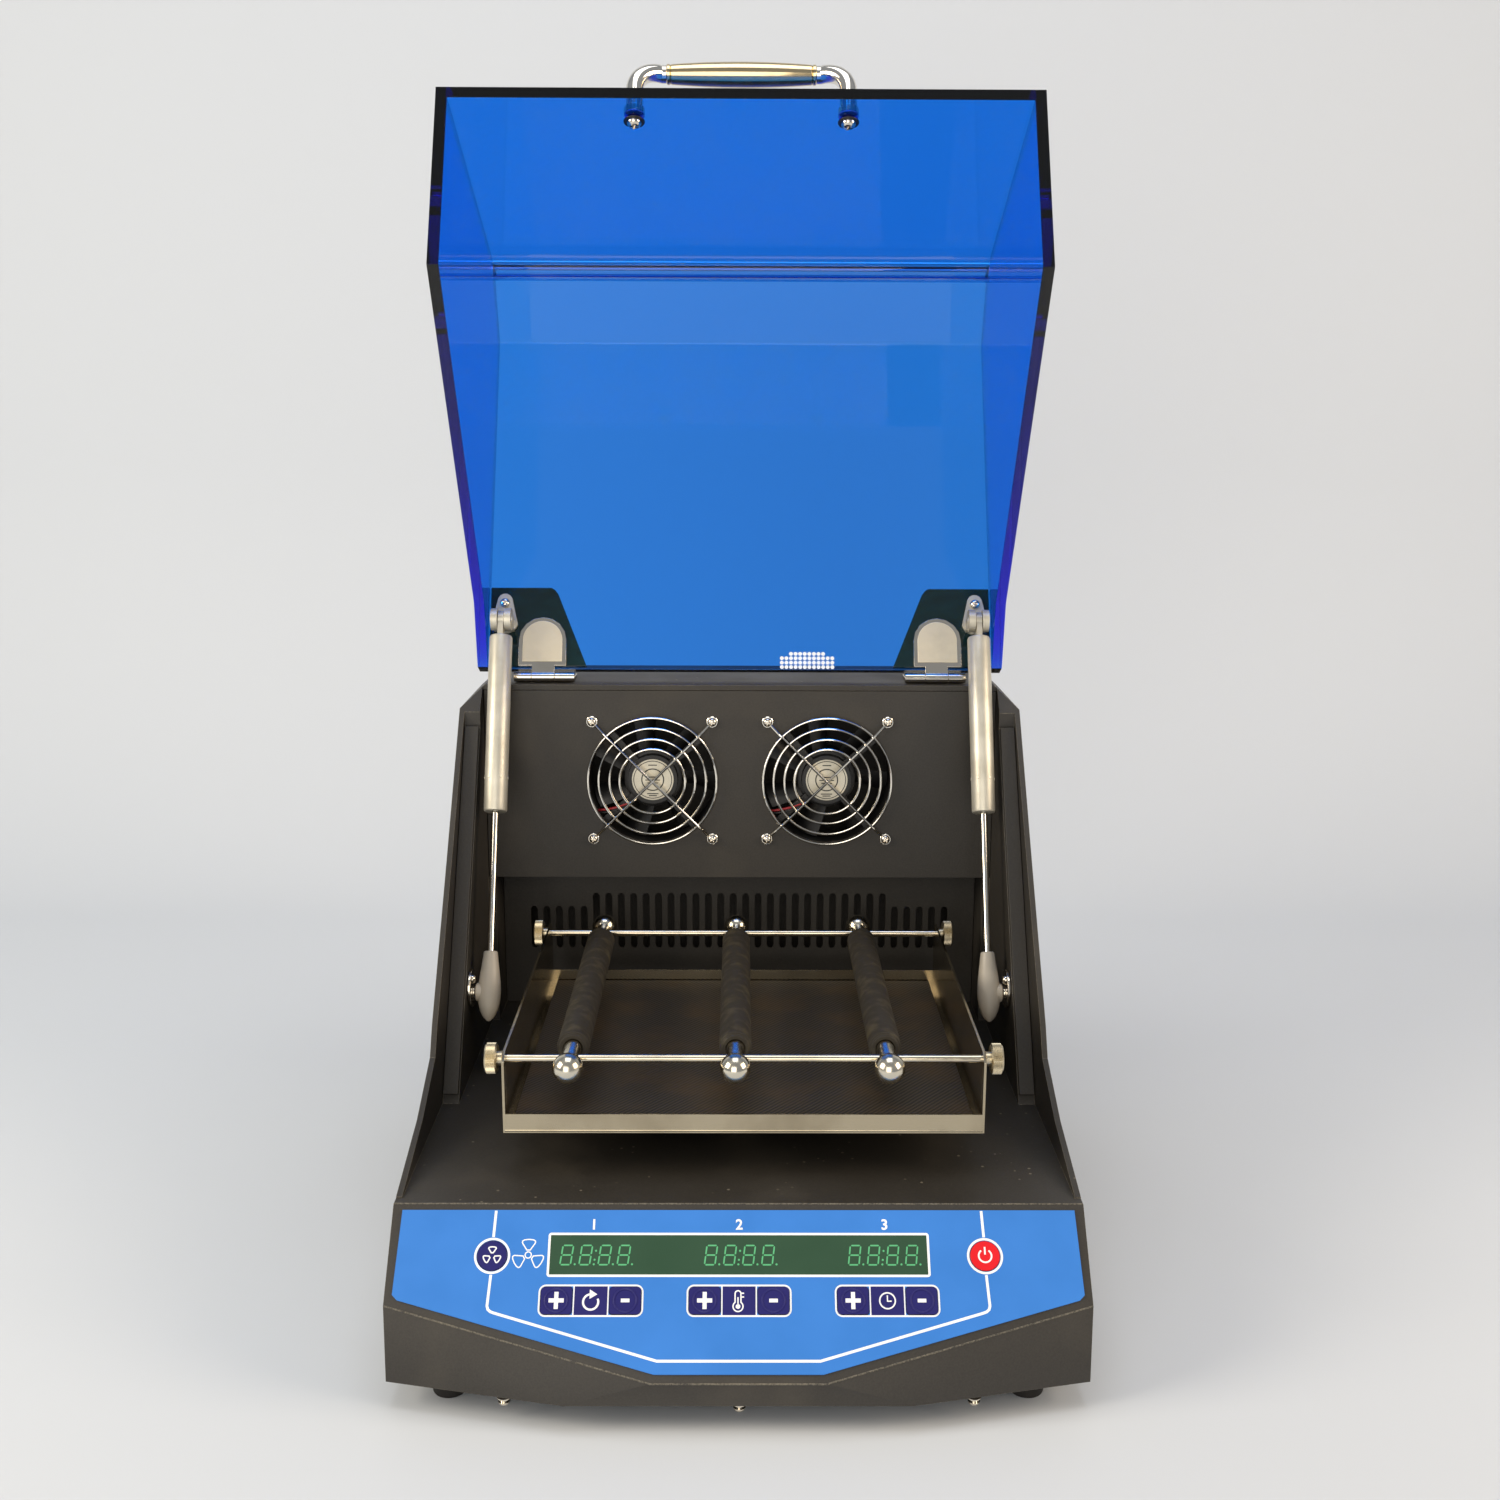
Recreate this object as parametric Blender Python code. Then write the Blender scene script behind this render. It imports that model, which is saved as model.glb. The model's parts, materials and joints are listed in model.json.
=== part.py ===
"""Incubated benchtop shaker with its tinted lid open: housing, fan wall, orbiting tray, struts and keypad.

Metres, +Z up, front faces -Y. Every size below is named; seats and fits derive from them.
"""

import math

import bmesh
import bpy
from mathutils import Matrix, Vector

MM = 0.001
FIT = 0.3 * MM
OVERCUT = 2 * MM
RIGHT_ANGLE = math.pi / 2
FULL_TURN = 2 * math.pi
SMOOTH_ANGLE = math.radians(32)
WELD = 0.0005 * MM

ROUND_STEPS = 24
SMALL_STEPS = 16
WIRE_STEPS = 3
RING_STEPS = 24
CORNER_STEPS = 3
SLOT_STEPS = 3

# housing, seen from the side: y runs back from the fan wall plane, z up from the bench
HOUSING_HALF = 164 * MM
HOUSING_BACK = 75 * MM
HOUSING_TOP = 296 * MM
HOUSING_BOTTOM = 14 * MM
DECK_Z = 87 * MM
SHEET = 3 * MM
CHAMFER_X = 13 * MM
CHAMFER_Z = 12 * MM
SHOULDER_Y = -10 * MM
SHOULDER_Z = HOUSING_TOP - 9 * MM
SLOPE_Y = -74 * MM
SLOPE_Z = HOUSING_TOP - 87 * MM
KNEE_Y = -137 * MM
KNEE_Z = DECK_Z + 47 * MM
HEEL_Y = KNEE_Y - 9 * MM
HEEL_Z = KNEE_Z - 14.5 * MM
TOE_Y = HEEL_Y - 41 * MM
TOE_Z = DECK_Z + 15 * MM

# fascia: the upper facet leans back, the lower facets fall to the bottom edge
FASCIA_TOP_Y = -250 * MM
FASCIA_ANGLE = math.radians(47.5)
CREASE_SIDE = 47.8 * MM
CREASE_MID = 82.4 * MM
CREASE_MID_X = 40 * MM
SKIRT_SIDE_Y = FASCIA_TOP_Y - 34 * MM
SKIRT_MID_X = 80 * MM
SKIRT_MID_Y = FASCIA_TOP_Y - 54 * MM
FASCIA_WALL = 4 * MM
TIP_Y = FASCIA_TOP_Y + 6 * MM
TIP_Z = DECK_Z + 0.6 * MM

# chamber: double side walls whose inner skins stop at a sloping ledge
SIDE_WALL = 12 * MM
CHAMBER_HALF = HOUSING_HALF - SIDE_WALL
LIP_INNER = HOUSING_HALF - SHEET
LEDGE_TOP_Y = SHOULDER_Y - 4 * MM
LEDGE_TOP_Z = SHOULDER_Z - 14 * MM
LEDGE_FOOT_Y = KNEE_Y + 6 * MM
BACK_INSET = 3 * MM
FAN_WALL_HIGH = 118 * MM
RECESS_TOP_Z = HOUSING_TOP - FAN_WALL_HIGH
RECESS_FLANGE = 4.2 * MM
RECESS_HALF = CHAMBER_HALF - RECESS_FLANGE
BAY_WALL = 4 * MM
BAY_HALF = HOUSING_HALF - BAY_WALL
BAY_FRONT_Y = FASCIA_TOP_Y + SHEET
WALL_SKIN = 2 * MM
SEAL_THICK = 2.4 * MM
SEAL_SIDE = 0.5 * MM

# fan wall
PANEL_THICK = 2 * MM
FAN_X = 52.2 * MM
FAN_RISE = 60.3 * MM
FAN_Z = RECESS_TOP_Z + FAN_RISE
FAN_SIDE = 80 * MM
FAN_DEPTH = 25 * MM
FAN_RIM = 1.6 * MM
FAN_BORE = FAN_SIDE / 2 - FAN_RIM
FAN_OPENING = FAN_BORE - 0.4 * MM
FAN_HOLE = FAN_SIDE / 2 - 4.25 * MM
FAN_SPOKE = 4 * MM
FAN_SPOKE_DEEP = 3 * MM
FAN_SPOKE_IN = 0.6 * MM
FAN_SPOKE_TURN = 41
FAN_BASE = 15 * MM
FAN_BASE_DEEP = 4.5 * MM
HUB_RADIUS = 17.5 * MM
HUB_DEPTH = 17 * MM
BLADE_COUNT = 7
BLADE_TIP = FAN_BORE - 1.2 * MM
BLADE_THICK = 1.4 * MM
BLADE_DEPTH = 12 * MM
BLADE_PITCH = math.radians(38)
GUARD_WIRE = 0.95 * MM
GUARD_STAND = 3.2 * MM
GUARD_RING_SHARES = (1.0, 0.836, 0.667, 0.511)
GUARD_CORE = 5 * MM
GUARD_CORE_THICK = 1.4 * MM
GUARD_STEP = 1.2 * MM
GUARD_LIFT = 0.15 * MM
RING_PHASE = 3
RING_TILT = 0.1
LEG_TILT = 0.4
GUARD_EYE = 3.4 * MM
GUARD_EYE_HOLE = 1.9 * MM
GUARD_EYE_THICK = 1.2 * MM
GUARD_DIP = 1 * MM

# slotted duct panel under the fans
DUCT_Y = 32 * MM
DUCT_THICK = 1.5 * MM
DUCT_EDGE = 0.3 * MM
PLENUM_FLOOR_Y = DUCT_Y + 6 * MM
SLOT_COUNT = 34
SLOT_SHORT_COUNT = 5
SLOT_END_COUNT = 3.85
SLOT_PITCH = 2 * RECESS_HALF / (SLOT_COUNT + SLOT_END_COUNT)
SLOT_WIDE_SHARE = 0.54
SLOT_WIDE = SLOT_WIDE_SHARE * SLOT_PITCH
SLOT_BOTTOM_Z = DECK_Z + 36 * MM
SLOT_TALL_Z = RECESS_TOP_Z - 18.8 * MM
SLOT_SHORT_Z = SLOT_TALL_Z - 8.6 * MM

# base pan and feet
PAN_GAP = 0.3 * MM
PAN_THICK = 2 * MM
PAN_INSET = 3.5 * MM
FOOT_IN = 27 * MM
FOOT_X = HOUSING_HALF - FOOT_IN
FOOT_FRONT_Y = SKIRT_SIDE_Y + 16 * MM
FOOT_REAR_Y = HOUSING_BACK - 25 * MM
FOOT_TOP = 9 * MM
FOOT_BOTTOM = 8 * MM
FOOT_EDGE = 1 * MM
REAR_SOCKET_Z = HOUSING_BOTTOM + 32 * MM
INLET_X = -70 * MM
INLET_WIDE = 27 * MM
INLET_HIGH = 20 * MM
INLET_DEEP = 16 * MM
INLET_WALL = 2 * MM
INLET_FLANGE = 4 * MM
INLET_FLANGE_THICK = 2 * MM
ROCKER_GAP = 14 * MM
ROCKER_WIDE = 13 * MM
ROCKER_X = INLET_X + (INLET_WIDE + ROCKER_WIDE) / 2 + ROCKER_GAP
ROCKER_HIGH = 19.4 * MM
ROCKER_DEEP = 9 * MM
ROCKER_STAND = 2 * MM

# lid, drawn closed about the hinge axis and then swung open
HINGE_Y = 9 * MM
HINGE_RISE = 3.3 * MM
HINGE_Z = HOUSING_TOP + HINGE_RISE
LID_OPEN = math.radians(117)
LID_SIDE = 7.6 * MM
LID_HALF = HOUSING_HALF - LID_SIDE
ACRYLIC = 6 * MM
LID_GAP = 1.3 * MM
LID_SETBACK = 17.6 * MM
LID_REAR_Y = -6 * MM
LID_REAR_Z = 3 * MM
LID_FREE_Y = FASCIA_TOP_Y + LID_SETBACK - HINGE_Y
LID_FREE_Z = DECK_Z + LID_GAP - HINGE_Z
LID_BEND1_Y = LID_FREE_Y - 8.4 * MM
LID_BEND1_Z = -38.2 * MM
LID_BEND2_Y = LID_BEND1_Y + 32 * MM
LID_BEND2_Z = -3.8 * MM
CHEEK_REAR_Z = -0.5 * MM
CHEEK_KNEE_Y = LEDGE_TOP_Y - HINGE_Y - 15 * MM
CHEEK_KNEE_Z = LEDGE_TOP_Z - HINGE_Z + 1.8 * MM
CHEEK_KINK_Y = LEDGE_FOOT_Y - HINGE_Y - 6 * MM

# hinges and corner plates, placed along the long lid panel from its rear edge
CORNER_OUT_X = LID_HALF - ACRYLIC - 0.5 * MM
CORNER_LOW_X = CORNER_OUT_X - 58.4 * MM
CORNER_HIGH_X = CORNER_OUT_X - 40.4 * MM
CORNER_START = 0.8 * MM
CORNER_HEIGHT = 50 * MM
CORNER_ROUND = 4 * MM
CORNER_THICK = 3 * MM
LEAF_OUT_X = LID_HALF - 24.2 * MM
LEAF_IN_X = LEAF_OUT_X - 28.4 * MM
LEAF_LENGTH = 30.8 * MM
LEAF_THICK = 1.4 * MM
KNUCKLE_RADIUS = 2.9 * MM
KNUCKLE_IN_X = LEAF_IN_X - 5.3 * MM
KNUCKLE_OUT_X = LEAF_OUT_X + 2.2 * MM
KNUCKLE_MID_IN_X = LEAF_IN_X + 6.7 * MM
KNUCKLE_MID_OUT_X = LEAF_OUT_X - 8.2 * MM
KNUCKLE_TIP = 1.5 * MM
PIN_RADIUS = 1.1 * MM
BASE_LEAF_LENGTH = 24 * MM
BASE_LEAF_SHY = 0.8 * MM

# gas struts, drawn along their own axis from the upper pivot down
STRUT_IN = 11 * MM
STRUT_X = CHAMBER_HALF - STRUT_IN
STRUT_UP_ALONG = 25 * MM
STRUT_UP_OFF = 18 * MM
STRUT_LOW_Y = KNEE_Y + 54 * MM
STRUT_LOW_Z = DECK_Z + 47 * MM
TUBE_RADIUS = 6.75 * MM
TUBE_START = 10 * MM
TUBE_END = 116 * MM
TUBE_SHOULDER = 1.2 * MM
ROD_RADIUS = 1.95 * MM
ROD_BORE = ROD_RADIUS + 0.35 * MM
ROD_TOP = TUBE_END - 10 * MM
BORE_TOP = ROD_TOP - 63 * MM
TONGUE_THICK = 3.2 * MM
TONGUE_RADIUS = 5 * MM
TONGUE_SHARE = 0.9
FORK_RADIUS = 6.6 * MM
FORK_HALF = 6 * MM
FORK_SLOT_HALF = TONGUE_THICK / 2 + 0.4 * MM
TEAR_THICK = 2 * MM
TEAR_RADIUS = 8.5 * MM
TEAR_LOW = STRUT_UP_ALONG + 4 * MM
TEAR_TIP_RADIUS = 4.5 * MM
TEAR_TIP = TEAR_LOW + 12 * MM
TEAR_TURN = 20
EGG_TOP = 23 * MM
EGG_TOP_RADIUS = 4.2 * MM
EGG_RADIUS = 6.5 * MM
EGG_WAIST = 4 * MM
EGG_BOTTOM = 16.5 * MM
EGG_COUNT = 6
BOSS_RADIUS = 5.2 * MM
STUD_GAP = 0.5 * MM
BRACKET_RADIUS = 11 * MM
BRACKET_THICK = 1.6 * MM
BRACKET_RISE = 2.5 * MM
BOSS_END = STRUT_IN - FIT - BRACKET_THICK - 1.7 * MM
STUD_RADIUS = 3.6 * MM

# handle on the outer face of the front lid panel
HANDLE_X = 56 * MM
HANDLE_FROM_EDGE = 20 * MM
HANDLE_POST = 4.6 * MM
HANDLE_FOOT = 5.6 * MM
HANDLE_FOOT_HIGH = 5 * MM
HANDLE_STAND = 26 * MM
HANDLE_BEND = 14 * MM
HANDLE_SWEEP = 7 * MM
GRIP_HALF = HANDLE_X - HANDLE_BEND - 2 * MM
GRIP_END = 5.6 * MM
GRIP_MID = 6.6 * MM
GRIP_STEP = 1.6 * MM

# tray on its eccentric
ORBIT = 8 * MM
TRAY_X = 2.4 * MM
TRAY_FRONT_Y = FASCIA_TOP_Y + 28 * MM
TRAY_BACK_Y = -2 * MM
TRAY_SIDE = 34.55 * MM
TRAY_HALF = CHAMBER_HALF - TRAY_SIDE
TRAY_RISE = 23.6 * MM
TRAY_Z = DECK_Z + TRAY_RISE
TRAY_SHEET = 1.2 * MM
LIP_HIGH = 9.7 * MM
PLATE_HIGH = 39.9 * MM
PLATE_TOP_Z = TRAY_Z + PLATE_HIGH
PLATE_CORNER_Y = 7 * MM
PLATE_CORNER_Z = 3.5 * MM
SLIT_WIDE = 1.2 * MM
SLIT_FROM_FRONT = 4.6 * MM
SLIT_LOW = 7 * MM
SLIT_HIGH = PLATE_HIGH - 7.9 * MM
MAT_SIDE_GAP = 2.6 * MM
MAT_END_GAP = 1 * MM
MAT_THICK = 2 * MM
RAIL_RADIUS = 2 * MM
RAIL_Z = PLATE_TOP_Z - 4.6 * MM
RAIL_FRONT_Y = TRAY_FRONT_Y + 8.8 * MM
RAIL_REAR_Y = TRAY_BACK_Y - 7.5 * MM
RAIL_OUT = 6.6 * MM
KNOB_NEAR = 2.9 * MM
KNOB_THICK = 5.9 * MM
KNOB_RADIUS = 7.7 * MM
KNOB_BOSS = 3.6 * MM
KNOB_COUNT = 26
KNOB_GROOVE = 0.25 * MM
BAR_SHARES = (-0.723, -0.0366, 0.597)
NECK_RADIUS = 4.4 * MM
BALL_RADIUS = 7.5 * MM
BALL_OUT = 13 * MM
BALL_COLLAR = 3 * MM
BALL_COUNT = 7
SLEEVE_RADIUS = 8.1 * MM
SLEEVE_FROM_RAIL = 13 * MM
SLEEVE_EDGE = 1 * MM

# drive under the tray
DISC_RADIUS = 18 * MM
DISC_THICK = 3.5 * MM
DISC_GAP = 1.5 * MM
SHAFT_RADIUS = 6 * MM
PIN_SHORT = 1.6 * MM
CRANK_PIN = 5 * MM
BEARING_RADIUS = 17 * MM
BEARING_GAP = 0.8 * MM
MOTOR_RADIUS = 32 * MM
MOTOR_HIGH = 42 * MM
DECK_HOLE = SHAFT_RADIUS + 1 * MM

# membrane keypad, drawn on the upper facet: across, down the slope, out of it
FILM = 0.8 * MM
OVERLAY_TOP = 3.3 * MM
OVERLAY_TOP_X = HOUSING_HALF - 4.8 * MM
OVERLAY_SIDE_X = HOUSING_HALF - 3.8 * MM
OVERLAY_SIDE = CREASE_SIDE - 4.8 * MM
OVERLAY_CUT_X = HOUSING_HALF - 6.2 * MM
OVERLAY_CUT = CREASE_SIDE - 2.4 * MM
OVERLAY_LOW_X = CREASE_MID_X - 1.6 * MM
OVERLAY_LOW = CREASE_MID - 3.9 * MM
DISPLAY_HALF = OVERLAY_TOP_X - 70.2 * MM
DISPLAY_TOP = 15 * MM
DISPLAY_LOW = 34 * MM
ROUND_KEY_X = OVERLAY_TOP_X - 44 * MM
ROUND_KEY_DOWN = 25 * MM
ROUND_KEY = 6.9 * MM
GROUP_SHARES = (-0.767, 0.002, 0.772)
KEY_FROM_MID = 15.9 * MM
KEY_DOWN = DISPLAY_LOW + 11.6 * MM
KEY_HALF_WIDE = 7.2 * MM
KEY_HALF_HIGH = 6.2 * MM
KEY_CORNER = 1.6 * MM
KEY_STAND = 0.5 * MM

POWDER = ("powder_coat", (0.040, 0.036, 0.031, 1), 0.55, 0.0)
ACRYLIC_BLUE = ("tinted_acrylic", (0.02, 0.17, 0.62, 1), 0.06, 0.0)
STEEL = ("stainless_sheet", (0.55, 0.52, 0.47, 1), 0.24, 1.0)
CHROME = ("chrome_plate", (0.78, 0.76, 0.72, 1), 0.08, 1.0)
SATIN = ("satin_steel", (0.52, 0.50, 0.46, 1), 0.34, 1.0)
RUBBER = ("dark_rubber", (0.022, 0.021, 0.018, 1), 0.8, 0.0)
GREY = ("grey_plastic", (0.42, 0.40, 0.37, 1), 0.45, 0.0)
BLACK = ("black_plastic", (0.012, 0.012, 0.013, 1), 0.4, 0.0)
FILM_BLUE = ("printed_film", (0.06, 0.25, 0.72, 1), 0.35, 0.0)
FILM_GREEN = ("display_film", (0.03, 0.09, 0.05, 1), 0.25, 0.0)
KEY_NAVY = ("key_film_navy", (0.022, 0.020, 0.14, 1), 0.4, 0.0)
KEY_RED = ("key_film_red", (0.75, 0.01, 0.012, 1), 0.4, 0.0)
ALLOY = ("cast_alloy", (0.38, 0.38, 0.39, 1), 0.4, 1.0)


def finish_of(kind, name):
    """One Principled material for one piece."""
    label, colour, roughness, metallic = kind
    material = bpy.data.materials.new(f"{label}_{name}")
    material.use_nodes = True
    shader = material.node_tree.nodes["Principled BSDF"]
    shader.inputs["Base Color"].default_value = colour
    shader.inputs["Roughness"].default_value = roughness
    shader.inputs["Metallic"].default_value = metallic
    return material


def shape_of(bm, name="shape"):
    """An object from a bmesh, welded and with its faces turned out."""
    bmesh.ops.remove_doubles(bm, verts=bm.verts, dist=WELD)
    bmesh.ops.recalc_face_normals(bm, faces=bm.faces)
    mesh = bpy.data.meshes.new(name)
    bm.to_mesh(mesh)
    bm.free()
    obj = bpy.data.objects.new(name, mesh)
    bpy.context.scene.collection.objects.link(obj)
    return obj


def prism(outline, low, high, across="X"):
    """A closed outline pushed along one axis. Outlines are (y, z), (x, z) or (x, y) pairs."""
    place = {
        "X": lambda a, b, c: (c, a, b),
        "Y": lambda a, b, c: (a, c, b),
        "Z": lambda a, b, c: (a, b, c),
    }[across]
    bm = bmesh.new()
    face = bm.faces.new([bm.verts.new(place(a, b, low)) for a, b in outline])
    moved = bmesh.ops.extrude_face_region(bm, geom=[face])
    shift = Vector(place(0, 0, high - low))
    tops = [item for item in moved["geom"] if isinstance(item, bmesh.types.BMVert)]
    bmesh.ops.translate(bm, verts=tops, vec=shift)
    return shape_of(bm)


def block(low, high):
    """An upright box between two corners."""
    (x0, y0, z0), (x1, y1, z1) = low, high
    return prism([(x0, y0), (x1, y0), (x1, y1), (x0, y1)], z0, z1, "Z")


def turned(profile, centre, axis, steps=ROUND_STEPS, ring=False):
    """A profile of (radius, height) pairs spun about an axis through a centre."""
    bm = bmesh.new()
    points = [bm.verts.new((radius, 0, height)) for radius, height in profile]
    pairs = list(zip(points, points[1:] + points[:1] if ring else points[1:]))
    edges = [bm.edges.new(pair) for pair in pairs]
    bmesh.ops.spin(
        bm,
        geom=points + edges,
        cent=(0, 0, 0),
        axis=(0, 0, 1),
        angle=FULL_TURN,
        steps=steps,
        use_merge=True,
    )
    turn = Vector((0, 0, 1)).rotation_difference(Vector(axis)).to_matrix().to_4x4()
    bmesh.ops.transform(bm, matrix=Matrix.Translation(centre) @ turn, verts=bm.verts)
    return shape_of(bm)


def rod(start, end, radius, steps=SMALL_STEPS):
    """A plain cylinder between two points."""
    start, end = Vector(start), Vector(end)
    length = (end - start).length
    profile = [(0, 0), (radius, 0), (radius, length), (0, length)]
    return turned(profile, start, end - start, steps)


def wire(points, radius, cyclic=False, steps=WIRE_STEPS, tilt=0):
    """A round bar along a path, made as a bevelled curve with filled ends."""
    curve = bpy.data.curves.new("wire", "CURVE")
    curve.dimensions = "3D"
    curve.bevel_depth = radius
    curve.bevel_resolution = steps
    curve.use_fill_caps = True
    spline = curve.splines.new("POLY")
    spline.points.add(len(points) - 1)
    for index, point in enumerate(points):
        spline.points[index].co = (*point, 1)
        spline.points[index].tilt = tilt
    spline.use_cyclic_u = cyclic
    holder = bpy.data.objects.new("wire", curve)
    bpy.context.scene.collection.objects.link(holder)
    bpy.context.view_layer.update()
    graph = bpy.context.evaluated_depsgraph_get()
    bm = bmesh.new()
    bm.from_mesh(holder.evaluated_get(graph).to_mesh())
    bpy.data.objects.remove(holder)
    return shape_of(bm)


def combined(target, others, operation):
    """The target after exact booleans with each of the others, which are used up."""
    for other in others:
        modifier = target.modifiers.new(operation.lower(), "BOOLEAN")
        modifier.operation = operation
        modifier.solver = "EXACT"
        modifier.object = other
        bpy.context.view_layer.update()
        graph = bpy.context.evaluated_depsgraph_get()
        mesh = bpy.data.meshes.new_from_object(target.evaluated_get(graph))
        target.modifiers.clear()
        target.data = mesh
        bpy.data.objects.remove(other)
    return target


def joined(target, *others):
    """The union of several overlapping shapes."""
    return combined(target, others, "UNION")


def cut(target, *others):
    """The target with the other shapes taken away."""
    return combined(target, others, "DIFFERENCE")


def eased(obj, width, segments=1):
    """Sharp edges broken by a Bevel modifier, applied."""
    modifier = obj.modifiers.new("ease", "BEVEL")
    modifier.width = width
    modifier.segments = segments
    modifier.limit_method = "ANGLE"
    modifier.angle_limit = SMOOTH_ANGLE
    bpy.context.view_layer.update()
    graph = bpy.context.evaluated_depsgraph_get()
    mesh = bpy.data.meshes.new_from_object(obj.evaluated_get(graph))
    obj.modifiers.clear()
    obj.data = mesh
    return obj


def placed(obj, matrix):
    """The shape moved by a matrix, in its mesh."""
    obj.data.transform(matrix)
    return obj


def node(obj, name, kind, origin=(0, 0, 0)):
    """Names a finished piece, gives it its finish and puts its origin on a point."""
    obj.name = name
    obj.data.name = name
    obj.data.transform(Matrix.Translation(-Vector(origin)))
    obj.location = origin
    obj.data.materials.clear()
    obj.data.materials.append(finish_of(kind, name))
    obj.data.polygons.foreach_set("use_smooth", [True] * len(obj.data.polygons))
    obj.data.set_sharp_from_angle(angle=SMOOTH_ANGLE)
    return obj


def arc(centre, radius, start, end, steps):
    """Points along a circular arc, in degrees."""
    spread = [start + (end - start) * index / steps for index in range(steps + 1)]
    return [
        (
            centre[0] + radius * math.cos(math.radians(turn)),
            centre[1] + radius * math.sin(math.radians(turn)),
        )
        for turn in spread
    ]


def rounded(x0, y0, x1, y1, radius, steps=CORNER_STEPS):
    """A rectangle with rounded corners, anticlockwise."""
    return (
        arc((x1 - radius, y0 + radius), radius, -90, 0, steps)
        + arc((x1 - radius, y1 - radius), radius, 0, 90, steps)
        + arc((x0 + radius, y1 - radius), radius, 90, 180, steps)
        + arc((x0 + radius, y0 + radius), radius, 180, 270, steps)
    )


def stadium(x, low, high, wide, steps=SLOT_STEPS):
    """An upright slot outline with round ends."""
    radius = wide / 2
    return arc((x, high - radius), radius, 0, 180, steps) + arc(
        (x, low + radius), radius, 180, 360, steps
    )


def hull(points):
    """The convex solid round a set of points."""
    bm = bmesh.new()
    corners = [bm.verts.new(point) for point in points]
    found = bmesh.ops.convex_hull(bm, input=corners)
    inner = set(found["geom_interior"]) | set(found["geom_unused"])
    loose = [item for item in inner if isinstance(item, bmesh.types.BMVert)]
    bmesh.ops.delete(bm, geom=loose, context="VERTS")
    return shape_of(bm)


def facet_point(x, down, out=0):
    """A point of the fascia's upper facet, given across, down the slope and out of it."""
    fall, lean = math.cos(FASCIA_ANGLE), math.sin(FASCIA_ANGLE)
    return (
        x,
        FASCIA_TOP_Y - down * fall - out * lean,
        DECK_Z - down * lean + out * fall,
    )


def facet_matrix():
    """Turns (across, up the slope, out) into world axes."""
    fall, lean = math.cos(FASCIA_ANGLE), math.sin(FASCIA_ANGLE)
    turn = Matrix(((1, 0, 0), (0, fall, -lean), (0, lean, fall))).to_4x4()
    return Matrix.Translation(facet_point(0, 0)) @ turn


def skirt_corners(inset):
    """The bottom corners of the fascia, moved in by a wall."""
    return [
        (-HOUSING_HALF + inset, SKIRT_SIDE_Y + inset),
        (-SKIRT_MID_X, SKIRT_MID_Y + inset),
        (SKIRT_MID_X, SKIRT_MID_Y + inset),
        (HOUSING_HALF - inset, SKIRT_SIDE_Y + inset),
    ]


def fascia_hull(inset, low, back):
    """The wedge of the fascia: two top corners, four crease corners and four bottom corners."""
    half = HOUSING_HALF - inset
    top = FASCIA_TOP_Y + inset
    points = [(-half, top, DECK_Z - inset), (half, top, DECK_Z - inset)]
    points += [(-half, back, low), (half, back, low)]
    points += [(-half, back, DECK_Z - inset), (half, back, DECK_Z - inset)]
    for side in (-1, 1):
        points.append(facet_point(side * half, CREASE_SIDE - inset / 2, -inset))
        points.append(facet_point(side * CREASE_MID_X, CREASE_MID - inset, -inset))
    points += [(x, y, low) for x, y in skirt_corners(inset)]
    return hull(points)


def ledge_foot():
    """Where the chamber ledge meets the deck, as (y, z)."""
    return (LEDGE_FOOT_Y, DECK_Z)


def wall_space(back, low):
    """The space between the two skins of a side wall, under its ledge, as (y, z) pairs."""
    foot, head = Vector(ledge_foot()), Vector((LEDGE_TOP_Y, LEDGE_TOP_Z))
    along = (head - foot).normalized()
    down = Vector((along.y, -along.x)) * SHEET
    foot, head = foot + down, head + down
    foot -= along * ((foot.y - low) / along.y)
    top = HOUSING_TOP - CHAMFER_Z - SHEET
    return [tuple(foot), tuple(head), (0, top), (back, top), (back, low)]


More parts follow.
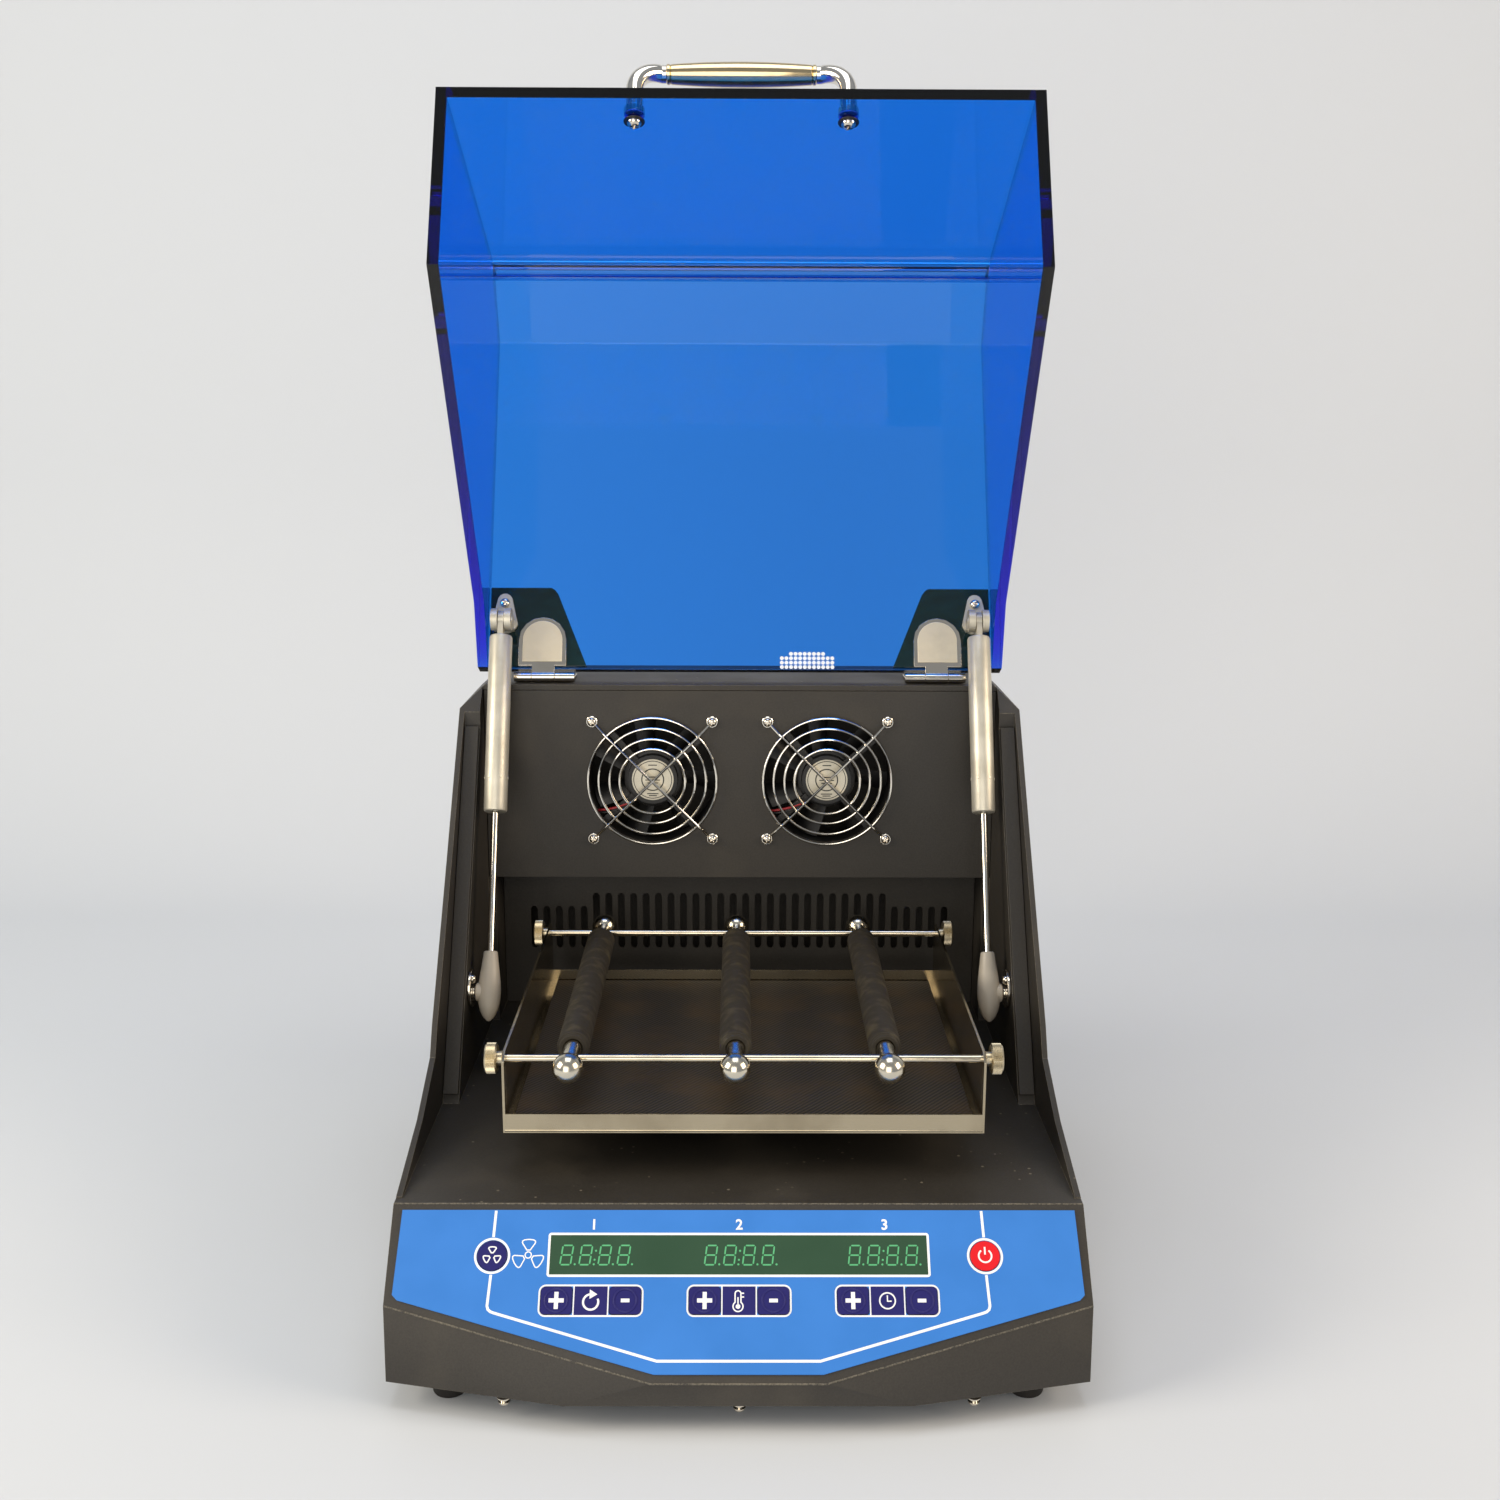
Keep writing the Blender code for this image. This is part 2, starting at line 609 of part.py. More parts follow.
def build_housing():
    """Powder-coated shell: box at the back, sloping double side walls, deck and faceted fascia."""
    side = [
        (HOUSING_BACK, HOUSING_BOTTOM),
        (HOUSING_BACK, HOUSING_TOP),
        (0, HOUSING_TOP),
        (SHOULDER_Y, SHOULDER_Z),
        (SLOPE_Y, SLOPE_Z),
        (KNEE_Y, KNEE_Z),
        (HEEL_Y, HEEL_Z),
        (TOE_Y, TOE_Z),
        (TIP_Y, TIP_Z),
        (TIP_Y, HOUSING_BOTTOM),
    ]
    body = prism(side, -HOUSING_HALF, HOUSING_HALF)
    body = joined(body, fascia_hull(0, HOUSING_BOTTOM, TIP_Y + OVERCUT))
    ahead = FASCIA_TOP_Y - CREASE_MID
    above = HOUSING_TOP + OVERCUT
    chamber = prism(
        [(ahead, DECK_Z), (0, DECK_Z), (0, above), (ahead, above)],
        -CHAMBER_HALF,
        CHAMBER_HALF,
    )
    inner_back = HOUSING_BACK - BACK_INSET
    inner_top = HOUSING_TOP - SHEET
    fan_bay = prism(
        [
            (-OVERCUT, RECESS_TOP_Z),
            (inner_back, RECESS_TOP_Z),
            (inner_back, inner_top),
            (-OVERCUT, inner_top),
        ],
        -CHAMBER_HALF,
        CHAMBER_HALF,
    )
    bay_top = DECK_Z - SHEET
    recess = prism(
        [
            (-OVERCUT, DECK_Z),
            (PLENUM_FLOOR_Y, DECK_Z),
            (PLENUM_FLOOR_Y, bay_top - OVERCUT),
            (inner_back, bay_top - OVERCUT),
            (inner_back, RECESS_TOP_Z + OVERCUT),
            (-OVERCUT, RECESS_TOP_Z + OVERCUT),
        ],
        -RECESS_HALF,
        RECESS_HALF,
    )
    under = HOUSING_BOTTOM - OVERCUT
    bay = prism(
        [
            (BAY_FRONT_Y, under),
            (inner_back, under),
            (inner_back, bay_top),
            (BAY_FRONT_Y, bay_top),
        ],
        -BAY_HALF,
        BAY_HALF,
    )
    nose = fascia_hull(FASCIA_WALL, under, BAY_FRONT_Y + OVERCUT)
    body = cut(body, chamber, fan_bay, recess, bay, nose)
    foot = ledge_foot()
    for side_sign in (-1, 1):
        ends = sorted(
            (
                side_sign * (CHAMBER_HALF - OVERCUT),
                side_sign * LIP_INNER,
            )
        )
        ledge = prism(
            [
                foot,
                (LEDGE_TOP_Y, LEDGE_TOP_Z),
                (LEDGE_TOP_Y, above),
                (ahead, above),
                (ahead, foot[1]),
            ],
            *ends,
        )
        edge = [
            (side_sign * (HOUSING_HALF - CHAMFER_X), above),
            (side_sign * (HOUSING_HALF - CHAMFER_X), HOUSING_TOP),
            (side_sign * HOUSING_HALF, HOUSING_TOP - CHAMFER_Z),
            (side_sign * (HOUSING_HALF + OVERCUT), HOUSING_TOP - CHAMFER_Z),
            (side_sign * (HOUSING_HALF + OVERCUT), above),
        ]
        chamfer = prism(edge, -HOUSING_BACK, HOUSING_BACK + OVERCUT, "Y")
        skins = sorted((side_sign * (CHAMBER_HALF + WALL_SKIN), side_sign * BAY_HALF))
        between = prism(wall_space(inner_back, bay_top - OVERCUT), *skins)
        body = cut(body, ledge, chamfer, between)
    hole = rod(
        (0, orbit_centre_y(), bay_top - OVERCUT),
        (0, orbit_centre_y(), DECK_Z + OVERCUT),
        DECK_HOLE,
    )
    body = cut(body, hole)
    for x, wide, high in (
        (INLET_X, INLET_WIDE, INLET_HIGH),
        (ROCKER_X, ROCKER_WIDE, ROCKER_HIGH),
    ):
        window = block(
            (
                x - wide / 2 - FIT,
                inner_back - OVERCUT,
                REAR_SOCKET_Z - high / 2 - FIT,
            ),
            (
                x + wide / 2 + FIT,
                HOUSING_BACK + OVERCUT,
                REAR_SOCKET_Z + high / 2 + FIT,
            ),
        )
        body = cut(body, window)
    node(body, "housing_shell", POWDER)


def orbit_centre_y():
    """The drive axis: the tray rests moved by the orbit from it."""
    tray_mid = (TRAY_FRONT_Y + TRAY_BACK_Y) / 2
    return tray_mid + math.sqrt(ORBIT * ORBIT - TRAY_X * TRAY_X)


def pan_bottom():
    """The underside of the base pan."""
    return HOUSING_BOTTOM - PAN_GAP - PAN_THICK


def build_base():
    """Bottom pan following the skirt, and four round feet."""
    back = HOUSING_BACK - PAN_INSET
    half = HOUSING_HALF - PAN_INSET
    outline = [(half, back), (-half, back)] + skirt_corners(PAN_INSET)
    top = HOUSING_BOTTOM - PAN_GAP
    node(prism(outline, pan_bottom(), top, "Z"), "base_pan", POWDER)
    high = pan_bottom() - FIT
    profile = [
        (0, 0),
        (FOOT_BOTTOM - FOOT_EDGE, 0),
        (FOOT_BOTTOM, FOOT_EDGE),
        (FOOT_TOP, high),
        (0, high),
    ]
    for name, x, y in (
        ("foot_front_left", -FOOT_X, FOOT_FRONT_Y),
        ("foot_front_right", FOOT_X, FOOT_FRONT_Y),
        ("foot_rear_left", -FOOT_X, FOOT_REAR_Y),
        ("foot_rear_right", FOOT_X, FOOT_REAR_Y),
    ):
        node(turned(profile, (x, y, 0), (0, 0, 1)), name, RUBBER)


def build_rear_sockets():
    """Power inlet with its open socket, and the rocker beside it."""
    inlet = block(
        (
            INLET_X - INLET_WIDE / 2,
            HOUSING_BACK - INLET_DEEP,
            REAR_SOCKET_Z - INLET_HIGH / 2,
        ),
        (
            INLET_X + INLET_WIDE / 2,
            HOUSING_BACK + INLET_FLANGE_THICK,
            REAR_SOCKET_Z + INLET_HIGH / 2,
        ),
    )
    flange = block(
        (
            INLET_X - INLET_WIDE / 2 - INLET_FLANGE,
            HOUSING_BACK + FIT,
            REAR_SOCKET_Z - INLET_HIGH / 2 - INLET_FLANGE,
        ),
        (
            INLET_X + INLET_WIDE / 2 + INLET_FLANGE,
            HOUSING_BACK + FIT + INLET_FLANGE_THICK,
            REAR_SOCKET_Z + INLET_HIGH / 2 + INLET_FLANGE,
        ),
    )
    socket = block(
        (
            INLET_X - INLET_WIDE / 2 + INLET_WALL,
            HOUSING_BACK - INLET_DEEP + INLET_WALL,
            REAR_SOCKET_Z - INLET_HIGH / 2 + INLET_WALL,
        ),
        (
            INLET_X + INLET_WIDE / 2 - INLET_WALL,
            HOUSING_BACK + INLET_FLANGE_THICK + OVERCUT,
            REAR_SOCKET_Z + INLET_HIGH / 2 - INLET_WALL,
        ),
    )
    node(cut(joined(inlet, flange), socket), "power_inlet", BLACK)
    stand = ROCKER_STAND / 2
    rocker = prism(
        [
            (HOUSING_BACK - ROCKER_DEEP, REAR_SOCKET_Z - ROCKER_HIGH / 3),
            (HOUSING_BACK + stand, REAR_SOCKET_Z - ROCKER_HIGH / 2 + FIT),
            (HOUSING_BACK + stand / 2, REAR_SOCKET_Z),
            (HOUSING_BACK + ROCKER_STAND, REAR_SOCKET_Z + ROCKER_HIGH / 2 - FIT),
            (HOUSING_BACK - ROCKER_DEEP, REAR_SOCKET_Z + ROCKER_HIGH / 3),
        ],
        ROCKER_X - ROCKER_WIDE / 2,
        ROCKER_X + ROCKER_WIDE / 2,
    )
    pivot = (ROCKER_X, HOUSING_BACK - ROCKER_DEEP / 2, REAR_SOCKET_Z)
    node(rocker, "power_rocker", BLACK, pivot)


def build_fan_wall():
    """Sheet with two round openings and a bottom return over the duct recess."""
    top = HOUSING_TOP - SHEET - FIT
    low = RECESS_TOP_Z + FIT
    half = CHAMBER_HALF - FIT
    wall = prism(
        [
            (0, low),
            (DUCT_Y - FIT, low),
            (DUCT_Y - FIT, low + DUCT_THICK),
            (PANEL_THICK, low + DUCT_THICK),
            (PANEL_THICK, top),
            (0, top),
        ],
        -half,
        half,
    )
    for side in (-1, 1):
        opening = rod(
            (side * FAN_X, -OVERCUT, FAN_Z),
            (side * FAN_X, PANEL_THICK + OVERCUT, FAN_Z),
            FAN_OPENING,
            RING_STEPS,
        )
        wall = cut(wall, opening)
    node(wall, "fan_wall", POWDER)


def build_duct():
    """Recessed sheet with a row of upright slots, short ones at both ends."""
    half = RECESS_HALF - DUCT_EDGE
    top = RECESS_TOP_Z + FIT
    sheet = prism(
        [
            (-half, DECK_Z + FIT),
            (half, DECK_Z + FIT),
            (half, top),
            (-half, top),
        ],
        DUCT_Y,
        DUCT_Y + DUCT_THICK,
        "Y",
    )
    bm = bmesh.new()
    first = -SLOT_PITCH * (SLOT_COUNT - 1) / 2
    for index in range(SLOT_COUNT):
        edge = min(index, SLOT_COUNT - 1 - index)
        high = SLOT_SHORT_Z if edge < SLOT_SHORT_COUNT else SLOT_TALL_Z
        outline = stadium(first + index * SLOT_PITCH, SLOT_BOTTOM_Z, high, SLOT_WIDE)
        face = bm.faces.new([bm.verts.new((x, DUCT_Y - OVERCUT, z)) for x, z in outline])
        moved = bmesh.ops.extrude_face_region(bm, geom=[face])
        tops = [item for item in moved["geom"] if isinstance(item, bmesh.types.BMVert)]
        shift = Vector((0, DUCT_THICK + 2 * OVERCUT, 0))
        bmesh.ops.translate(bm, verts=tops, vec=shift)
    node(cut(sheet, shape_of(bm)), "duct_panel", POWDER)


def build_seals():
    """Flat seal strips that lie on the sloping ledges of the side walls."""
    foot = Vector(ledge_foot())
    head = Vector((LEDGE_TOP_Y, LEDGE_TOP_Z))
    along = (head - foot).normalized()
    off = Vector((-along.y, along.x))
    start = foot + along * (2 * SEAL_THICK) + off * FIT
    end = head - along * FIT + off * FIT
    outline = [start, end, end + off * SEAL_THICK, start + off * SEAL_THICK]
    for name, side in (("seal_left", -1), ("seal_right", 1)):
        ends = sorted(
            (
                side * (CHAMBER_HALF + SEAL_SIDE),
                side * (LIP_INNER - FIT),
            )
        )
        strip = prism([tuple(point) for point in outline], *ends)
        node(strip, name, POWDER)


def build_fans():
    """Square axial fans behind the wall: frame, impeller and wire guard."""
    for name, side in (("left", -1), ("right", 1)):
        x = side * FAN_X
        front = PANEL_THICK + FIT
        half = FAN_SIDE / 2
        frame = prism(
            rounded(x - half, FAN_Z - half, x + half, FAN_Z + half, half / 10),
            front,
            front + FAN_DEPTH,
            "Y",
        )
        bore = rod(
            (x, front - OVERCUT, FAN_Z),
            (x, front + FAN_DEPTH + OVERCUT, FAN_Z),
            FAN_BORE,
            RING_STEPS,
        )
        base = rod(
            (x, front, FAN_Z),
            (x, front + FAN_BASE_DEEP, FAN_Z),
            FAN_BASE,
            ROUND_STEPS,
        )
        frame = joined(cut(frame, bore), base)
        spoke = front + FAN_SPOKE_IN
        for turn in (FAN_SPOKE_TURN, FAN_SPOKE_TURN + 90):
            heading = math.radians(turn)
            reach = Vector((math.cos(heading), 0, math.sin(heading))) * (FAN_BORE + FAN_RIM)
            wide = Vector((-math.sin(heading), 0, math.cos(heading))) * (FAN_SPOKE / 2)
            middle = Vector((x, spoke, FAN_Z))
            corners = [
                middle + reach + wide,
                middle - reach + wide,
                middle - reach - wide,
                middle + reach - wide,
            ]
            outline = [(corner.x, corner.z) for corner in corners]
            frame = joined(frame, prism(outline, spoke, spoke + FAN_SPOKE_DEEP, "Y"))
        node(frame, f"fan_frame_{name}", BLACK)
        hub_start = front + FAN_BASE_DEEP + FIT
        hub = rod(
            (x, hub_start, FAN_Z),
            (x, hub_start + HUB_DEPTH, FAN_Z),
            HUB_RADIUS,
            ROUND_STEPS,
        )
        blades = []
        middle_y = hub_start + HUB_DEPTH / 2
        root = HUB_RADIUS - 3 * BLADE_THICK
        for index in range(BLADE_COUNT):
            blade = block(
                (root, -BLADE_DEPTH / 2, -BLADE_THICK / 2),
                (BLADE_TIP, BLADE_DEPTH / 2, BLADE_THICK / 2),
            )
            tilt = Matrix.Rotation(BLADE_PITCH, 4, "X")
            turn = Matrix.Rotation(FULL_TURN * index / BLADE_COUNT, 4, "Y")
            shift = Matrix.Translation((x, middle_y, FAN_Z))
            blades.append(placed(blade, shift @ turn @ tilt))
        pivot = (x, middle_y, FAN_Z)
        node(joined(hub, *blades), f"fan_impeller_{name}", BLACK, pivot)
        node(build_guard(x), f"fan_guard_{name}", CHROME)


def build_guard(x):
    """Wire finger guard: four rings welded on four diagonal legs that end in eyelets."""
    ring_y = -GUARD_STAND
    leg_y = ring_y - GUARD_STEP
    pieces = []
    rings = [share * FAN_BORE for share in GUARD_RING_SHARES]
    for radius in rings:
        loop = arc((0, 0), radius, RING_PHASE, RING_PHASE + 360, RING_STEPS)[:-1]
        points = [(x + a, ring_y, FAN_Z + b) for a, b in loop]
        pieces.append(wire(points, GUARD_WIRE, cyclic=True, steps=1, tilt=RING_TILT))
    eye_y = -FIT - GUARD_WIRE - GUARD_LIFT
    reach = FAN_HOLE - GUARD_EYE / 2
    shoulder = rings[0] / math.sqrt(2) + GUARD_DIP
    inner = GUARD_CORE / 2
    for across in (-1, 1):
        for up in (-1, 1):
            path = [
                (x + across * inner, leg_y, FAN_Z + up * inner),
                (x + across * shoulder, leg_y, FAN_Z + up * shoulder),
                (x + across * reach, eye_y, FAN_Z + up * reach),
            ]
            pieces.append(wire(path, GUARD_WIRE, steps=1, tilt=LEG_TILT))
            eye = turned(
                [
                    (GUARD_EYE_HOLE, 0),
                    (GUARD_EYE, 0),
                    (GUARD_EYE, GUARD_EYE_THICK),
                    (GUARD_EYE_HOLE, GUARD_EYE_THICK),
                ],
                (x + across * FAN_HOLE, -FIT, FAN_Z + up * FAN_HOLE),
                (0, -1, 0),
                SMALL_STEPS,
                ring=True,
            )
            pieces.append(eye)
    half = GUARD_CORE_THICK / 2
    core = rod((x, leg_y - half, FAN_Z), (x, leg_y + half, FAN_Z), GUARD_CORE)
    return joined(core, *pieces)


def lid_turn():
    """Swings a shape drawn closed about the hinge axis to its open place."""
    swing = Matrix.Rotation(-LID_OPEN, 4, "X")
    return Matrix.Translation((0, HINGE_Y, HINGE_Z)) @ swing


def hinge_point(x=0):
    """A point of the lid axis."""
    return (x, HINGE_Y, HINGE_Z)


def offset_line(points, distance):
    """A polyline of (y, z) pairs moved sideways by a distance with mitred corners."""
    moved = []
    for index, here in enumerate(points):
        here = Vector(here)
        turns = []
        if index:
            turns.append((here - Vector(points[index - 1])).normalized())
        if index < len(points) - 1:
            turns.append((Vector(points[index + 1]) - here).normalized())
        sides = [Vector((turn.y, -turn.x)) for turn in turns]
        middle = sum(sides, Vector((0, 0))).normalized()
        moved.append(tuple(here + middle * (distance / middle.dot(sides[0]))))
    return moved


def lid_line():
    """The inner line of the bent lid sheet, from the hinge edge to the free edge."""
    return [
        (LID_REAR_Y, LID_REAR_Z),
        (LID_BEND2_Y, LID_BEND2_Z),
        (LID_BEND1_Y, LID_BEND1_Z),
        (LID_FREE_Y, LID_FREE_Z),
    ]


def build_lid():
    """Bent acrylic sheet with two bonded cheeks, cut from one drawn outline."""
    inner = lid_line()
    outline = offset_line(inner, ACRYLIC) + [
        inner[-1],
        (CHEEK_KINK_Y, LID_FREE_Z),
        (CHEEK_KNEE_Y, CHEEK_KNEE_Z),
        (LID_REAR_Y, CHEEK_REAR_Z),
    ]
    lid = prism(outline, -LID_HALF, LID_HALF)
    first, second = Vector(inner[0]), Vector(inner[1])
    bend, free = Vector(inner[2]), Vector(inner[3])
    behind = first - (second - first).normalized() * OVERCUT
    below = free + (free - bend).normalized() * OVERCUT
    hollow = [tuple(behind), inner[1], inner[2], tuple(below), (behind.x, below.y)]
    room = prism(hollow, -LID_HALF + ACRYLIC, LID_HALF - ACRYLIC)
    lid = placed(cut(lid, room), lid_turn())
    node(lid, "lid_cover", ACRYLIC_BLUE, hinge_point())


def panel_matrix():
    """Turns (across, along the long panel, inwards) into the closed lid's axes."""
    start = Vector((LID_REAR_Y, LID_REAR_Z))
    along = (Vector((LID_BEND2_Y, LID_BEND2_Z)) - start).normalized()
    inward = Vector((-along.y, along.x))
    turn = Matrix(
        (
            (1, 0, 0),
            (0, along.x, inward.x),
            (0, along.y, inward.y),
        )
    ).to_4x4()
    return Matrix.Translation((0, start.x, start.y)) @ turn


def on_lid(obj):
    """A shape drawn on the long panel, put in its open place."""
    placed(obj, lid_turn() @ panel_matrix())
    return obj


def strut_upper():
    """The upper strut pivot in the open pose, as (y, z)."""
    spot = lid_turn() @ panel_matrix() @ Vector((0, STRUT_UP_ALONG, STRUT_UP_OFF))
    return Vector((spot.y, spot.z))


def build_lid_fittings():
    """Corner plates, hinge leaves with knuckles and the strut forks, left and right."""
    for name, side in (("left", -1), ("right", 1)):
        plate_in = FIT
        plate_out = FIT + CORNER_THICK
        corner = [
            (side * CORNER_OUT_X, CORNER_START),
            (side * CORNER_LOW_X, CORNER_START),
            (side * CORNER_HIGH_X, CORNER_HEIGHT - CORNER_ROUND),
            (side * (CORNER_HIGH_X + CORNER_ROUND / 2), CORNER_HEIGHT - CORNER_ROUND / 3),
            (side * (CORNER_HIGH_X + CORNER_ROUND), CORNER_HEIGHT),
            (side * CORNER_OUT_X, CORNER_HEIGHT),
        ]
        plate = prism(corner, plate_in, plate_out, "Z")
        node(on_lid(plate), f"corner_plate_{name}", BLACK, hinge_point())

        leaf_low = plate_out + FIT
        leaf_mid = side * (LEAF_IN_X + LEAF_OUT_X) / 2
        radius = (LEAF_OUT_X - LEAF_IN_X) / 2
        arch = arc((leaf_mid, LEAF_LENGTH - radius), radius, 0, 180, 2 * CORNER_STEPS + 2)
        outline = arch + [(leaf_mid - radius, CORNER_START), (leaf_mid + radius, CORNER_START)]
        leaf = prism(outline, leaf_low, leaf_low + LEAF_THICK, "Z")
        mids = sorted((side * KNUCKLE_MID_IN_X, side * KNUCKLE_MID_OUT_X))
        reach = -LID_REAR_Y
        tab = prism(
            [
                (mids[0], -reach),
                (mids[1], -reach),
                (mids[1], CORNER_START + OVERCUT),
                (mids[0], CORNER_START + OVERCUT),
            ],
            leaf_low,
            leaf_low + LEAF_THICK,
            "Z",
        )
        leaf = on_lid(joined(leaf, tab))
        barrel = rod(hinge_point(mids[0]), hinge_point(mids[1]), KNUCKLE_RADIUS)
        bore = rod(
            hinge_point(mids[0] - OVERCUT),
            hinge_point(mids[1] + OVERCUT),
            PIN_RADIUS + FIT,
        )
        leaf = cut(joined(leaf, barrel), bore)
        node(leaf, f"hinge_lid_leaf_{name}", CHROME, hinge_point())

        outer = side * KNUCKLE_OUT_X
        inner = side * KNUCKLE_IN_X
        top = HOUSING_TOP + FIT
        gap_out = side * (KNUCKLE_MID_OUT_X + FIT)
        gap_in = side * (KNUCKLE_MID_IN_X - FIT)
        base = block(
            (min(outer, inner) + BASE_LEAF_SHY, HINGE_Y + FIT, top),
            (
                max(outer, inner) - BASE_LEAF_SHY,
                HINGE_Y + BASE_LEAF_LENGTH,
                top + LEAF_THICK,
            ),
        )
        relief = block(
            (min(gap_out, gap_in) - FIT, HINGE_Y - OVERCUT, top - OVERCUT),
            (
                max(gap_out, gap_in) + FIT,
                HINGE_Y + KNUCKLE_RADIUS + 2 * FIT,
                top + OVERCUT,
            ),
        )
        base = cut(base, relief)
        knuckle_out = rod(hinge_point(gap_out), hinge_point(outer), KNUCKLE_RADIUS)
        profile = [
            (0, 0),
            (KNUCKLE_RADIUS, 0),
            (KNUCKLE_RADIUS, KNUCKLE_MID_IN_X - FIT - KNUCKLE_IN_X),
            (0, KNUCKLE_MID_IN_X - FIT - KNUCKLE_IN_X + KNUCKLE_TIP),
        ]
        knuckle_in = turned(profile, hinge_point(gap_in), (-side, 0, 0), SMALL_STEPS)
        shift = side * KNUCKLE_RADIUS / 2
        pin = rod(hinge_point(gap_in - shift), hinge_point(gap_out + shift), PIN_RADIUS)
        base = joined(base, knuckle_out, knuckle_in, pin)
        node(base, f"hinge_base_leaf_{name}", CHROME)
        build_fork(name, side, plate_out + FIT)


def build_fork(name, side, low):
    """Teardrop base on the corner plate with a slotted round knuckle for the strut tongue."""
    middle = side * STRUT_X
    tear = arc((middle, TEAR_LOW), TEAR_RADIUS, 180 + TEAR_TURN, 360 - TEAR_TURN, 8)
    tear += arc((middle, TEAR_TIP), TEAR_TIP_RADIUS, TEAR_TURN, 180 - TEAR_TURN, 5)
    base = prism(tear, low, low + TEAR_THICK, "Z")
    spot = (middle, STRUT_UP_ALONG, STRUT_UP_OFF)
    knuckle = rod(
        (middle - FORK_HALF, STRUT_UP_ALONG, STRUT_UP_OFF),
        (middle + FORK_HALF, STRUT_UP_ALONG, STRUT_UP_OFF),
        FORK_RADIUS,
        SMALL_STEPS,
    )
    post = block(
        (spot[0] - FORK_HALF, spot[1] - FORK_RADIUS / 2, low + TEAR_THICK / 2),
        (spot[0] + FORK_HALF, spot[1] + FORK_RADIUS / 2, spot[2]),
    )
    slot = block(
        (
            spot[0] - FORK_SLOT_HALF,
            spot[1] - 2 * FORK_RADIUS,
            low + TEAR_THICK + FIT,
        ),
        (
            spot[0] + FORK_SLOT_HALF,
            spot[1] + 2 * FORK_RADIUS,
            spot[2] + 2 * FORK_RADIUS,
        ),
    )
    fork = cut(joined(base, knuckle, post), slot)
    node(on_lid(fork), f"strut_fork_{name}", SATIN, hinge_point())


def build_struts():
    """Gas struts: tube with a flat tongue above, rod with an egg-shaped socket below, wall stud."""
    upper = strut_upper()
    lower = Vector((STRUT_LOW_Y, STRUT_LOW_Z))
    length = (upper - lower).length
    down = (lower - upper) / length
    for name, side in (("left", -1), ("right", 1)):
        x = side * STRUT_X
        pivot = Vector((x, upper.x, upper.y))
        axis = Vector((0, down.x, down.y))
        profile = [
            (0, TUBE_START),
            (TUBE_RADIUS - TUBE_SHOULDER, TUBE_START),
            (TUBE_RADIUS, TUBE_START + TUBE_SHOULDER),
            (TUBE_RADIUS, TUBE_END - TUBE_SHOULDER / 2),
            (TUBE_RADIUS - TUBE_SHOULDER / 2, TUBE_END),
            (ROD_BORE, TUBE_END),
            (ROD_BORE, BORE_TOP),
            (0, BORE_TOP),
        ]
        tube = turned(profile, pivot, axis, ROUND_STEPS)
        eye = rod(
            pivot - Vector((TONGUE_THICK / 2, 0, 0)),
            pivot + Vector((TONGUE_THICK / 2, 0, 0)),
            TONGUE_RADIUS,
            SMALL_STEPS,
        )
        wide = Vector((0, -down.y, down.x)) * (TONGUE_RADIUS * TONGUE_SHARE)
        start, end = pivot, pivot + axis * (TUBE_START + TUBE_SHOULDER)
        strap = prism(
            [
                (start.y + wide.y, start.z + wide.z),
                (end.y + wide.y, end.z + wide.z),
                (end.y - wide.y, end.z - wide.z),
                (start.y - wide.y, start.z - wide.z),
            ],
            x - TONGUE_THICK / 2,
            x + TONGUE_THICK / 2,
        )
        node(joined(tube, strap, eye), f"strut_tube_{name}", SATIN, pivot)

        bar = [
            (0, ROD_TOP),
            (ROD_RADIUS - FIT, ROD_TOP),
            (ROD_RADIUS, ROD_TOP + FIT),
            (ROD_RADIUS, length - EGG_TOP + EGG_WAIST),
            (0, length - EGG_TOP + EGG_WAIST),
        ]
        piston = turned(bar, pivot, axis, SMALL_STEPS)
        egg = [
            (0, length - EGG_TOP),
            (EGG_TOP_RADIUS, length - EGG_TOP),
            ((EGG_TOP_RADIUS + EGG_RADIUS) / 2, length - (EGG_TOP + EGG_WAIST) / 2),
            (EGG_RADIUS, length - EGG_WAIST),
        ]
        for step in range(EGG_COUNT + 1):
            turn = RIGHT_ANGLE * step / EGG_COUNT
            egg.append((EGG_RADIUS * math.cos(turn), length + EGG_BOTTOM * math.sin(turn)))
        shell = turned(egg, pivot, axis, ROUND_STEPS)
        foot = pivot + axis * length
        out = Vector((side, 0, 0))
        boss = rod(foot, foot + out * BOSS_END, BOSS_RADIUS, ROUND_STEPS)
        node(joined(shell, boss, piston), f"strut_rod_{name}", GREY, pivot)

        wall = side * (CHAMBER_HALF - FIT)
        disc = Vector((wall, foot.y, foot.z + BRACKET_RISE))
        plate = rod(disc, disc - out * BRACKET_THICK, BRACKET_RADIUS, ROUND_STEPS)
        stud_end = foot + out * (BOSS_END + STUD_GAP)
        stud = rod(Vector((wall, foot.y, foot.z)), stud_end, STUD_RADIUS)
        node(joined(plate, stud), f"strut_bracket_{name}", CHROME)


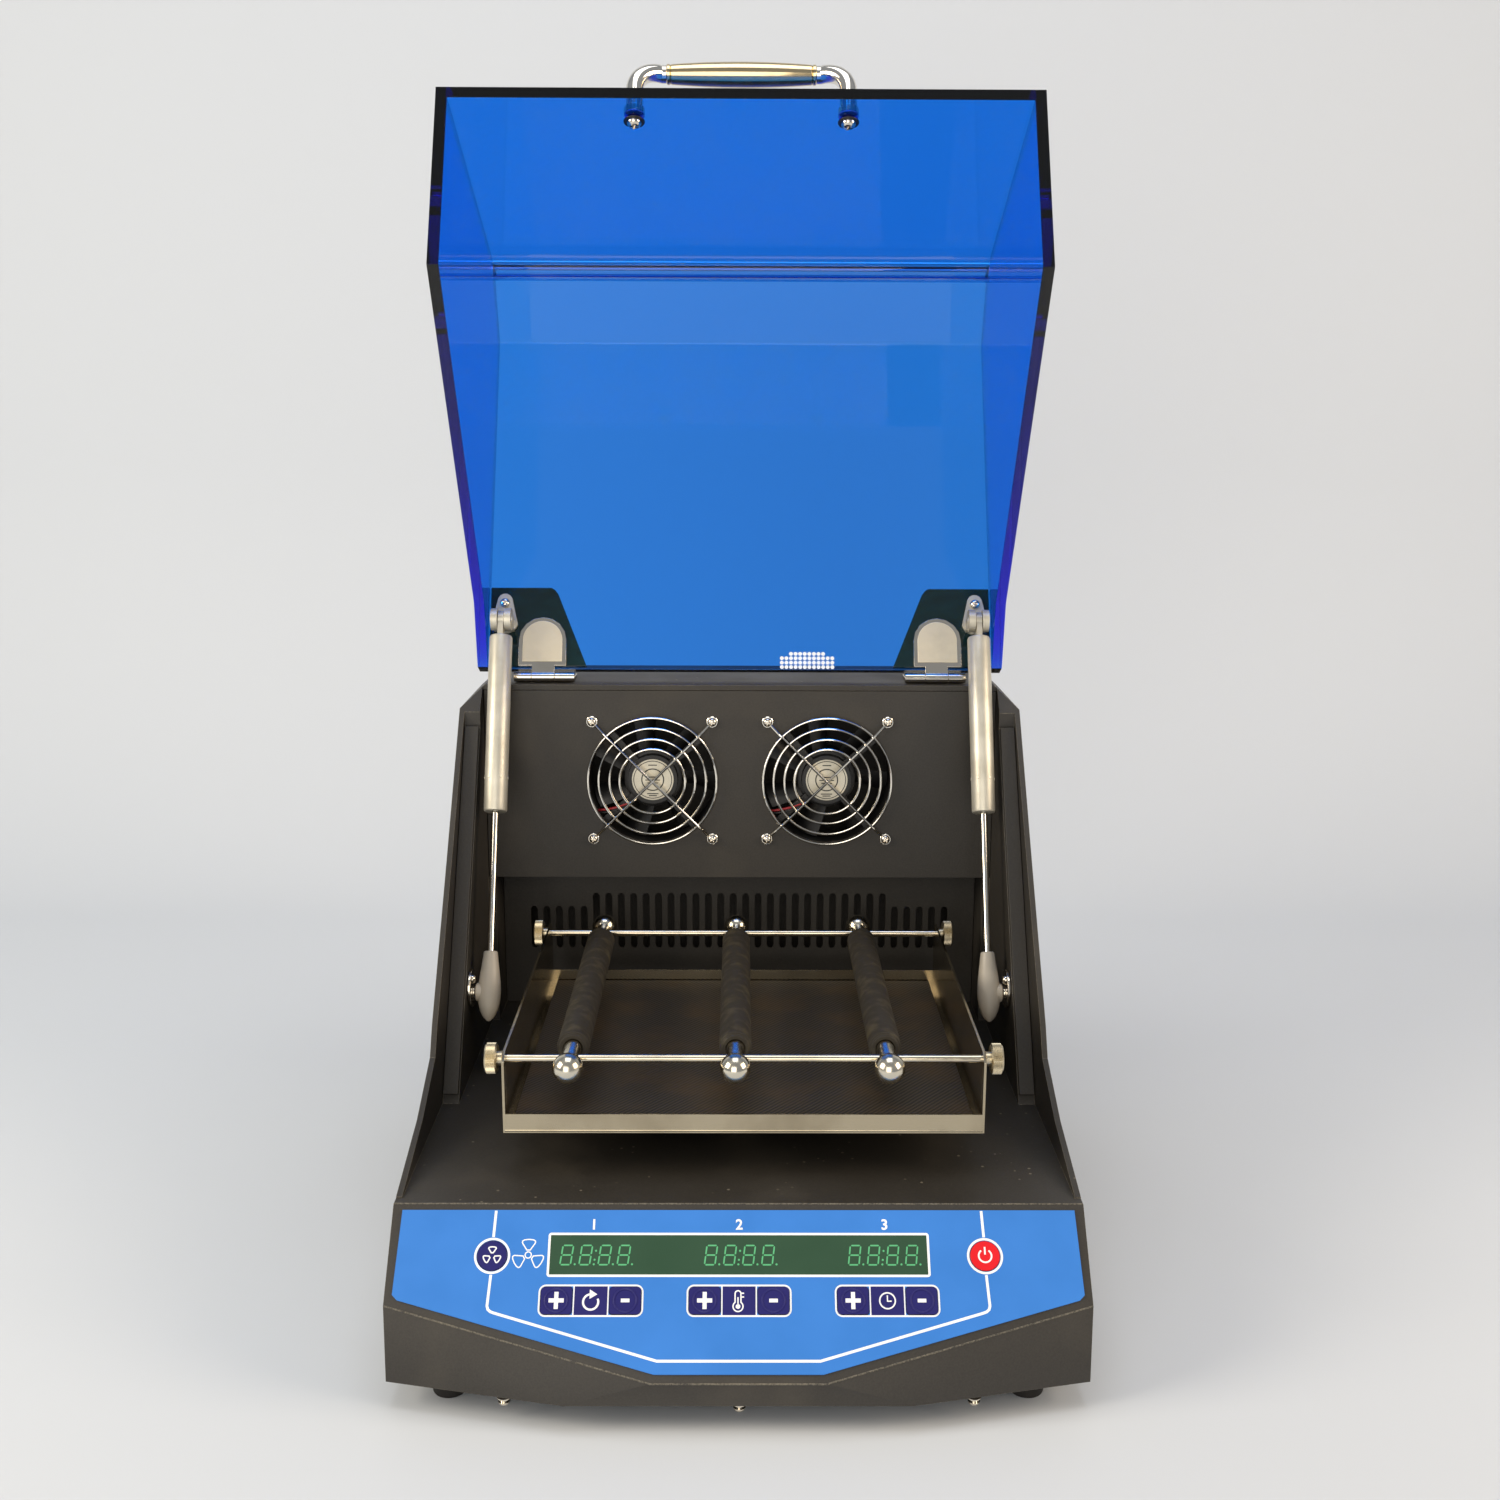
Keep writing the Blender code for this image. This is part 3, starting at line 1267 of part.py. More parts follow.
def build_handle():
    """Bow handle: two feet, two curved posts and a stepped, slightly swollen grip, as one loft."""
    outer = offset_line(lid_line(), ACRYLIC)
    free, bend = Vector(outer[-1]), Vector(outer[-2])
    back = (bend - free).normalized()
    out = Vector((-back.y, back.x))
    seat = free + back * HANDLE_FROM_EDGE

    def spot(x, lift, slide):
        point = seat + out * lift + back * slide
        return (x, point.x, point.y)

    pieces = []
    for side in (-1, 1):
        start = spot(side * HANDLE_X, FIT, 0)
        foot_top = spot(side * HANDLE_X, HANDLE_FOOT_HIGH, 0)
        pieces.append(rod(start, foot_top, HANDLE_FOOT, ROUND_STEPS))
        path = [spot(side * HANDLE_X, HANDLE_FOOT_HIGH / 2, 0)]
        straight = HANDLE_STAND - HANDLE_BEND
        for step in range(EGG_COUNT + 1):
            turn = RIGHT_ANGLE * step / EGG_COUNT
            path.append(
                spot(
                    side * (HANDLE_X - HANDLE_BEND * (1 - math.cos(turn))),
                    straight + HANDLE_BEND * math.sin(turn),
                    HANDLE_SWEEP * (1 - math.cos(turn)),
                )
            )
        path.append(spot(side * (GRIP_HALF - OVERCUT), HANDLE_STAND, HANDLE_SWEEP))
        pieces.append(wire(path, HANDLE_POST, steps=4))
    profile = [(0, -GRIP_HALF)]
    steps = EGG_COUNT + 2
    for step in range(steps + 1):
        share = 2 * step / steps - 1
        radius = GRIP_END + (GRIP_MID - GRIP_END) * (1 - share * share)
        profile.append((radius, share * (GRIP_HALF - GRIP_STEP)))
    profile.insert(1, (GRIP_END - GRIP_STEP / 3, -GRIP_HALF))
    profile.append((GRIP_END - GRIP_STEP / 3, GRIP_HALF))
    profile.append((0, GRIP_HALF))
    centre = spot(0, HANDLE_STAND, HANDLE_SWEEP)
    grip = turned(profile, centre, (1, 0, 0), ROUND_STEPS)
    handle = placed(joined(grip, *pieces), lid_turn())
    node(handle, "lid_handle", CHROME, hinge_point())


def tray_middle():
    """The crank pin axis, which is the middle of the tray."""
    return Vector((TRAY_X, (TRAY_FRONT_Y + TRAY_BACK_Y) / 2, TRAY_Z))


def crank_top():
    """The upper face of the crank disc."""
    return DECK_Z + DISC_GAP + DISC_THICK


def build_tray():
    """Folded tray with tall side plates, its mat, rails and thumb knobs."""
    low_x, high_x = TRAY_X - TRAY_HALF, TRAY_X + TRAY_HALF
    pivot = tray_middle()
    side = [
        (TRAY_FRONT_Y, TRAY_Z),
        (TRAY_BACK_Y, TRAY_Z),
        (TRAY_BACK_Y, PLATE_TOP_Z - PLATE_CORNER_Z),
        (TRAY_BACK_Y - PLATE_CORNER_Y / 2, PLATE_TOP_Z),
        (TRAY_FRONT_Y + PLATE_CORNER_Y, PLATE_TOP_Z),
        (TRAY_FRONT_Y, PLATE_TOP_Z - PLATE_CORNER_Z),
    ]
    tray = prism(side, low_x, high_x)
    inner_x = (low_x + TRAY_SHEET, high_x - TRAY_SHEET)
    above = PLATE_TOP_Z + OVERCUT
    hollow = block(
        (inner_x[0], TRAY_FRONT_Y + TRAY_SHEET, TRAY_Z + TRAY_SHEET),
        (inner_x[1], TRAY_BACK_Y - TRAY_SHEET, above),
    )
    gate = block(
        (inner_x[0], TRAY_FRONT_Y - OVERCUT, TRAY_Z + LIP_HIGH),
        (inner_x[1], TRAY_BACK_Y + OVERCUT, above),
    )
    slit_y = TRAY_FRONT_Y + SLIT_FROM_FRONT
    slits = block(
        (low_x - OVERCUT, slit_y, TRAY_Z + SLIT_LOW),
        (high_x + OVERCUT, slit_y + SLIT_WIDE, TRAY_Z + SLIT_HIGH),
    )
    tray = cut(tray, hollow, gate, slits)
    for y in (RAIL_FRONT_Y, RAIL_REAR_Y):
        bore = rod(
            (low_x - OVERCUT, y, RAIL_Z),
            (high_x + OVERCUT, y, RAIL_Z),
            RAIL_RADIUS + FIT,
        )
        tray = cut(tray, bore)
    bearing = turned(
        [
            (CRANK_PIN + FIT, crank_top() + BEARING_GAP),
            (BEARING_RADIUS, crank_top() + BEARING_GAP),
            (BEARING_RADIUS, TRAY_Z + FIT),
            (CRANK_PIN + FIT, TRAY_Z + FIT),
        ],
        (pivot.x, pivot.y, 0),
        (0, 0, 1),
        ring=True,
    )
    node(joined(tray, bearing), "tray", STEEL, pivot)

    mat = block(
        (
            inner_x[0] + MAT_SIDE_GAP,
            TRAY_FRONT_Y + TRAY_SHEET + MAT_END_GAP,
            TRAY_Z + TRAY_SHEET + FIT,
        ),
        (
            inner_x[1] - MAT_SIDE_GAP,
            TRAY_BACK_Y - TRAY_SHEET - MAT_END_GAP,
            TRAY_Z + TRAY_SHEET + FIT + MAT_THICK,
        ),
    )
    node(mat, "tray_mat", RUBBER, pivot)

    for end, y in (("front", RAIL_FRONT_Y), ("rear", RAIL_REAR_Y)):
        rail = rod(
            (low_x - RAIL_OUT, y, RAIL_Z),
            (high_x + RAIL_OUT, y, RAIL_Z),
            RAIL_RADIUS,
        )
        node(rail, f"rail_{end}", CHROME, pivot)
        for name, sign, edge in (("left", -1, low_x), ("right", 1, high_x)):
            centre = Vector((edge + sign * FIT, y, RAIL_Z))
            knob = build_knob(centre, sign)
            node(knob, f"knob_{end}_{name}", SATIN, centre)


def build_knob(centre, sign):
    """Straight-knurled thumb knob with a boss and a blind bore for the rail end."""
    loop = []
    for index in range(2 * KNOB_COUNT):
        radius = KNOB_RADIUS - (index % 2) * KNOB_GROOVE
        turn = math.pi * index / KNOB_COUNT
        loop.append((centre.y + radius * math.cos(turn), centre.z + radius * math.sin(turn)))
    near, far = sorted(
        (
            centre.x + sign * KNOB_NEAR,
            centre.x + sign * (KNOB_NEAR + KNOB_THICK),
        )
    )
    head = prism(loop, near, far)
    outward = Vector((sign, 0, 0))
    boss = rod(centre, centre + outward * (KNOB_NEAR + FIT), KNOB_BOSS)
    bore = rod(
        centre - outward * OVERCUT,
        centre + outward * RAIL_OUT,
        RAIL_RADIUS + FIT,
    )
    return cut(joined(head, boss), bore)


def build_bars():
    """Clamp bars: turned core with ball ends bored for both rails, inside a rubber sleeve."""
    front, rear = RAIL_FRONT_Y, RAIL_REAR_Y
    for name, share in zip(("left", "middle", "right"), BAR_SHARES):
        x = TRAY_X + share * TRAY_HALF
        origin = Vector((x, (front + rear) / 2, RAIL_Z))
        half = (rear - front) / 2
        ball = half + BALL_OUT
        neck_end = ball - BALL_RADIUS
        near = []
        for step in range(BALL_COUNT):
            turn = math.pi * step / BALL_COUNT
            radius = BALL_RADIUS * math.sin(turn)
            near.append((radius, ball + BALL_RADIUS * math.cos(turn)))
        near = [point for point in near if point[0] > BALL_COLLAR or point[1] > ball]
        far = [(BALL_COLLAR, neck_end), (NECK_RADIUS, neck_end - FIT)]
        top = near + far
        profile = top + [(radius, -height) for radius, height in reversed(top)]
        core = turned(profile, origin, (0, 1, 0), ROUND_STEPS)
        for y in (front, rear):
            bore = rod(
                (x - BALL_RADIUS - OVERCUT, y, RAIL_Z),
                (x + BALL_RADIUS + OVERCUT, y, RAIL_Z),
                RAIL_RADIUS + FIT,
            )
            core = cut(core, bore)
        node(core, f"clamp_bar_{name}", CHROME, origin)
        end = half - SLEEVE_FROM_RAIL
        ring = [
            (NECK_RADIUS + FIT, -end),
            (SLEEVE_RADIUS - SLEEVE_EDGE, -end),
            (SLEEVE_RADIUS, -end + SLEEVE_EDGE),
            (SLEEVE_RADIUS, end - SLEEVE_EDGE),
            (SLEEVE_RADIUS - SLEEVE_EDGE, end),
            (NECK_RADIUS + FIT, end),
        ]
        sleeve = turned(ring, origin, (0, 1, 0), ROUND_STEPS, ring=True)
        node(sleeve, f"bar_sleeve_{name}", RUBBER, origin)


def build_drive():
    """Motor on the base pan, crank through the deck and the bearing under the tray."""
    middle = tray_middle()
    axis = Vector((0, orbit_centre_y(), 0))
    floor = HOUSING_BOTTOM
    motor = turned(
        [
            (0, floor),
            (MOTOR_RADIUS, floor),
            (MOTOR_RADIUS, floor + MOTOR_HIGH),
            (0, floor + MOTOR_HIGH),
        ],
        axis,
        (0, 0, 1),
    )
    node(motor, "drive_motor", ALLOY)
    disc_low = DECK_Z + DISC_GAP
    disc_high = crank_top()
    crank = turned(
        [
            (0, floor + MOTOR_HIGH + FIT),
            (SHAFT_RADIUS, floor + MOTOR_HIGH + FIT),
            (SHAFT_RADIUS, disc_low),
            (DISC_RADIUS, disc_low),
            (DISC_RADIUS, disc_high),
            (0, disc_high),
        ],
        axis,
        (0, 0, 1),
    )
    pin = rod(
        (middle.x, middle.y, disc_high - FIT),
        (middle.x, middle.y, TRAY_Z - PIN_SHORT),
        CRANK_PIN,
    )
    origin = (0, orbit_centre_y(), DECK_Z)
    node(joined(crank, pin), "drive_crank", ALLOY, origin)


def keypad_piece(outline, name, kind, low, high, middle=(0, 0)):
    """A film drawn across and down the facet, set between two heights above it."""
    points = [(x, -down) for x, down in outline]
    film = placed(prism(points, low, high, "Z"), facet_matrix())
    origin = facet_point(middle[0], middle[1], low)
    return node(film, name, kind, origin)


def build_keypad():
    """Printed overlay with a display window and eight keys set in its openings."""
    outline = [
        (-OVERLAY_TOP_X, OVERLAY_TOP),
        (OVERLAY_TOP_X, OVERLAY_TOP),
        (OVERLAY_SIDE_X, OVERLAY_SIDE),
        (OVERLAY_CUT_X, OVERLAY_CUT),
        (OVERLAY_LOW_X, OVERLAY_LOW),
        (-OVERLAY_LOW_X, OVERLAY_LOW),
        (-OVERLAY_CUT_X, OVERLAY_CUT),
        (-OVERLAY_SIDE_X, OVERLAY_SIDE),
    ]
    low, high = FIT, FIT + FILM
    keys = [
        ("key_fan", -ROUND_KEY_X, ROUND_KEY_DOWN, KEY_NAVY, True),
        ("key_start", ROUND_KEY_X, ROUND_KEY_DOWN, KEY_RED, True),
    ]
    for group, share in zip(("speed", "temp", "time"), GROUP_SHARES):
        x = share * DISPLAY_HALF
        keys.append((f"key_{group}_up", x - KEY_FROM_MID, KEY_DOWN, KEY_NAVY, False))
        keys.append((f"key_{group}_down", x + KEY_FROM_MID, KEY_DOWN, KEY_NAVY, False))
    film = prism([(x, -down) for x, down in outline], low, high, "Z")
    window = rounded(-DISPLAY_HALF, -DISPLAY_LOW, DISPLAY_HALF, -DISPLAY_TOP, KEY_CORNER / 2)
    film = cut(film, prism(window, low - OVERCUT, high + OVERCUT, "Z"))
    for name, x, down, kind, is_round in keys:
        shapes = []
        for grow in (FIT, 0):
            if is_round:
                outline = arc((x, down), ROUND_KEY + grow, 0, 360, ROUND_STEPS)[:-1]
            else:
                outline = rounded(
                    x - KEY_HALF_WIDE - grow,
                    down - KEY_HALF_HIGH - grow,
                    x + KEY_HALF_WIDE + grow,
                    down + KEY_HALF_HIGH + grow,
                    KEY_CORNER,
                )
            shapes.append(outline)
        hole = [(a, -b) for a, b in shapes[0]]
        film = cut(film, prism(hole, low - OVERCUT, high + OVERCUT, "Z"))
        base = low + KEY_STAND
        keypad_piece(shapes[1], name, kind, base, base + FILM, (x, down))
    placed(film, facet_matrix())
    node(film, "control_overlay", FILM_BLUE)
    glass = rounded(
        -DISPLAY_HALF + FIT,
        DISPLAY_TOP + FIT,
        DISPLAY_HALF - FIT,
        DISPLAY_LOW - FIT,
        KEY_CORNER / 2,
    )
    keypad_piece(glass, "display_window", FILM_GREEN, low, high)


def centre_footprint():
    """Slides the whole assembly so that its footprint is centred on the world axis."""
    bpy.context.view_layer.update()
    corners = []
    for obj in bpy.context.scene.objects:
        corners += [obj.matrix_world @ vertex.co for vertex in obj.data.vertices]
    for axis in (0, 1):
        values = [corner[axis] for corner in corners]
        middle = (min(values) + max(values)) / 2
        for obj in bpy.context.scene.objects:
            obj.location[axis] -= middle


def main():
    """Clears the scene and builds every piece."""
    for obj in list(bpy.data.objects):
        bpy.data.objects.remove(obj, do_unlink=True)
    build_housing()
    build_base()
    build_rear_sockets()
    build_fan_wall()
    build_duct()
    build_seals()
    build_fans()
    build_lid()
    build_lid_fittings()
    build_struts()
    build_handle()
    build_tray()
    build_bars()
    build_drive()
    build_keypad()
    centre_footprint()


main()
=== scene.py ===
"""Looks of an incubated benchtop shaker with its tinted lid open.

Everything is drawn in millimetres: x to the right, y back from the fan wall, z up from the bench.
Shape.piece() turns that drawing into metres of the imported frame, so each piece lands on its CAD node.
"""

from __future__ import annotations

import functools
import json
import logging
import math
from collections.abc import Sequence
from dataclasses import dataclass, field
from enum import Enum

import bmesh  # noqa: E402
import bpy  # noqa: E402
from mathutils import Matrix, Vector  # noqa: E402

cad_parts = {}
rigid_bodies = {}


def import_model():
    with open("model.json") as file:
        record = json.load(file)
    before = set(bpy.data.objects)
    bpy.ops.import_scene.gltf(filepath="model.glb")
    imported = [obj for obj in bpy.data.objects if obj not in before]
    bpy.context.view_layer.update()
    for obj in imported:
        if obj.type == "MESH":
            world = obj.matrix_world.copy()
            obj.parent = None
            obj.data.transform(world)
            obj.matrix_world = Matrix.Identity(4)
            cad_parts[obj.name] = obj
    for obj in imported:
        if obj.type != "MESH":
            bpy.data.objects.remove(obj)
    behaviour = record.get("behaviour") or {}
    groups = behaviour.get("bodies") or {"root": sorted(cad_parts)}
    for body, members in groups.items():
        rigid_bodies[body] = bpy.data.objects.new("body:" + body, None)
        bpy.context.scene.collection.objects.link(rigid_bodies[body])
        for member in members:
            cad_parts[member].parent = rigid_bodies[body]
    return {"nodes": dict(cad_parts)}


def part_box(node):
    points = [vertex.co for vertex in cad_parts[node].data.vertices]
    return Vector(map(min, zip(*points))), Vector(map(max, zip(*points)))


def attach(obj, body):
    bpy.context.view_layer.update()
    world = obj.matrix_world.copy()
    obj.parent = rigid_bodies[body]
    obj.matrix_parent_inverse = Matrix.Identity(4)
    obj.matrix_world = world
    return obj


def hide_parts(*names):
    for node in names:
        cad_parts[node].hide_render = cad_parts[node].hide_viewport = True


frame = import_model()
log = logging.getLogger("shaker")

MM = 0.001
HOUSING_BACK_MM = 75.0
SHIFT_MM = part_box("housing_shell")[1][1] / MM - HOUSING_BACK_MM
TO_FRAME = Matrix.Scale(MM, 4) @ Matrix.Translation((0, SHIFT_MM, 0))
SMOOTH_ANGLE = math.radians(32)

Pair = tuple[float, float]
Spot = Sequence[float]
Place = tuple[Spot, Spot]
Socket = bpy.types.NodeSocket


class Axis(Enum):
    """The axis that an outline is pushed along."""

    X = "x"
    Y = "y"
    Z = "z"

    def place(self, a: float, b: float, c: float) -> Vector:
        """Puts an outline's pair and its height into world order.

        Args:
            a: The outline's first value.
            b: Its second value.
            c: How far along the axis.

        Returns:
            The point.
        """
        if self is Axis.X:
            return Vector((c, a, b))
        if self is Axis.Y:
            return Vector((a, c, b))
        return Vector((a, b, c))


class Side(Enum):
    """Left and right of the object as its user sees it."""

    LEFT = -1
    RIGHT = 1

    @property
    def word(self) -> str:
        """The side in the words of the node names."""
        return self.name.lower()


def linear(colour: str) -> tuple[float, float, float, float]:
    """Turns an sRGB hex colour into linear values.

    Args:
        colour: The colour as #rrggbb.

    Returns:
        Linear red, green, blue and an alpha of one.
    """
    shares = [int(colour[start : start + 2], 16) / 255 for start in (1, 3, 5)]
    flat = [c / 12.92 if c <= 0.04045 else ((c + 0.055) / 1.055) ** 2.4 for c in shares]
    return (flat[0], flat[1], flat[2], 1.0)


def add(
    tree: bpy.types.NodeTree, kind: str, settings: dict | None = None, links: dict | None = None
) -> bpy.types.Node:
    """Adds one node with its settings and links.

    Args:
        tree: The node tree that gets the node.
        kind: The node's Blender type.
        settings: Attributes of the node, or values of its inputs by name or index.
        links: Output sockets for its inputs, by name or index.

    Returns:
        The new node.
    """
    node = tree.nodes.new(kind)
    for key, value in (settings or {}).items():
        if isinstance(key, str) and hasattr(node, key):
            setattr(node, key, value)
        else:
            node.inputs[key].default_value = value
    for key, socket in (links or {}).items():
        tree.links.new(socket, node.inputs[key])
    return node


class MixSocket(Enum):
    """Where the colour sockets of a Mix node sit."""

    FIRST = 6
    SECOND = 7
    RESULT = 2


@dataclass(frozen=True)
class Skin:
    """A material being dressed: its tree, its shader and the Object coordinates that its patterns read."""

    tree: bpy.types.NodeTree
    shader: bpy.types.Node
    coords: Socket

    def noise(
        self, cell_mm: float, stretch: tuple[float, float, float] = (1, 1, 1), detail: float = 2.0
    ) -> Socket:
        """Noise whose cells have a real size.

        Args:
            cell_mm: The size of one cell in millimetres.
            stretch: How much finer the pattern is along each axis.
            detail: Octaves of finer noise.

        Returns:
            The noise value, from 0 to 1.
        """
        mapping = add(self.tree, "ShaderNodeMapping", {"Scale": stretch}, {"Vector": self.coords})
        settings = {"Scale": 1 / (cell_mm * MM), "Detail": detail}
        return add(self.tree, "ShaderNodeTexNoise", settings, {"Vector": mapping.outputs["Vector"]}).outputs["Fac"]

    def between(self, value: Socket, start: Pair, end: Pair) -> Socket:
        """Maps a value from one range to another, held at the ends.

        Args:
            value: The value.
            start: The range that it comes from.
            end: The range that it goes to.

        Returns:
            The mapped value.
        """
        ends = {"From Min": start[0], "From Max": start[1], "To Min": end[0], "To Max": end[1]}
        return add(self.tree, "ShaderNodeMapRange", ends, {"Value": value}).outputs["Result"]

    def times(self, first: Socket, second: Socket) -> Socket:
        """One value times another."""
        return add(self.tree, "ShaderNodeMath", {"operation": "MULTIPLY"}, {0: first, 1: second}).outputs["Value"]

    def tinted(self, share: Socket, first: str | Socket, second: str) -> Socket:
        """A colour between two others.

        Args:
            share: How much of the second there is, from 0 to 1.
            first: A hex colour, or a colour made before.
            second: A hex colour.

        Returns:
            The mixed colour.
        """
        settings = {"data_type": "RGBA", MixSocket.SECOND.value: linear(second)}
        links = {"Factor": share}
        if isinstance(first, str):
            settings[MixSocket.FIRST.value] = linear(first)
        else:
            links[MixSocket.FIRST.value] = first
        return add(self.tree, "ShaderNodeMix", settings, links).outputs[MixSocket.RESULT.value]

    def coloured(self, colour: Socket) -> None:
        """Lets a colour set the shader's base colour."""
        self.tree.links.new(colour, self.shader.inputs["Base Color"])

    def shaded(self, value: Socket, start: Pair, most: float, first: str, second: str) -> None:
        """Sets the base colour between two others by a value.

        Args:
            value: The value.
            start: Where the second colour starts and where it is at its most.
            most: Its largest share.
            first: The colour below that range.
            second: The colour that is mixed in.
        """
        self.coloured(self.tinted(self.between(value, start, (0, most)), first, second))

    def glossed(self, value: Socket, start: Pair, end: Pair) -> None:
        """Lets a value from one range set the roughness in another."""
        self.tree.links.new(self.between(value, start, end), self.shader.inputs["Roughness"])

    def raised(self, height: Socket, deep_mm: float, strength: float) -> None:
        """Gives the shader a bump of a real depth.

        Args:
            height: The height, from 0 to 1.
            deep_mm: How deep the bump is in millimetres.
            strength: How strongly it tilts the surface.
        """
        settings = {"Strength": strength, "Distance": deep_mm * MM}
        bump = add(self.tree, "ShaderNodeBump", settings, {"Height": height})
        self.tree.links.new(bump.outputs["Normal"], self.shader.inputs["Normal"])


@dataclass(frozen=True)
class Finish:
    """A real material, how its surface was made, and its slot in the record; each kind dresses itself."""

    name: str
    slot: str
    colour: str
    roughness: float = 0.5
    metallic: float = 0.0
    ior: float = 1.5

    def material(self) -> bpy.types.Material:
        """The Blender material, made once for each finish."""
        return made_material(self)

    def dress(self, skin: Skin) -> None:
        """Adds nothing: a kind of finish puts its own nodes here."""

    def rough(self, less: float, more: float) -> Pair:
        """A range round the finish's own roughness."""
        return (self.roughness - less, self.roughness + more)


@functools.cache
def made_material(finish: Finish) -> bpy.types.Material:
    """Builds the material of a finish.

    Args:
        finish: The finish to build.

    Returns:
        A material with one Principled shader, dressed by the finish.
    """
    material = bpy.data.materials.new(finish.name)
    material.use_nodes = True
    tree = material.node_tree
    shader = tree.nodes["Principled BSDF"]
    shader.inputs["Base Color"].default_value = linear(finish.colour)
    shader.inputs["Roughness"].default_value = finish.roughness
    shader.inputs["Metallic"].default_value = finish.metallic
    if not finish.metallic:
        shader.inputs["IOR"].default_value = finish.ior
    finish.dress(Skin(tree, shader, add(tree, "ShaderNodeTexCoord").outputs["Object"]))
    return material


@dataclass(frozen=True)
class PowderCoat(Finish):
    """Polyester powder baked on steel: dark warm grey with a fine orange peel and a few dusty scuffs."""

    speckle: str = "#2a2723"
    dusty: str = "#4d483f"
    crumbs: str = "#8a8273"
    peel_mm: float = 0.9
    cloud_mm: float = 60.0
    crumb_cell_mm: float = 6.5
    crumb_patch_mm: float = 42.0

    def dress(self, skin: Skin) -> None:
        """Adds orange peel, speckled colour, faint dust, and crumbs on level faces only.

        Args:
            skin: The material to dress.
        """
        speck = skin.noise(self.peel_mm)
        cloud = skin.noise(self.cloud_mm, detail=4.0)
        base = skin.tinted(skin.between(speck, (0.3, 0.7), (0, 1)), self.colour, self.speckle)
        worn = skin.tinted(skin.between(cloud, (0.58, 0.78), (0, 0.35)), base, self.dusty)
        cells = add(
            skin.tree,
            "ShaderNodeTexVoronoi",
            {"Scale": 1 / (self.crumb_cell_mm * MM), "Randomness": 1.0},
            {"Vector": skin.coords},
        )
        crumb = skin.between(cells.outputs["Distance"], (0.09, 0.13), (1, 0))
        where = skin.between(skin.noise(self.crumb_patch_mm), (0.5, 0.58), (0, 0.6))
        face = add(skin.tree, "ShaderNodeNewGeometry")
        split = add(skin.tree, "ShaderNodeSeparateXYZ", links={"Vector": face.outputs["Normal"]})
        level = skin.between(split.outputs["Z"], (0.9, 0.98), (0, 1))
        fallen = skin.times(skin.times(crumb, where), level)
        skin.coloured(skin.tinted(fallen, worn, self.crumbs))
        skin.glossed(cloud, (0.3, 0.7), self.rough(0.06, 0.08))
        skin.raised(speck, 0.12, 0.35)


@dataclass(frozen=True)
class CastAcrylic(Finish):
    """Clear cast acrylic dyed right through: colour deepens with the way that light travels in it."""

    dye: str = "#27d2fd"
    density: float = 600.0
    wipe_mm: float = 45.0

    def dress(self, skin: Skin) -> None:
        """Adds a glassy surface with faint wiping marks, and the dye as absorption in the volume.

        Args:
            skin: The material to dress.
        """
        skin.shader.inputs["Transmission Weight"].default_value = 1.0
        absorb = add(skin.tree, "ShaderNodeVolumeAbsorption", {"Color": linear(self.dye), "Density": self.density})
        output = skin.tree.nodes["Material Output"]
        skin.tree.links.new(absorb.outputs["Volume"], output.inputs["Volume"])
        skin.glossed(skin.noise(self.wipe_mm, detail=3.0), (0.35, 0.8), self.rough(0, 0.03))


@dataclass(frozen=True)
class SmokedAcrylic(Finish):
    """Thin dark acrylic plate, nearly opaque, that lets a little teal light through."""

    through: float = 0.35
    teal: str = "#16484a"
    wipe_mm: float = 12.0

    def dress(self, skin: Skin) -> None:
        """Lets some light through, with fine wiping marks in gloss and colour.

        Args:
            skin: The material to dress.
        """
        skin.shader.inputs["Transmission Weight"].default_value = self.through
        wipe = skin.noise(self.wipe_mm, (1, 6, 1), 3.0)
        skin.glossed(wipe, (0.3, 0.75), self.rough(0, 0.1))
        skin.shaded(wipe, (0.4, 0.8), 0.4, self.colour, self.teal)


@dataclass(frozen=True)
class RolledSteel(Finish):
    """Cold-rolled stainless sheet with its mill finish: long faint streaks and soft reflections."""

    streak: tuple[float, float, float] = (0.04, 1.0, 1.0)
    stained: str = "#857861"
    grain_mm: float = 0.6
    cloud_mm: float = 38.0

    def dress(self, skin: Skin) -> None:
        """Adds streaks along the rolling direction, and a few tarnished patches.

        Args:
            skin: The material to dress.
        """
        grain = skin.noise(self.grain_mm, self.streak, 3.0)
        cloud = skin.noise(self.cloud_mm, detail=4.0)
        skin.shaded(cloud, (0.5, 0.75), 0.55, self.colour, self.stained)
        skin.glossed(grain, (0.3, 0.7), self.rough(0.07, 0.09))
        skin.raised(grain, 0.02, 0.25)


@dataclass(frozen=True)
class Plated(Finish):
    """Nickel-chrome plate on polished steel: a clear mirror with finger smudges."""

    smudge_mm: float = 9.0
    smudge: str = "#a9a08e"

    def dress(self, skin: Skin) -> None:
        """Dulls the mirror a little in soft patches.

        Args:
            skin: The material to dress.
        """
        smear = skin.noise(self.smudge_mm, detail=4.0)
        skin.glossed(smear, (0.4, 0.75), self.rough(0, 0.12))
        skin.shaded(smear, (0.5, 0.8), 0.3, self.colour, self.smudge)


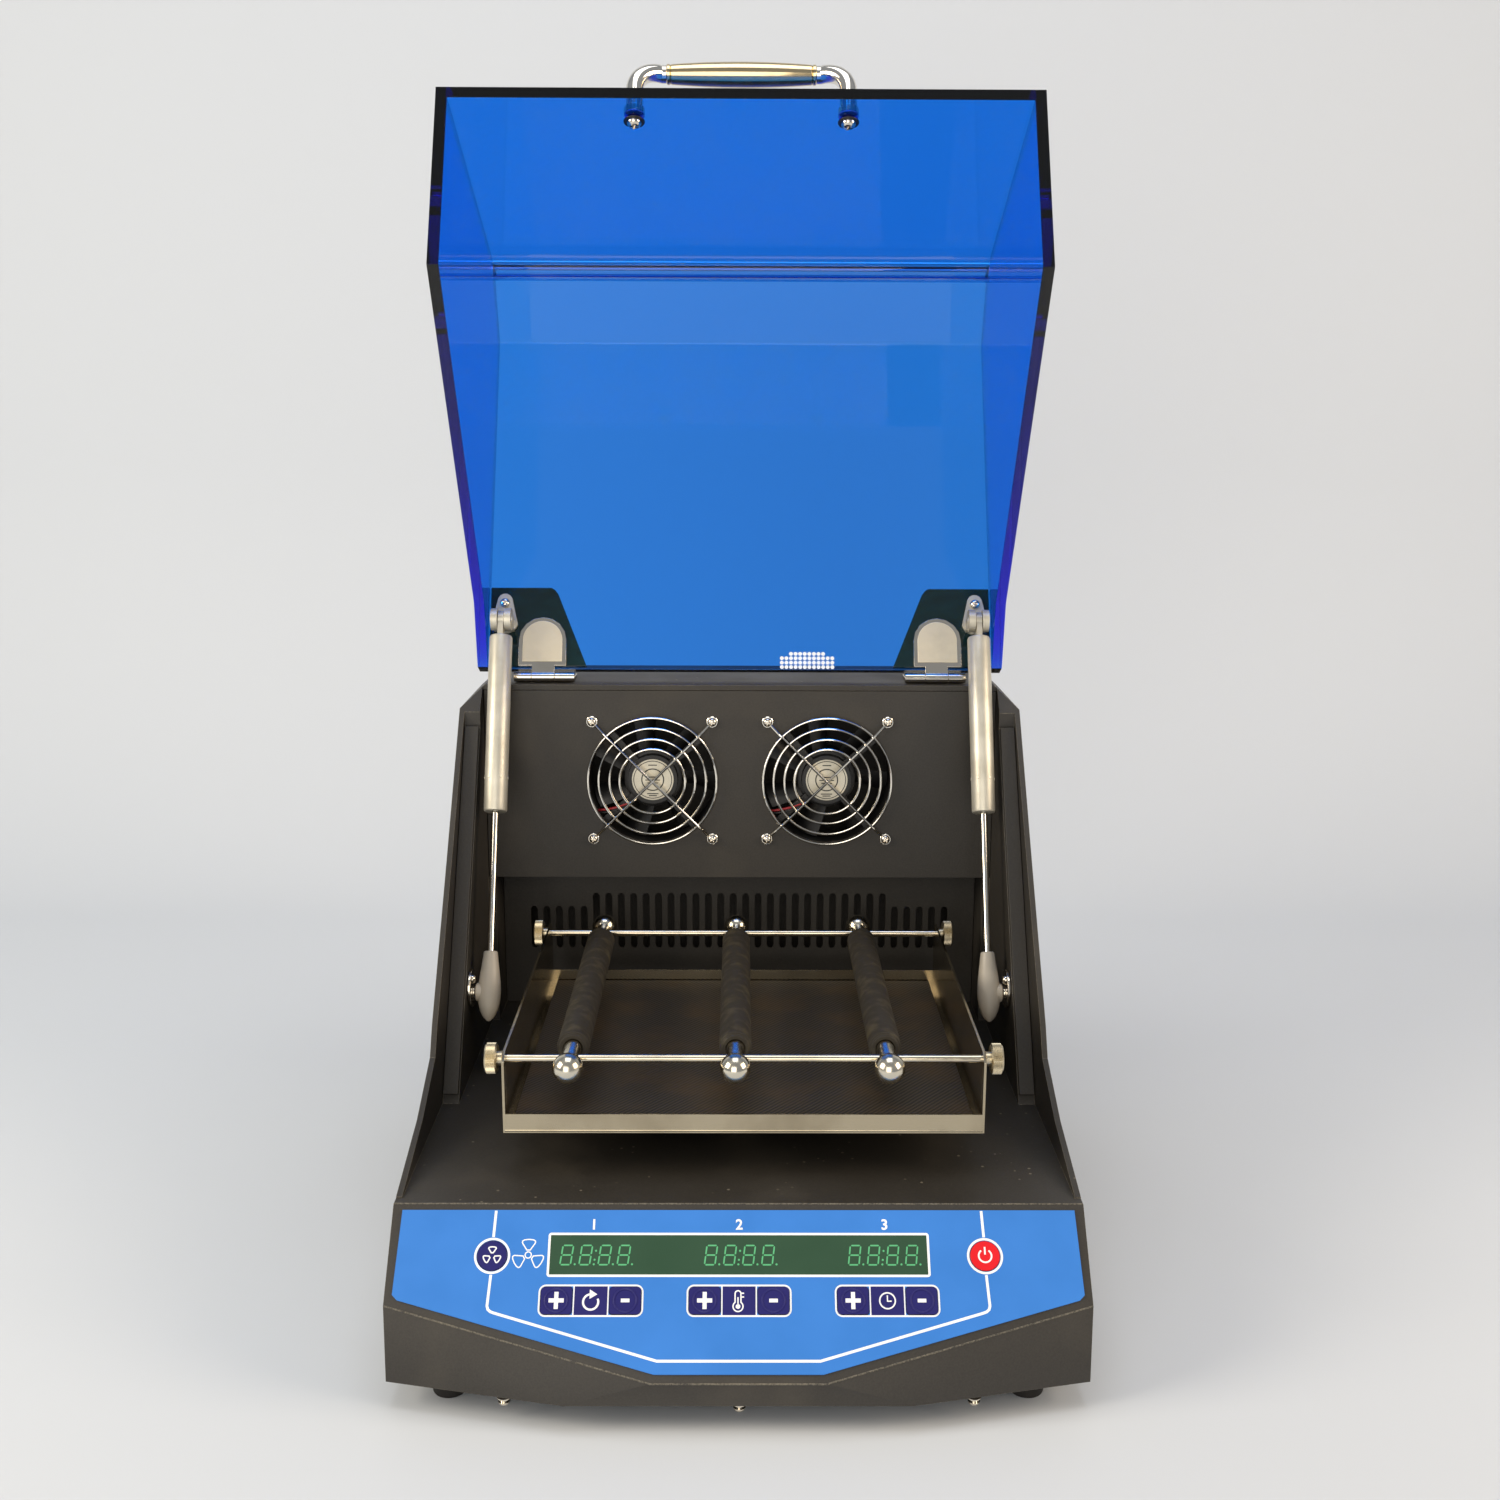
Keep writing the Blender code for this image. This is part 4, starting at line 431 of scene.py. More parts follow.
@dataclass(frozen=True)
class TurnedMetal(Finish):
    """Machined metal with fine tool marks round it, either bare or under clear satin lacquer."""

    marks_mm: float = 0.35
    streak: tuple[float, float, float] = (1.0, 1.0, 1.0)
    dull: str = "#96907f"
    tone_mm: float = 16.0

    def dress(self, skin: Skin) -> None:
        """Adds fine marks in height and gloss with a mild change of tone.

        Args:
            skin: The material to dress.
        """
        mark = skin.noise(self.marks_mm, self.streak)
        skin.glossed(mark, (0.3, 0.7), self.rough(0.08, 0.08))
        skin.shaded(skin.noise(self.tone_mm, detail=3.0), (0.35, 0.75), 0.5, self.colour, self.dull)
        skin.raised(mark, 0.02, 0.2)


@dataclass(frozen=True)
class MouldedPlastic(Finish):
    """Injection-moulded nylon or ABS: fine spark-eroded grain and slightly uneven gloss."""

    worn: str = "#8d867a"
    grain_mm: float = 0.5
    wear: float = 0.3
    cloud_mm: float = 14.0

    def dress(self, skin: Skin) -> None:
        """Adds fine grain, and handling marks that show as paler patches.

        Args:
            skin: The material to dress.
        """
        cloud = skin.noise(self.cloud_mm, detail=4.0)
        skin.shaded(cloud, (0.5, 0.8), self.wear, self.colour, self.worn)
        skin.glossed(cloud, (0.3, 0.7), self.rough(0.05, 0.1))
        skin.raised(skin.noise(self.grain_mm), 0.03, 0.25)


@dataclass(frozen=True)
class FoamRubber(Finish):
    """Skinned rubber tube, matt and dark, worn shiny and chalky where vessels touch it."""

    chalk: str = "#655c42"
    pore_mm: float = 0.7
    rub_mm: float = 9.0

    def dress(self, skin: Skin) -> None:
        """Adds pores under a millimetre, and chalky rub marks round the tube.

        Args:
            skin: The material to dress.
        """
        rub = skin.noise(self.rub_mm, detail=7.0)
        skin.shaded(rub, (0.52, 0.8), 0.5, self.colour, self.chalk)
        skin.glossed(rub, (0.35, 0.7), (self.roughness + 0.08, self.roughness - 0.14))
        skin.raised(skin.noise(self.pore_mm, detail=3.0), 0.08, 0.3)


@dataclass(frozen=True)
class RibbedMat(Finish):
    """Rubber mat with fine slanting ribs; their real pitch of 1.2 mm is drawn as 2.2 mm to show."""

    pitch_mm: float = 2.2
    slant: float = math.radians(38)
    # Colour of the rib crests: a painted highlight.
    crest: str = "#453d30"
    brown: str = "#4b3a22"
    cloud_mm: float = 30.0

    def dress(self, skin: Skin) -> None:
        """Adds slanting ribs in height, lighter crests as a painted highlight, and brown wear patches.

        Args:
            skin: The material to dress.
        """
        mapping = add(skin.tree, "ShaderNodeMapping", {"Rotation": (0, 0, self.slant)}, {"Vector": skin.coords})
        ribs = add(
            skin.tree,
            "ShaderNodeTexWave",
            {
                "wave_type": "BANDS",
                "bands_direction": "X",
                "wave_profile": "SIN",
                "Scale": 0.314 / (self.pitch_mm * MM),
                "Distortion": 0.6,
            },
            {"Vector": mapping.outputs["Vector"]},
        ).outputs["Fac"]
        cloud = skin.noise(self.cloud_mm, detail=5.0)
        # The rib crests are painted lighter: a painted highlight on top of the real bump.
        base = skin.tinted(skin.between(ribs, (0.2, 0.9), (0, 1)), self.colour, self.crest)
        skin.coloured(skin.tinted(skin.between(cloud, (0.46, 0.72), (0, 0.6)), base, self.brown))
        skin.raised(ribs, 0.3, 0.6)


@dataclass(frozen=True)
class PrintedFilm(Finish):
    """Reverse-printed polyester film with a fine velvet texture over the colour."""

    grain_mm: float = 0.45
    glow: float = 0.0
    cloud_mm: float = 24.0

    def dress(self, skin: Skin) -> None:
        """Adds velvet grain, a slight unevenness of the ink, and a lit colour if it glows.

        Args:
            skin: The material to dress.
        """
        cloud = skin.noise(self.cloud_mm, detail=3.0)
        skin.glossed(cloud, (0.3, 0.7), self.rough(0.04, 0.06))
        tone = skin.between(cloud, (0.2, 0.8), (0.94, 1.05))
        mixed = add(skin.tree, "ShaderNodeHueSaturation", {"Color": linear(self.colour)}, {"Value": tone})
        skin.coloured(mixed.outputs["Color"])
        skin.shader.inputs["Emission Color"].default_value = linear(self.colour)
        skin.shader.inputs["Emission Strength"].default_value = self.glow
        skin.raised(skin.noise(self.grain_mm), 0.02, 0.2)


class Finishes:
    """The finishes of the object, each named for its real material."""

    powder = PowderCoat("dark_powder_coated_steel", "powder", "#322f2a")
    # Paler coat for the eased edges and the fold lines: a painted highlight where the bends catch the light.
    rubbed = PowderCoat("powder_coat_rubbed_at_edges", "powder", "#716b5d", 0.42, dusty="#8b8473")
    acrylic = CastAcrylic("blue_dyed_cast_acrylic", "acrylic", "#ffffff", 0.0, ior=1.49)
    corner = SmokedAcrylic("smoked_acrylic_plate", "corner", "#0b2a2c", 0.06, ior=1.49)
    stainless = RolledSteel("rolled_stainless_sheet", "stainless", "#b9ad94", 0.17, 1.0)
    chrome = Plated("chrome_plated_wire", "chrome", "#e9e4da", 0.05, 1.0)
    scuffed = Plated("scuffed_chrome_plate", "chrome", "#d8d1c0", 0.15, 1.0, smudge_mm=5.0)
    polished = Plated("polished_stainless_leaf", "chrome", "#ded6c8", 0.06, 1.0, smudge_mm=14.0)
    rail = TurnedMetal("ground_steel_rod", "chrome", "#dccfb6", 0.14, 1.0, streak=(0.05, 1, 1))
    rod = TurnedMetal("hard_chromed_piston_rod", "chrome", "#e6e2da", 0.1, 1.0)
    satin = TurnedMetal("satin_painted_steel_tube", "satin", "#d2cec0", 0.42, 0.55, streak=(1, 0.1, 0.1))
    grip = Plated("champagne_plated_grip", "chrome", "#dcc79e", 0.1, 1.0, smudge_mm=12.0)
    face = Plated("champagne_hinge_face", "chrome", "#efe4cb", 0.28, 0.5, smudge_mm=14.0)
    knurl = TurnedMetal("knurled_steel_knob", "satin", "#d0c3a6", 0.3, 1.0)
    grey = MouldedPlastic("grey_nylon_socket", "socket", "#a8a195", 0.42, worn="#c8c1b0")
    black = MouldedPlastic("black_moulded_nylon", "black", "#151516", 0.38, worn="#2c2c2b")
    label = TurnedMetal("silver_foil_label", "satin", "#cfc9b8", 0.34, 0.85)
    rubber = FoamRubber("dark_foam_rubber", "rubber", "#272219", 0.7)
    foot = MouldedPlastic("black_rubber_foot", "rubber", "#1d1b19", 0.75, worn="#34312d", wear=0.5)
    mat = RibbedMat("ribbed_rubber_mat", "rubber", "#191613", 0.62)
    overlay = PrintedFilm("blue_printed_film", "overlay", "#357bd0", 0.45, ior=1.4)
    window = PrintedFilm("green_display_film", "window", "#2c4b37", 0.42, ior=1.36, grain_mm=1.5)
    navy = PrintedFilm("navy_key_film", "key_navy", "#211f66", 0.42, ior=1.36)
    red = PrintedFilm("red_key_film", "key_red", "#dc1a24", 0.42, ior=1.36)
    ink = PrintedFilm("white_screen_ink", "overlay", "#f0f3f6", 0.45)
    lit = PrintedFilm("green_lit_segment", "window", "#56ad78", 0.4, glow=0.06)
    alloy = TurnedMetal("cast_motor_alloy", "alloy", "#9a9a9c", 0.4, 1.0)
    brass = TurnedMetal("nickelled_brass_pin", "chrome", "#d8ccaa", 0.22, 1.0)
    lead_red = MouldedPlastic("red_lead_sleeve", "black", "#9c1a22", 0.4, worn="#b84048")
    lead_black = MouldedPlastic("black_lead_sleeve", "black", "#141414", 0.4, worn="#2a2a2a")
    sweep = Finish("pale_paper_sweep", "stage", "#cfd5dd", 0.9)


@dataclass
class Tag:
    """What a finished piece is tied to: its name, finish, body, the nodes it stands for, and its edges."""

    name: str
    finish: Finish
    body: str
    nodes: tuple[str, ...] = ()
    edge_finish: Finish | None = None


def placed(name: str, data: bpy.types.ID) -> bpy.types.Object:
    """Puts an object into the scene.

    Args:
        name: Its name.
        data: Its mesh, curve, light or camera.

    Returns:
        The object.
    """
    obj = bpy.data.objects.new(name, data)
    bpy.context.scene.collection.objects.link(obj)
    return obj


def evaluated(obj: bpy.types.Object) -> bpy.types.Mesh:
    """A plain mesh of an object with its modifiers applied."""
    graph = bpy.context.evaluated_depsgraph_get()
    return bpy.data.meshes.new_from_object(obj.evaluated_get(graph))


def opened(mesh: bpy.types.Mesh) -> bmesh.types.BMesh:
    """Opens a mesh for editing.

    Args:
        mesh: The mesh.

    Returns:
        Its points and faces.
    """
    part = bmesh.new()
    part.from_mesh(mesh)
    return part


def skinned(part: bmesh.types.BMesh, rows: list, closed: bool = False) -> bmesh.types.BMesh:
    """Joins rings of points into a tube with its faces outwards.

    Args:
        part: The mesh that holds the points.
        rows: The rings in order.
        closed: Whether the last ring meets the first; if not, both ends are capped.

    Returns:
        The same mesh.
    """
    for first, second in zip(rows, rows[1:] + (rows[:1] if closed else [])):
        for s in range(len(first)):
            t = (s + 1) % len(first)
            part.faces.new((first[s], first[t], second[t], second[s]))
    if not closed:
        part.faces.new(rows[0])
        part.faces.new(rows[-1])
    bmesh.ops.recalc_face_normals(part, faces=part.faces)
    return part


class Shape:
    """A mesh being drawn in millimetres."""

    def __init__(self) -> None:
        """Starts with nothing."""
        self.bm = bmesh.new()

    @classmethod
    def of_node(cls, node: str, flat: float = math.radians(0.6)) -> Shape:
        """A copy of a CAD node's mesh, its triangles merged and its flat faces joined.

        Args:
            node: The node's name.
            flat: Faces closer to coplanar than this are joined.

        Returns:
            The shape, back in millimetres of the drawing.
        """
        shape = cls()
        bm = shape.bm
        mesh = frame["nodes"][node].data
        spots = [bm.verts.new(vertex.co) for vertex in mesh.vertices]
        for face in mesh.polygons:
            bm.faces.new([spots[index] for index in face.vertices])
        bmesh.ops.transform(bm, matrix=TO_FRAME.inverted(), verts=bm.verts)
        bmesh.ops.remove_doubles(bm, verts=bm.verts, dist=0.002)
        bmesh.ops.dissolve_limit(bm, angle_limit=flat, verts=bm.verts, edges=bm.edges)
        return shape

    def prism(
        self, outline: Sequence[Pair], low: float, high: float, axis: Axis = Axis.Z, turn: Matrix | None = None
    ) -> Shape:
        """Pushes a closed outline along an axis.

        Args:
            outline: Pairs in the plane across the axis.
            low: Start along the axis.
            high: End along the axis.
            axis: The axis.
            turn: A matrix that places the result.

        Returns:
            This shape.
        """
        part = bmesh.new()
        face = part.faces.new([part.verts.new(axis.place(a, b, low)) for a, b in outline])
        moved = bmesh.ops.extrude_face_region(part, geom=[face])
        tops = [item for item in moved["geom"] if isinstance(item, bmesh.types.BMVert)]
        bmesh.ops.translate(part, verts=tops, vec=axis.place(0, 0, high - low))
        bmesh.ops.recalc_face_normals(part, faces=part.faces)
        return self.take(part, turn)

    def lathe(
        self, profile: Sequence[Pair], centre: Spot, axis: Spot, steps: int = 64, ring: bool = False
    ) -> Shape:
        """Spins a profile about an axis.

        Args:
            profile: (radius, height) pairs; a radius of zero closes an end.
            centre: Where height zero sits.
            axis: The direction of the axis.
            steps: Segments round the axis.
            ring: Whether the profile closes on itself, as a washer's does.

        Returns:
            This shape.
        """
        part = bmesh.new()
        rings: list[list[bmesh.types.BMVert]] = []
        for radius, height in profile:
            count = steps if radius else 1
            turns = [2 * math.pi * index / steps for index in range(count)]
            spots = [(radius * math.cos(t), radius * math.sin(t), height) for t in turns]
            rings.append([part.verts.new(spot) for spot in spots])
        for first, second in zip(rings, rings[1:] + (rings[:1] if ring else [])):
            for index in range(steps):
                corners = ((first, index), (first, index + 1), (second, index + 1), (second, index))
                unique = list(dict.fromkeys(row[at % len(row)] for row, at in corners))
                if len(unique) > 2:
                    part.faces.new(unique)
        if not ring:
            for end in (rings[0], rings[-1]):
                if len(end) > 1:
                    part.faces.new(end)
        bmesh.ops.recalc_face_normals(part, faces=part.faces)
        turn = Vector((0, 0, 1)).rotation_difference(Vector(axis)).to_matrix().to_4x4()
        return self.take(part, Matrix.Translation(Vector(centre)) @ turn)

    def sweep(
        self, path: Sequence[Spot], radius: float, sides: int = 14, closed: bool = False
    ) -> Shape:
        """Runs a round section along a path.

        Args:
            path: The points of the path.
            radius: The section's radius.
            sides: Segments round the section.
            closed: Whether the path meets its own start.

        Returns:
            This shape.
        """
        part = bmesh.new()
        points = [Vector(point) for point in path]
        count = len(points)
        turns = [2 * math.pi * s / sides for s in range(sides)]
        up = Vector((0, 0, 1))
        rings: list[list[bmesh.types.BMVert]] = []
        for index, point in enumerate(points):
            before = points[index - 1] if index or closed else point
            after = points[(index + 1) % count] if index < count - 1 or closed else point
            along = (after - before).normalized()
            if not rings:
                up = along.orthogonal().normalized()
            up = (up - along * up.dot(along)).normalized()
            side = along.cross(up)
            rings.append(
                [part.verts.new(point + (up * math.cos(t) + side * math.sin(t)) * radius) for t in turns]
            )
        return self.take(skinned(part, rings, closed))

    def take(self, part: bmesh.types.BMesh, turn: Matrix | None = None) -> Shape:
        """Adds another mesh to this one and frees it.

        Args:
            part: The other mesh.
            turn: A matrix that places it.

        Returns:
            This shape.
        """
        if turn is not None:
            bmesh.ops.transform(part, matrix=turn, verts=part.verts)
        mesh = bpy.data.meshes.new("part")
        part.to_mesh(mesh)
        part.free()
        self.bm.from_mesh(mesh)
        bpy.data.meshes.remove(mesh)
        return self

    def moved(self, matrix: Matrix) -> Shape:
        """Places all that is drawn so far."""
        bmesh.ops.transform(self.bm, matrix=matrix, verts=self.bm.verts)
        return self

    def piece(
        self, tag: Tag, ease: float = 0.0, segments: int = 2, angle: float = SMOOTH_ANGLE
    ) -> bpy.types.Object:
        """Turns the drawing into a finished piece.

        Args:
            tag: Its name, finish and body.
            ease: Width in millimetres of the bevel on its sharp edges.
            segments: Segments of that bevel.
            angle: Edges sharper than this are eased, or kept crisp.

        Returns:
            The object, at the origin, riding on its body.
        """
        mesh = bpy.data.meshes.new(tag.name)
        bmesh.ops.transform(self.bm, matrix=TO_FRAME, verts=self.bm.verts)
        self.bm.to_mesh(mesh)
        self.bm.free()
        return settled(mesh, tag, ease, segments, angle)


def settled(
    mesh: bpy.types.Mesh, tag: Tag, ease: float = 0.0, segments: int = 2, angle: float = SMOOTH_ANGLE
) -> bpy.types.Object:
    """Makes a mesh a piece of the object.

    Args:
        mesh: The mesh, in metres of the frame.
        tag: Its name, finish and body.
        ease: Width in millimetres of the bevel on its sharp edges.
        segments: Segments of that bevel.
        angle: Edges sharper than this are eased, or kept crisp.

    Returns:
        The object, at the origin, riding on its body.
    """
    mesh.polygons.foreach_set("use_smooth", [True] * len(mesh.polygons))
    obj = placed(tag.name, mesh)
    if ease:
        bevel = obj.modifiers.new("ease", "BEVEL")
        bevel.width = ease * MM
        bevel.segments = segments
        bevel.limit_method = "ANGLE"
        bevel.angle_limit = angle
        bevel.use_clamp_overlap = True
        bevel.harden_normals = True
        if tag.edge_finish:
            obj.data.materials.append(tag.finish.material())
            obj.data.materials.append(tag.edge_finish.material())
            bevel.material = 1
        obj.data = evaluated(obj)
        obj.modifiers.clear()
        obj.data.name = tag.name
    else:
        obj.data.set_sharp_from_angle(angle=angle)
    if not tag.edge_finish:
        obj.data.materials.clear()
        obj.data.materials.append(tag.finish.material())
    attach(obj, tag.body)
    if tag.nodes:
        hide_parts(*tag.nodes)
    log.info("%s: %d faces, on %s", tag.name, len(obj.data.polygons), tag.body)
    return obj


def dressed(
    node: str, name: str, finish: Finish, body: str, ease: float, segments: int = 2, edge: Finish | None = None
) -> bpy.types.Object:
    """Dresses a CAD node's own shape as a piece.

    Args:
        node: The node that it stands for.
        name: The piece's name.
        finish: Its finish.
        body: The body that it rides on.
        ease: Width in millimetres of the bevel on its sharp edges.
        segments: Segments of that bevel.
        edge: The finish of that bevel, where it differs.

    Returns:
        The piece.
    """
    return Shape.of_node(node).piece(Tag(name, finish, body, (node,), edge), ease, segments)


def arc(centre: Pair, radius: float, start: float, end: float, steps: int) -> list[Pair]:
    """Points along a circular arc.

    Args:
        centre: The arc's centre.
        radius: Its radius.
        start: Where it starts, in degrees.
        end: Where it ends, in degrees.
        steps: How many parts it is cut into.

    Returns:
        The points, both ends among them.
    """
    turns = [math.radians(start + (end - start) * index / steps) for index in range(steps + 1)]
    return [(centre[0] + radius * math.cos(t), centre[1] + radius * math.sin(t)) for t in turns]


def rounded(x0: float, y0: float, x1: float, y1: float, radius: float, steps: int = 6) -> list[Pair]:
    """A rectangle with rounded corners.

    Args:
        x0: Its left side.
        y0: Its lower side.
        x1: Its right side.
        y1: Its upper side.
        radius: The corners' radius.
        steps: Parts of each corner.

    Returns:
        The outline, anticlockwise.
    """
    corners = ((x1 - radius, y0 + radius), (x1 - radius, y1 - radius), (x0 + radius, y1 - radius))
    starts = ((*corners, (x0 + radius, y0 + radius)), (-90, 0, 90, 180))
    return [point for corner, turn in zip(*starts) for point in arc(corner, radius, turn, turn + 90, steps)]


def mirrored(half: Sequence[Pair]) -> list[Pair]:
    """The other half of an even profile, met from its middle."""
    return [(radius, -height) for radius, height in reversed(half)]


def softened(path: Sequence[Spot], reach: float, steps: int = 5) -> list[Vector]:
    """Rounds the inner corners of a path.

    Args:
        path: Its points.
        reach: How far from a corner the rounding starts.
        steps: Points along each rounded corner.

    Returns:
        The rounded path.
    """
    points = [Vector(point) for point in path]
    out = [points[0]]
    for before, here, after in zip(points, points[1:], points[2:]):
        start = here + (before - here).normalized() * min(reach, (before - here).length / 2.1)
        end = here + (after - here).normalized() * min(reach, (after - here).length / 2.1)
        for index in range(steps + 1):
            t = index / steps
            out.append(start * (1 - t) ** 2 + here * (2 * t * (1 - t)) + end * t**2)
    out.append(points[-1])
    return out


def ribbon(
    shape: Shape, path: Sequence[Pair], wide: float, low: float, high: float, closed: bool, turn: Matrix
) -> None:
    """Adds a flat stroke of even width along a path, with mitred corners.

    Args:
        shape: The drawing that gets it.
        path: (x, y) points of its middle line.
        wide: Its width.
        low: Its lower face.
        high: Its upper face.
        closed: Whether it meets its own start.
        turn: A matrix that places it.
    """
    part = bmesh.new()
    points = [Vector(point) for point in path]
    count = len(points)
    rows = []
    for index, point in enumerate(points):
        turns = []
        if index or closed:
            turns.append((point - points[index - 1]).normalized())
        if index < count - 1 or closed:
            turns.append((points[(index + 1) % count] - point).normalized())
        sides = [Vector((-t.y, t.x)) for t in turns]
        middle = sum(sides, Vector((0, 0))).normalized()
        push = middle * (wide / 2 / max(middle.dot(sides[0]), 0.3))
        corners = [(point + push, low), (point - push, low), (point - push, high), (point + push, high)]
        rows.append([part.verts.new((p.x, p.y, z)) for p, z in corners])
    shape.take(skinned(part, rows, closed), turn)


class GrowTree:
    """A Geometry Nodes group with named inputs, run once on a mesh and then made a plain mesh."""

    def __init__(self, name: str) -> None:
        """Makes the group with its geometry sockets.

        Args:
            name: The group's name.
        """
        self.tree = bpy.data.node_groups.new(name, "GeometryNodeTree")
        self.ids: dict[str, str] = {}
        face = self.tree.interface
        face.new_socket("Geometry", in_out="INPUT", socket_type="NodeSocketGeometry")
        face.new_socket("Geometry", in_out="OUTPUT", socket_type="NodeSocketGeometry")
        self.start = self.tree.nodes.new("NodeGroupInput")
        self.end = self.tree.nodes.new("NodeGroupOutput")

    def opened(self, name: str, kind: str) -> Socket:
        """Adds a named input.

        Args:
            name: The input's name.
            kind: Its socket type.

        Returns:
            The socket that gives its value inside the group.
        """
        socket = self.tree.interface.new_socket(name, in_out="INPUT", socket_type=kind)
        self.ids[name] = socket.identifier
        return self.start.outputs[name]

    def node(self, kind: str, settings: dict | None = None, links: dict | None = None) -> bpy.types.Node:
        """Adds one node to the group."""
        return add(self.tree, kind, settings, links)

    def turned(self, first: bpy.types.Node, second: bpy.types.Node) -> Socket:
        """The rotation that one node gives, turned on in its own axes by another's."""
        links = {"Rotation": first.outputs["Rotation"], "Rotate By": second.outputs["Rotation"]}
        return self.node("FunctionNodeRotateRotation", {"rotation_space": "LOCAL"}, links).outputs["Rotation"]

    def strewn(self, points: Socket, instance: Socket, **more: Socket) -> Socket:
        """Sets an instance on each point, with its rotation and scale where they are given."""
        links = {"Points": points, "Instance": instance, **more}
        return self.node("GeometryNodeInstanceOnPoints", links=links).outputs["Instances"]

    def closed(self, geometry: Socket) -> GrowTree:
        """Ends the group with real geometry and its material.

        Args:
            geometry: What the group has made.

        Returns:
            This tree.
        """
        coat = self.opened("Coat", "NodeSocketMaterial")
        real = self.node("GeometryNodeRealizeInstances", links={"Geometry": geometry})
        coated = self.node("GeometryNodeSetMaterial", links={"Geometry": real.outputs["Geometry"], "Material": coat})
        self.tree.links.new(coated.outputs["Geometry"], self.end.inputs["Geometry"])
        return self

    def grown(self, mesh: bpy.types.Mesh, values: dict) -> bpy.types.Mesh:
        """Runs the group on a mesh.

        Args:
            mesh: The mesh that it starts from.
            values: The inputs' values by name.

        Returns:
            A plain mesh with the instances made real.
        """
        holder = placed("seedbed", mesh)
        modifier = holder.modifiers.new("grow", "NODES")
        modifier.node_group = self.tree
        for name, value in values.items():
            modifier[self.ids[name]] = value
        made = evaluated(holder)
        holder.modifiers.clear()
        bpy.data.objects.remove(holder)
        return made


class Screws:
    """Cross-head screws: one turned head, set by Geometry Nodes wherever a list of places says."""

    seed = 7

    def __init__(self) -> None:
        """Turns one head of unit radius, and builds the tree that sets it."""
        self.head = self.turned_head()
        grow = GrowTree("set_screws")
        head = grow.opened("Head", "NodeSocketObject")
        size = grow.opened("Radius", "NodeSocketFloat")
        seed = grow.opened("Seed", "NodeSocketInt")
        shape = grow.node("GeometryNodeObjectInfo", {"As Instance": True}, {"Object": head})
        facing = grow.node("GeometryNodeInputNamedAttribute", {"data_type": "FLOAT_VECTOR", "Name": "facing"})
        aim = grow.node("FunctionNodeAlignRotationToVector", {"axis": "Z"}, {"Vector": facing.outputs["Attribute"]})
        round_z = {"data_type": "FLOAT_VECTOR", 0: (0, 0, 0), 1: (0, 0, 2 * math.pi)}
        spin = grow.node("FunctionNodeRandomValue", round_z, {"Seed": seed})
        turn = grow.node("FunctionNodeEulerToRotation", links={"Euler": spin.outputs["Value"]})
        points = grow.start.outputs["Geometry"]
        heads = grow.strewn(points, shape.outputs["Geometry"], Rotation=grow.turned(aim, turn), Scale=size)
        self.grow = grow.closed(heads)

    def turned_head(self) -> bpy.types.Object:
        """A domed head of radius one with a cross recess cut in it.

        Returns:
            The head, as an object that is kept out of the render.
        """
        dome = [(0, 0.72), (0.35, 0.7), (0.66, 0.6), (0.88, 0.4), (1.0, 0.12), (1.0, 0.0), (0, 0.0)]
        recess = Shape()
        for wide, long in ((0.22, 1.15), (1.15, 0.22)):
            slot = [(-wide / 2, -long / 2), (wide / 2, -long / 2), (wide / 2, long / 2), (-wide / 2, long / 2)]
            recess.prism(slot, 0.32 + wide * 0.02, 1.0)
        made = []
        for shape in (Shape().lathe(dome, (0, 0, 0), (0, 0, 1), 24), recess):
            mesh = bpy.data.meshes.new("screw_head")
            shape.bm.to_mesh(mesh)
            shape.bm.free()
            made.append(placed("screw_head", mesh))
        head, cutter = made
        cut = head.modifiers.new("recess", "BOOLEAN")
        cut.operation = "DIFFERENCE"
        cut.solver = "EXACT"
        cut.use_self = True
        cut.object = cutter
        head.data = evaluated(head)
        head.modifiers.clear()
        bpy.data.objects.remove(cutter)
        return head

    def set(self, tag: Tag, places: Sequence[Place], radius: float) -> bpy.types.Object:
        """Sets a group of screws as one piece.

        Args:
            tag: The piece's name, finish and body.
            places: For each screw, the point under its head and the way that it faces.
            radius: The head's radius in millimetres.

        Returns:
            The piece.
        """
        mesh = bpy.data.meshes.new("places")
        mesh.from_pydata([tuple(TO_FRAME @ Vector(point)) for point, _ in places], [], [])
        facing = mesh.attributes.new("facing", "FLOAT_VECTOR", "POINT")
        for index, (_, way) in enumerate(places):
            facing.data[index].vector = Vector(way).normalized()
        values = {"Head": self.head, "Radius": radius * MM, "Seed": self.seed, "Coat": tag.finish.material()}
        return settled(self.grow.grown(mesh, values), tag)

    def clear(self) -> None:
        """Takes the spare head away once every screw is set."""
        bpy.data.objects.remove(self.head)


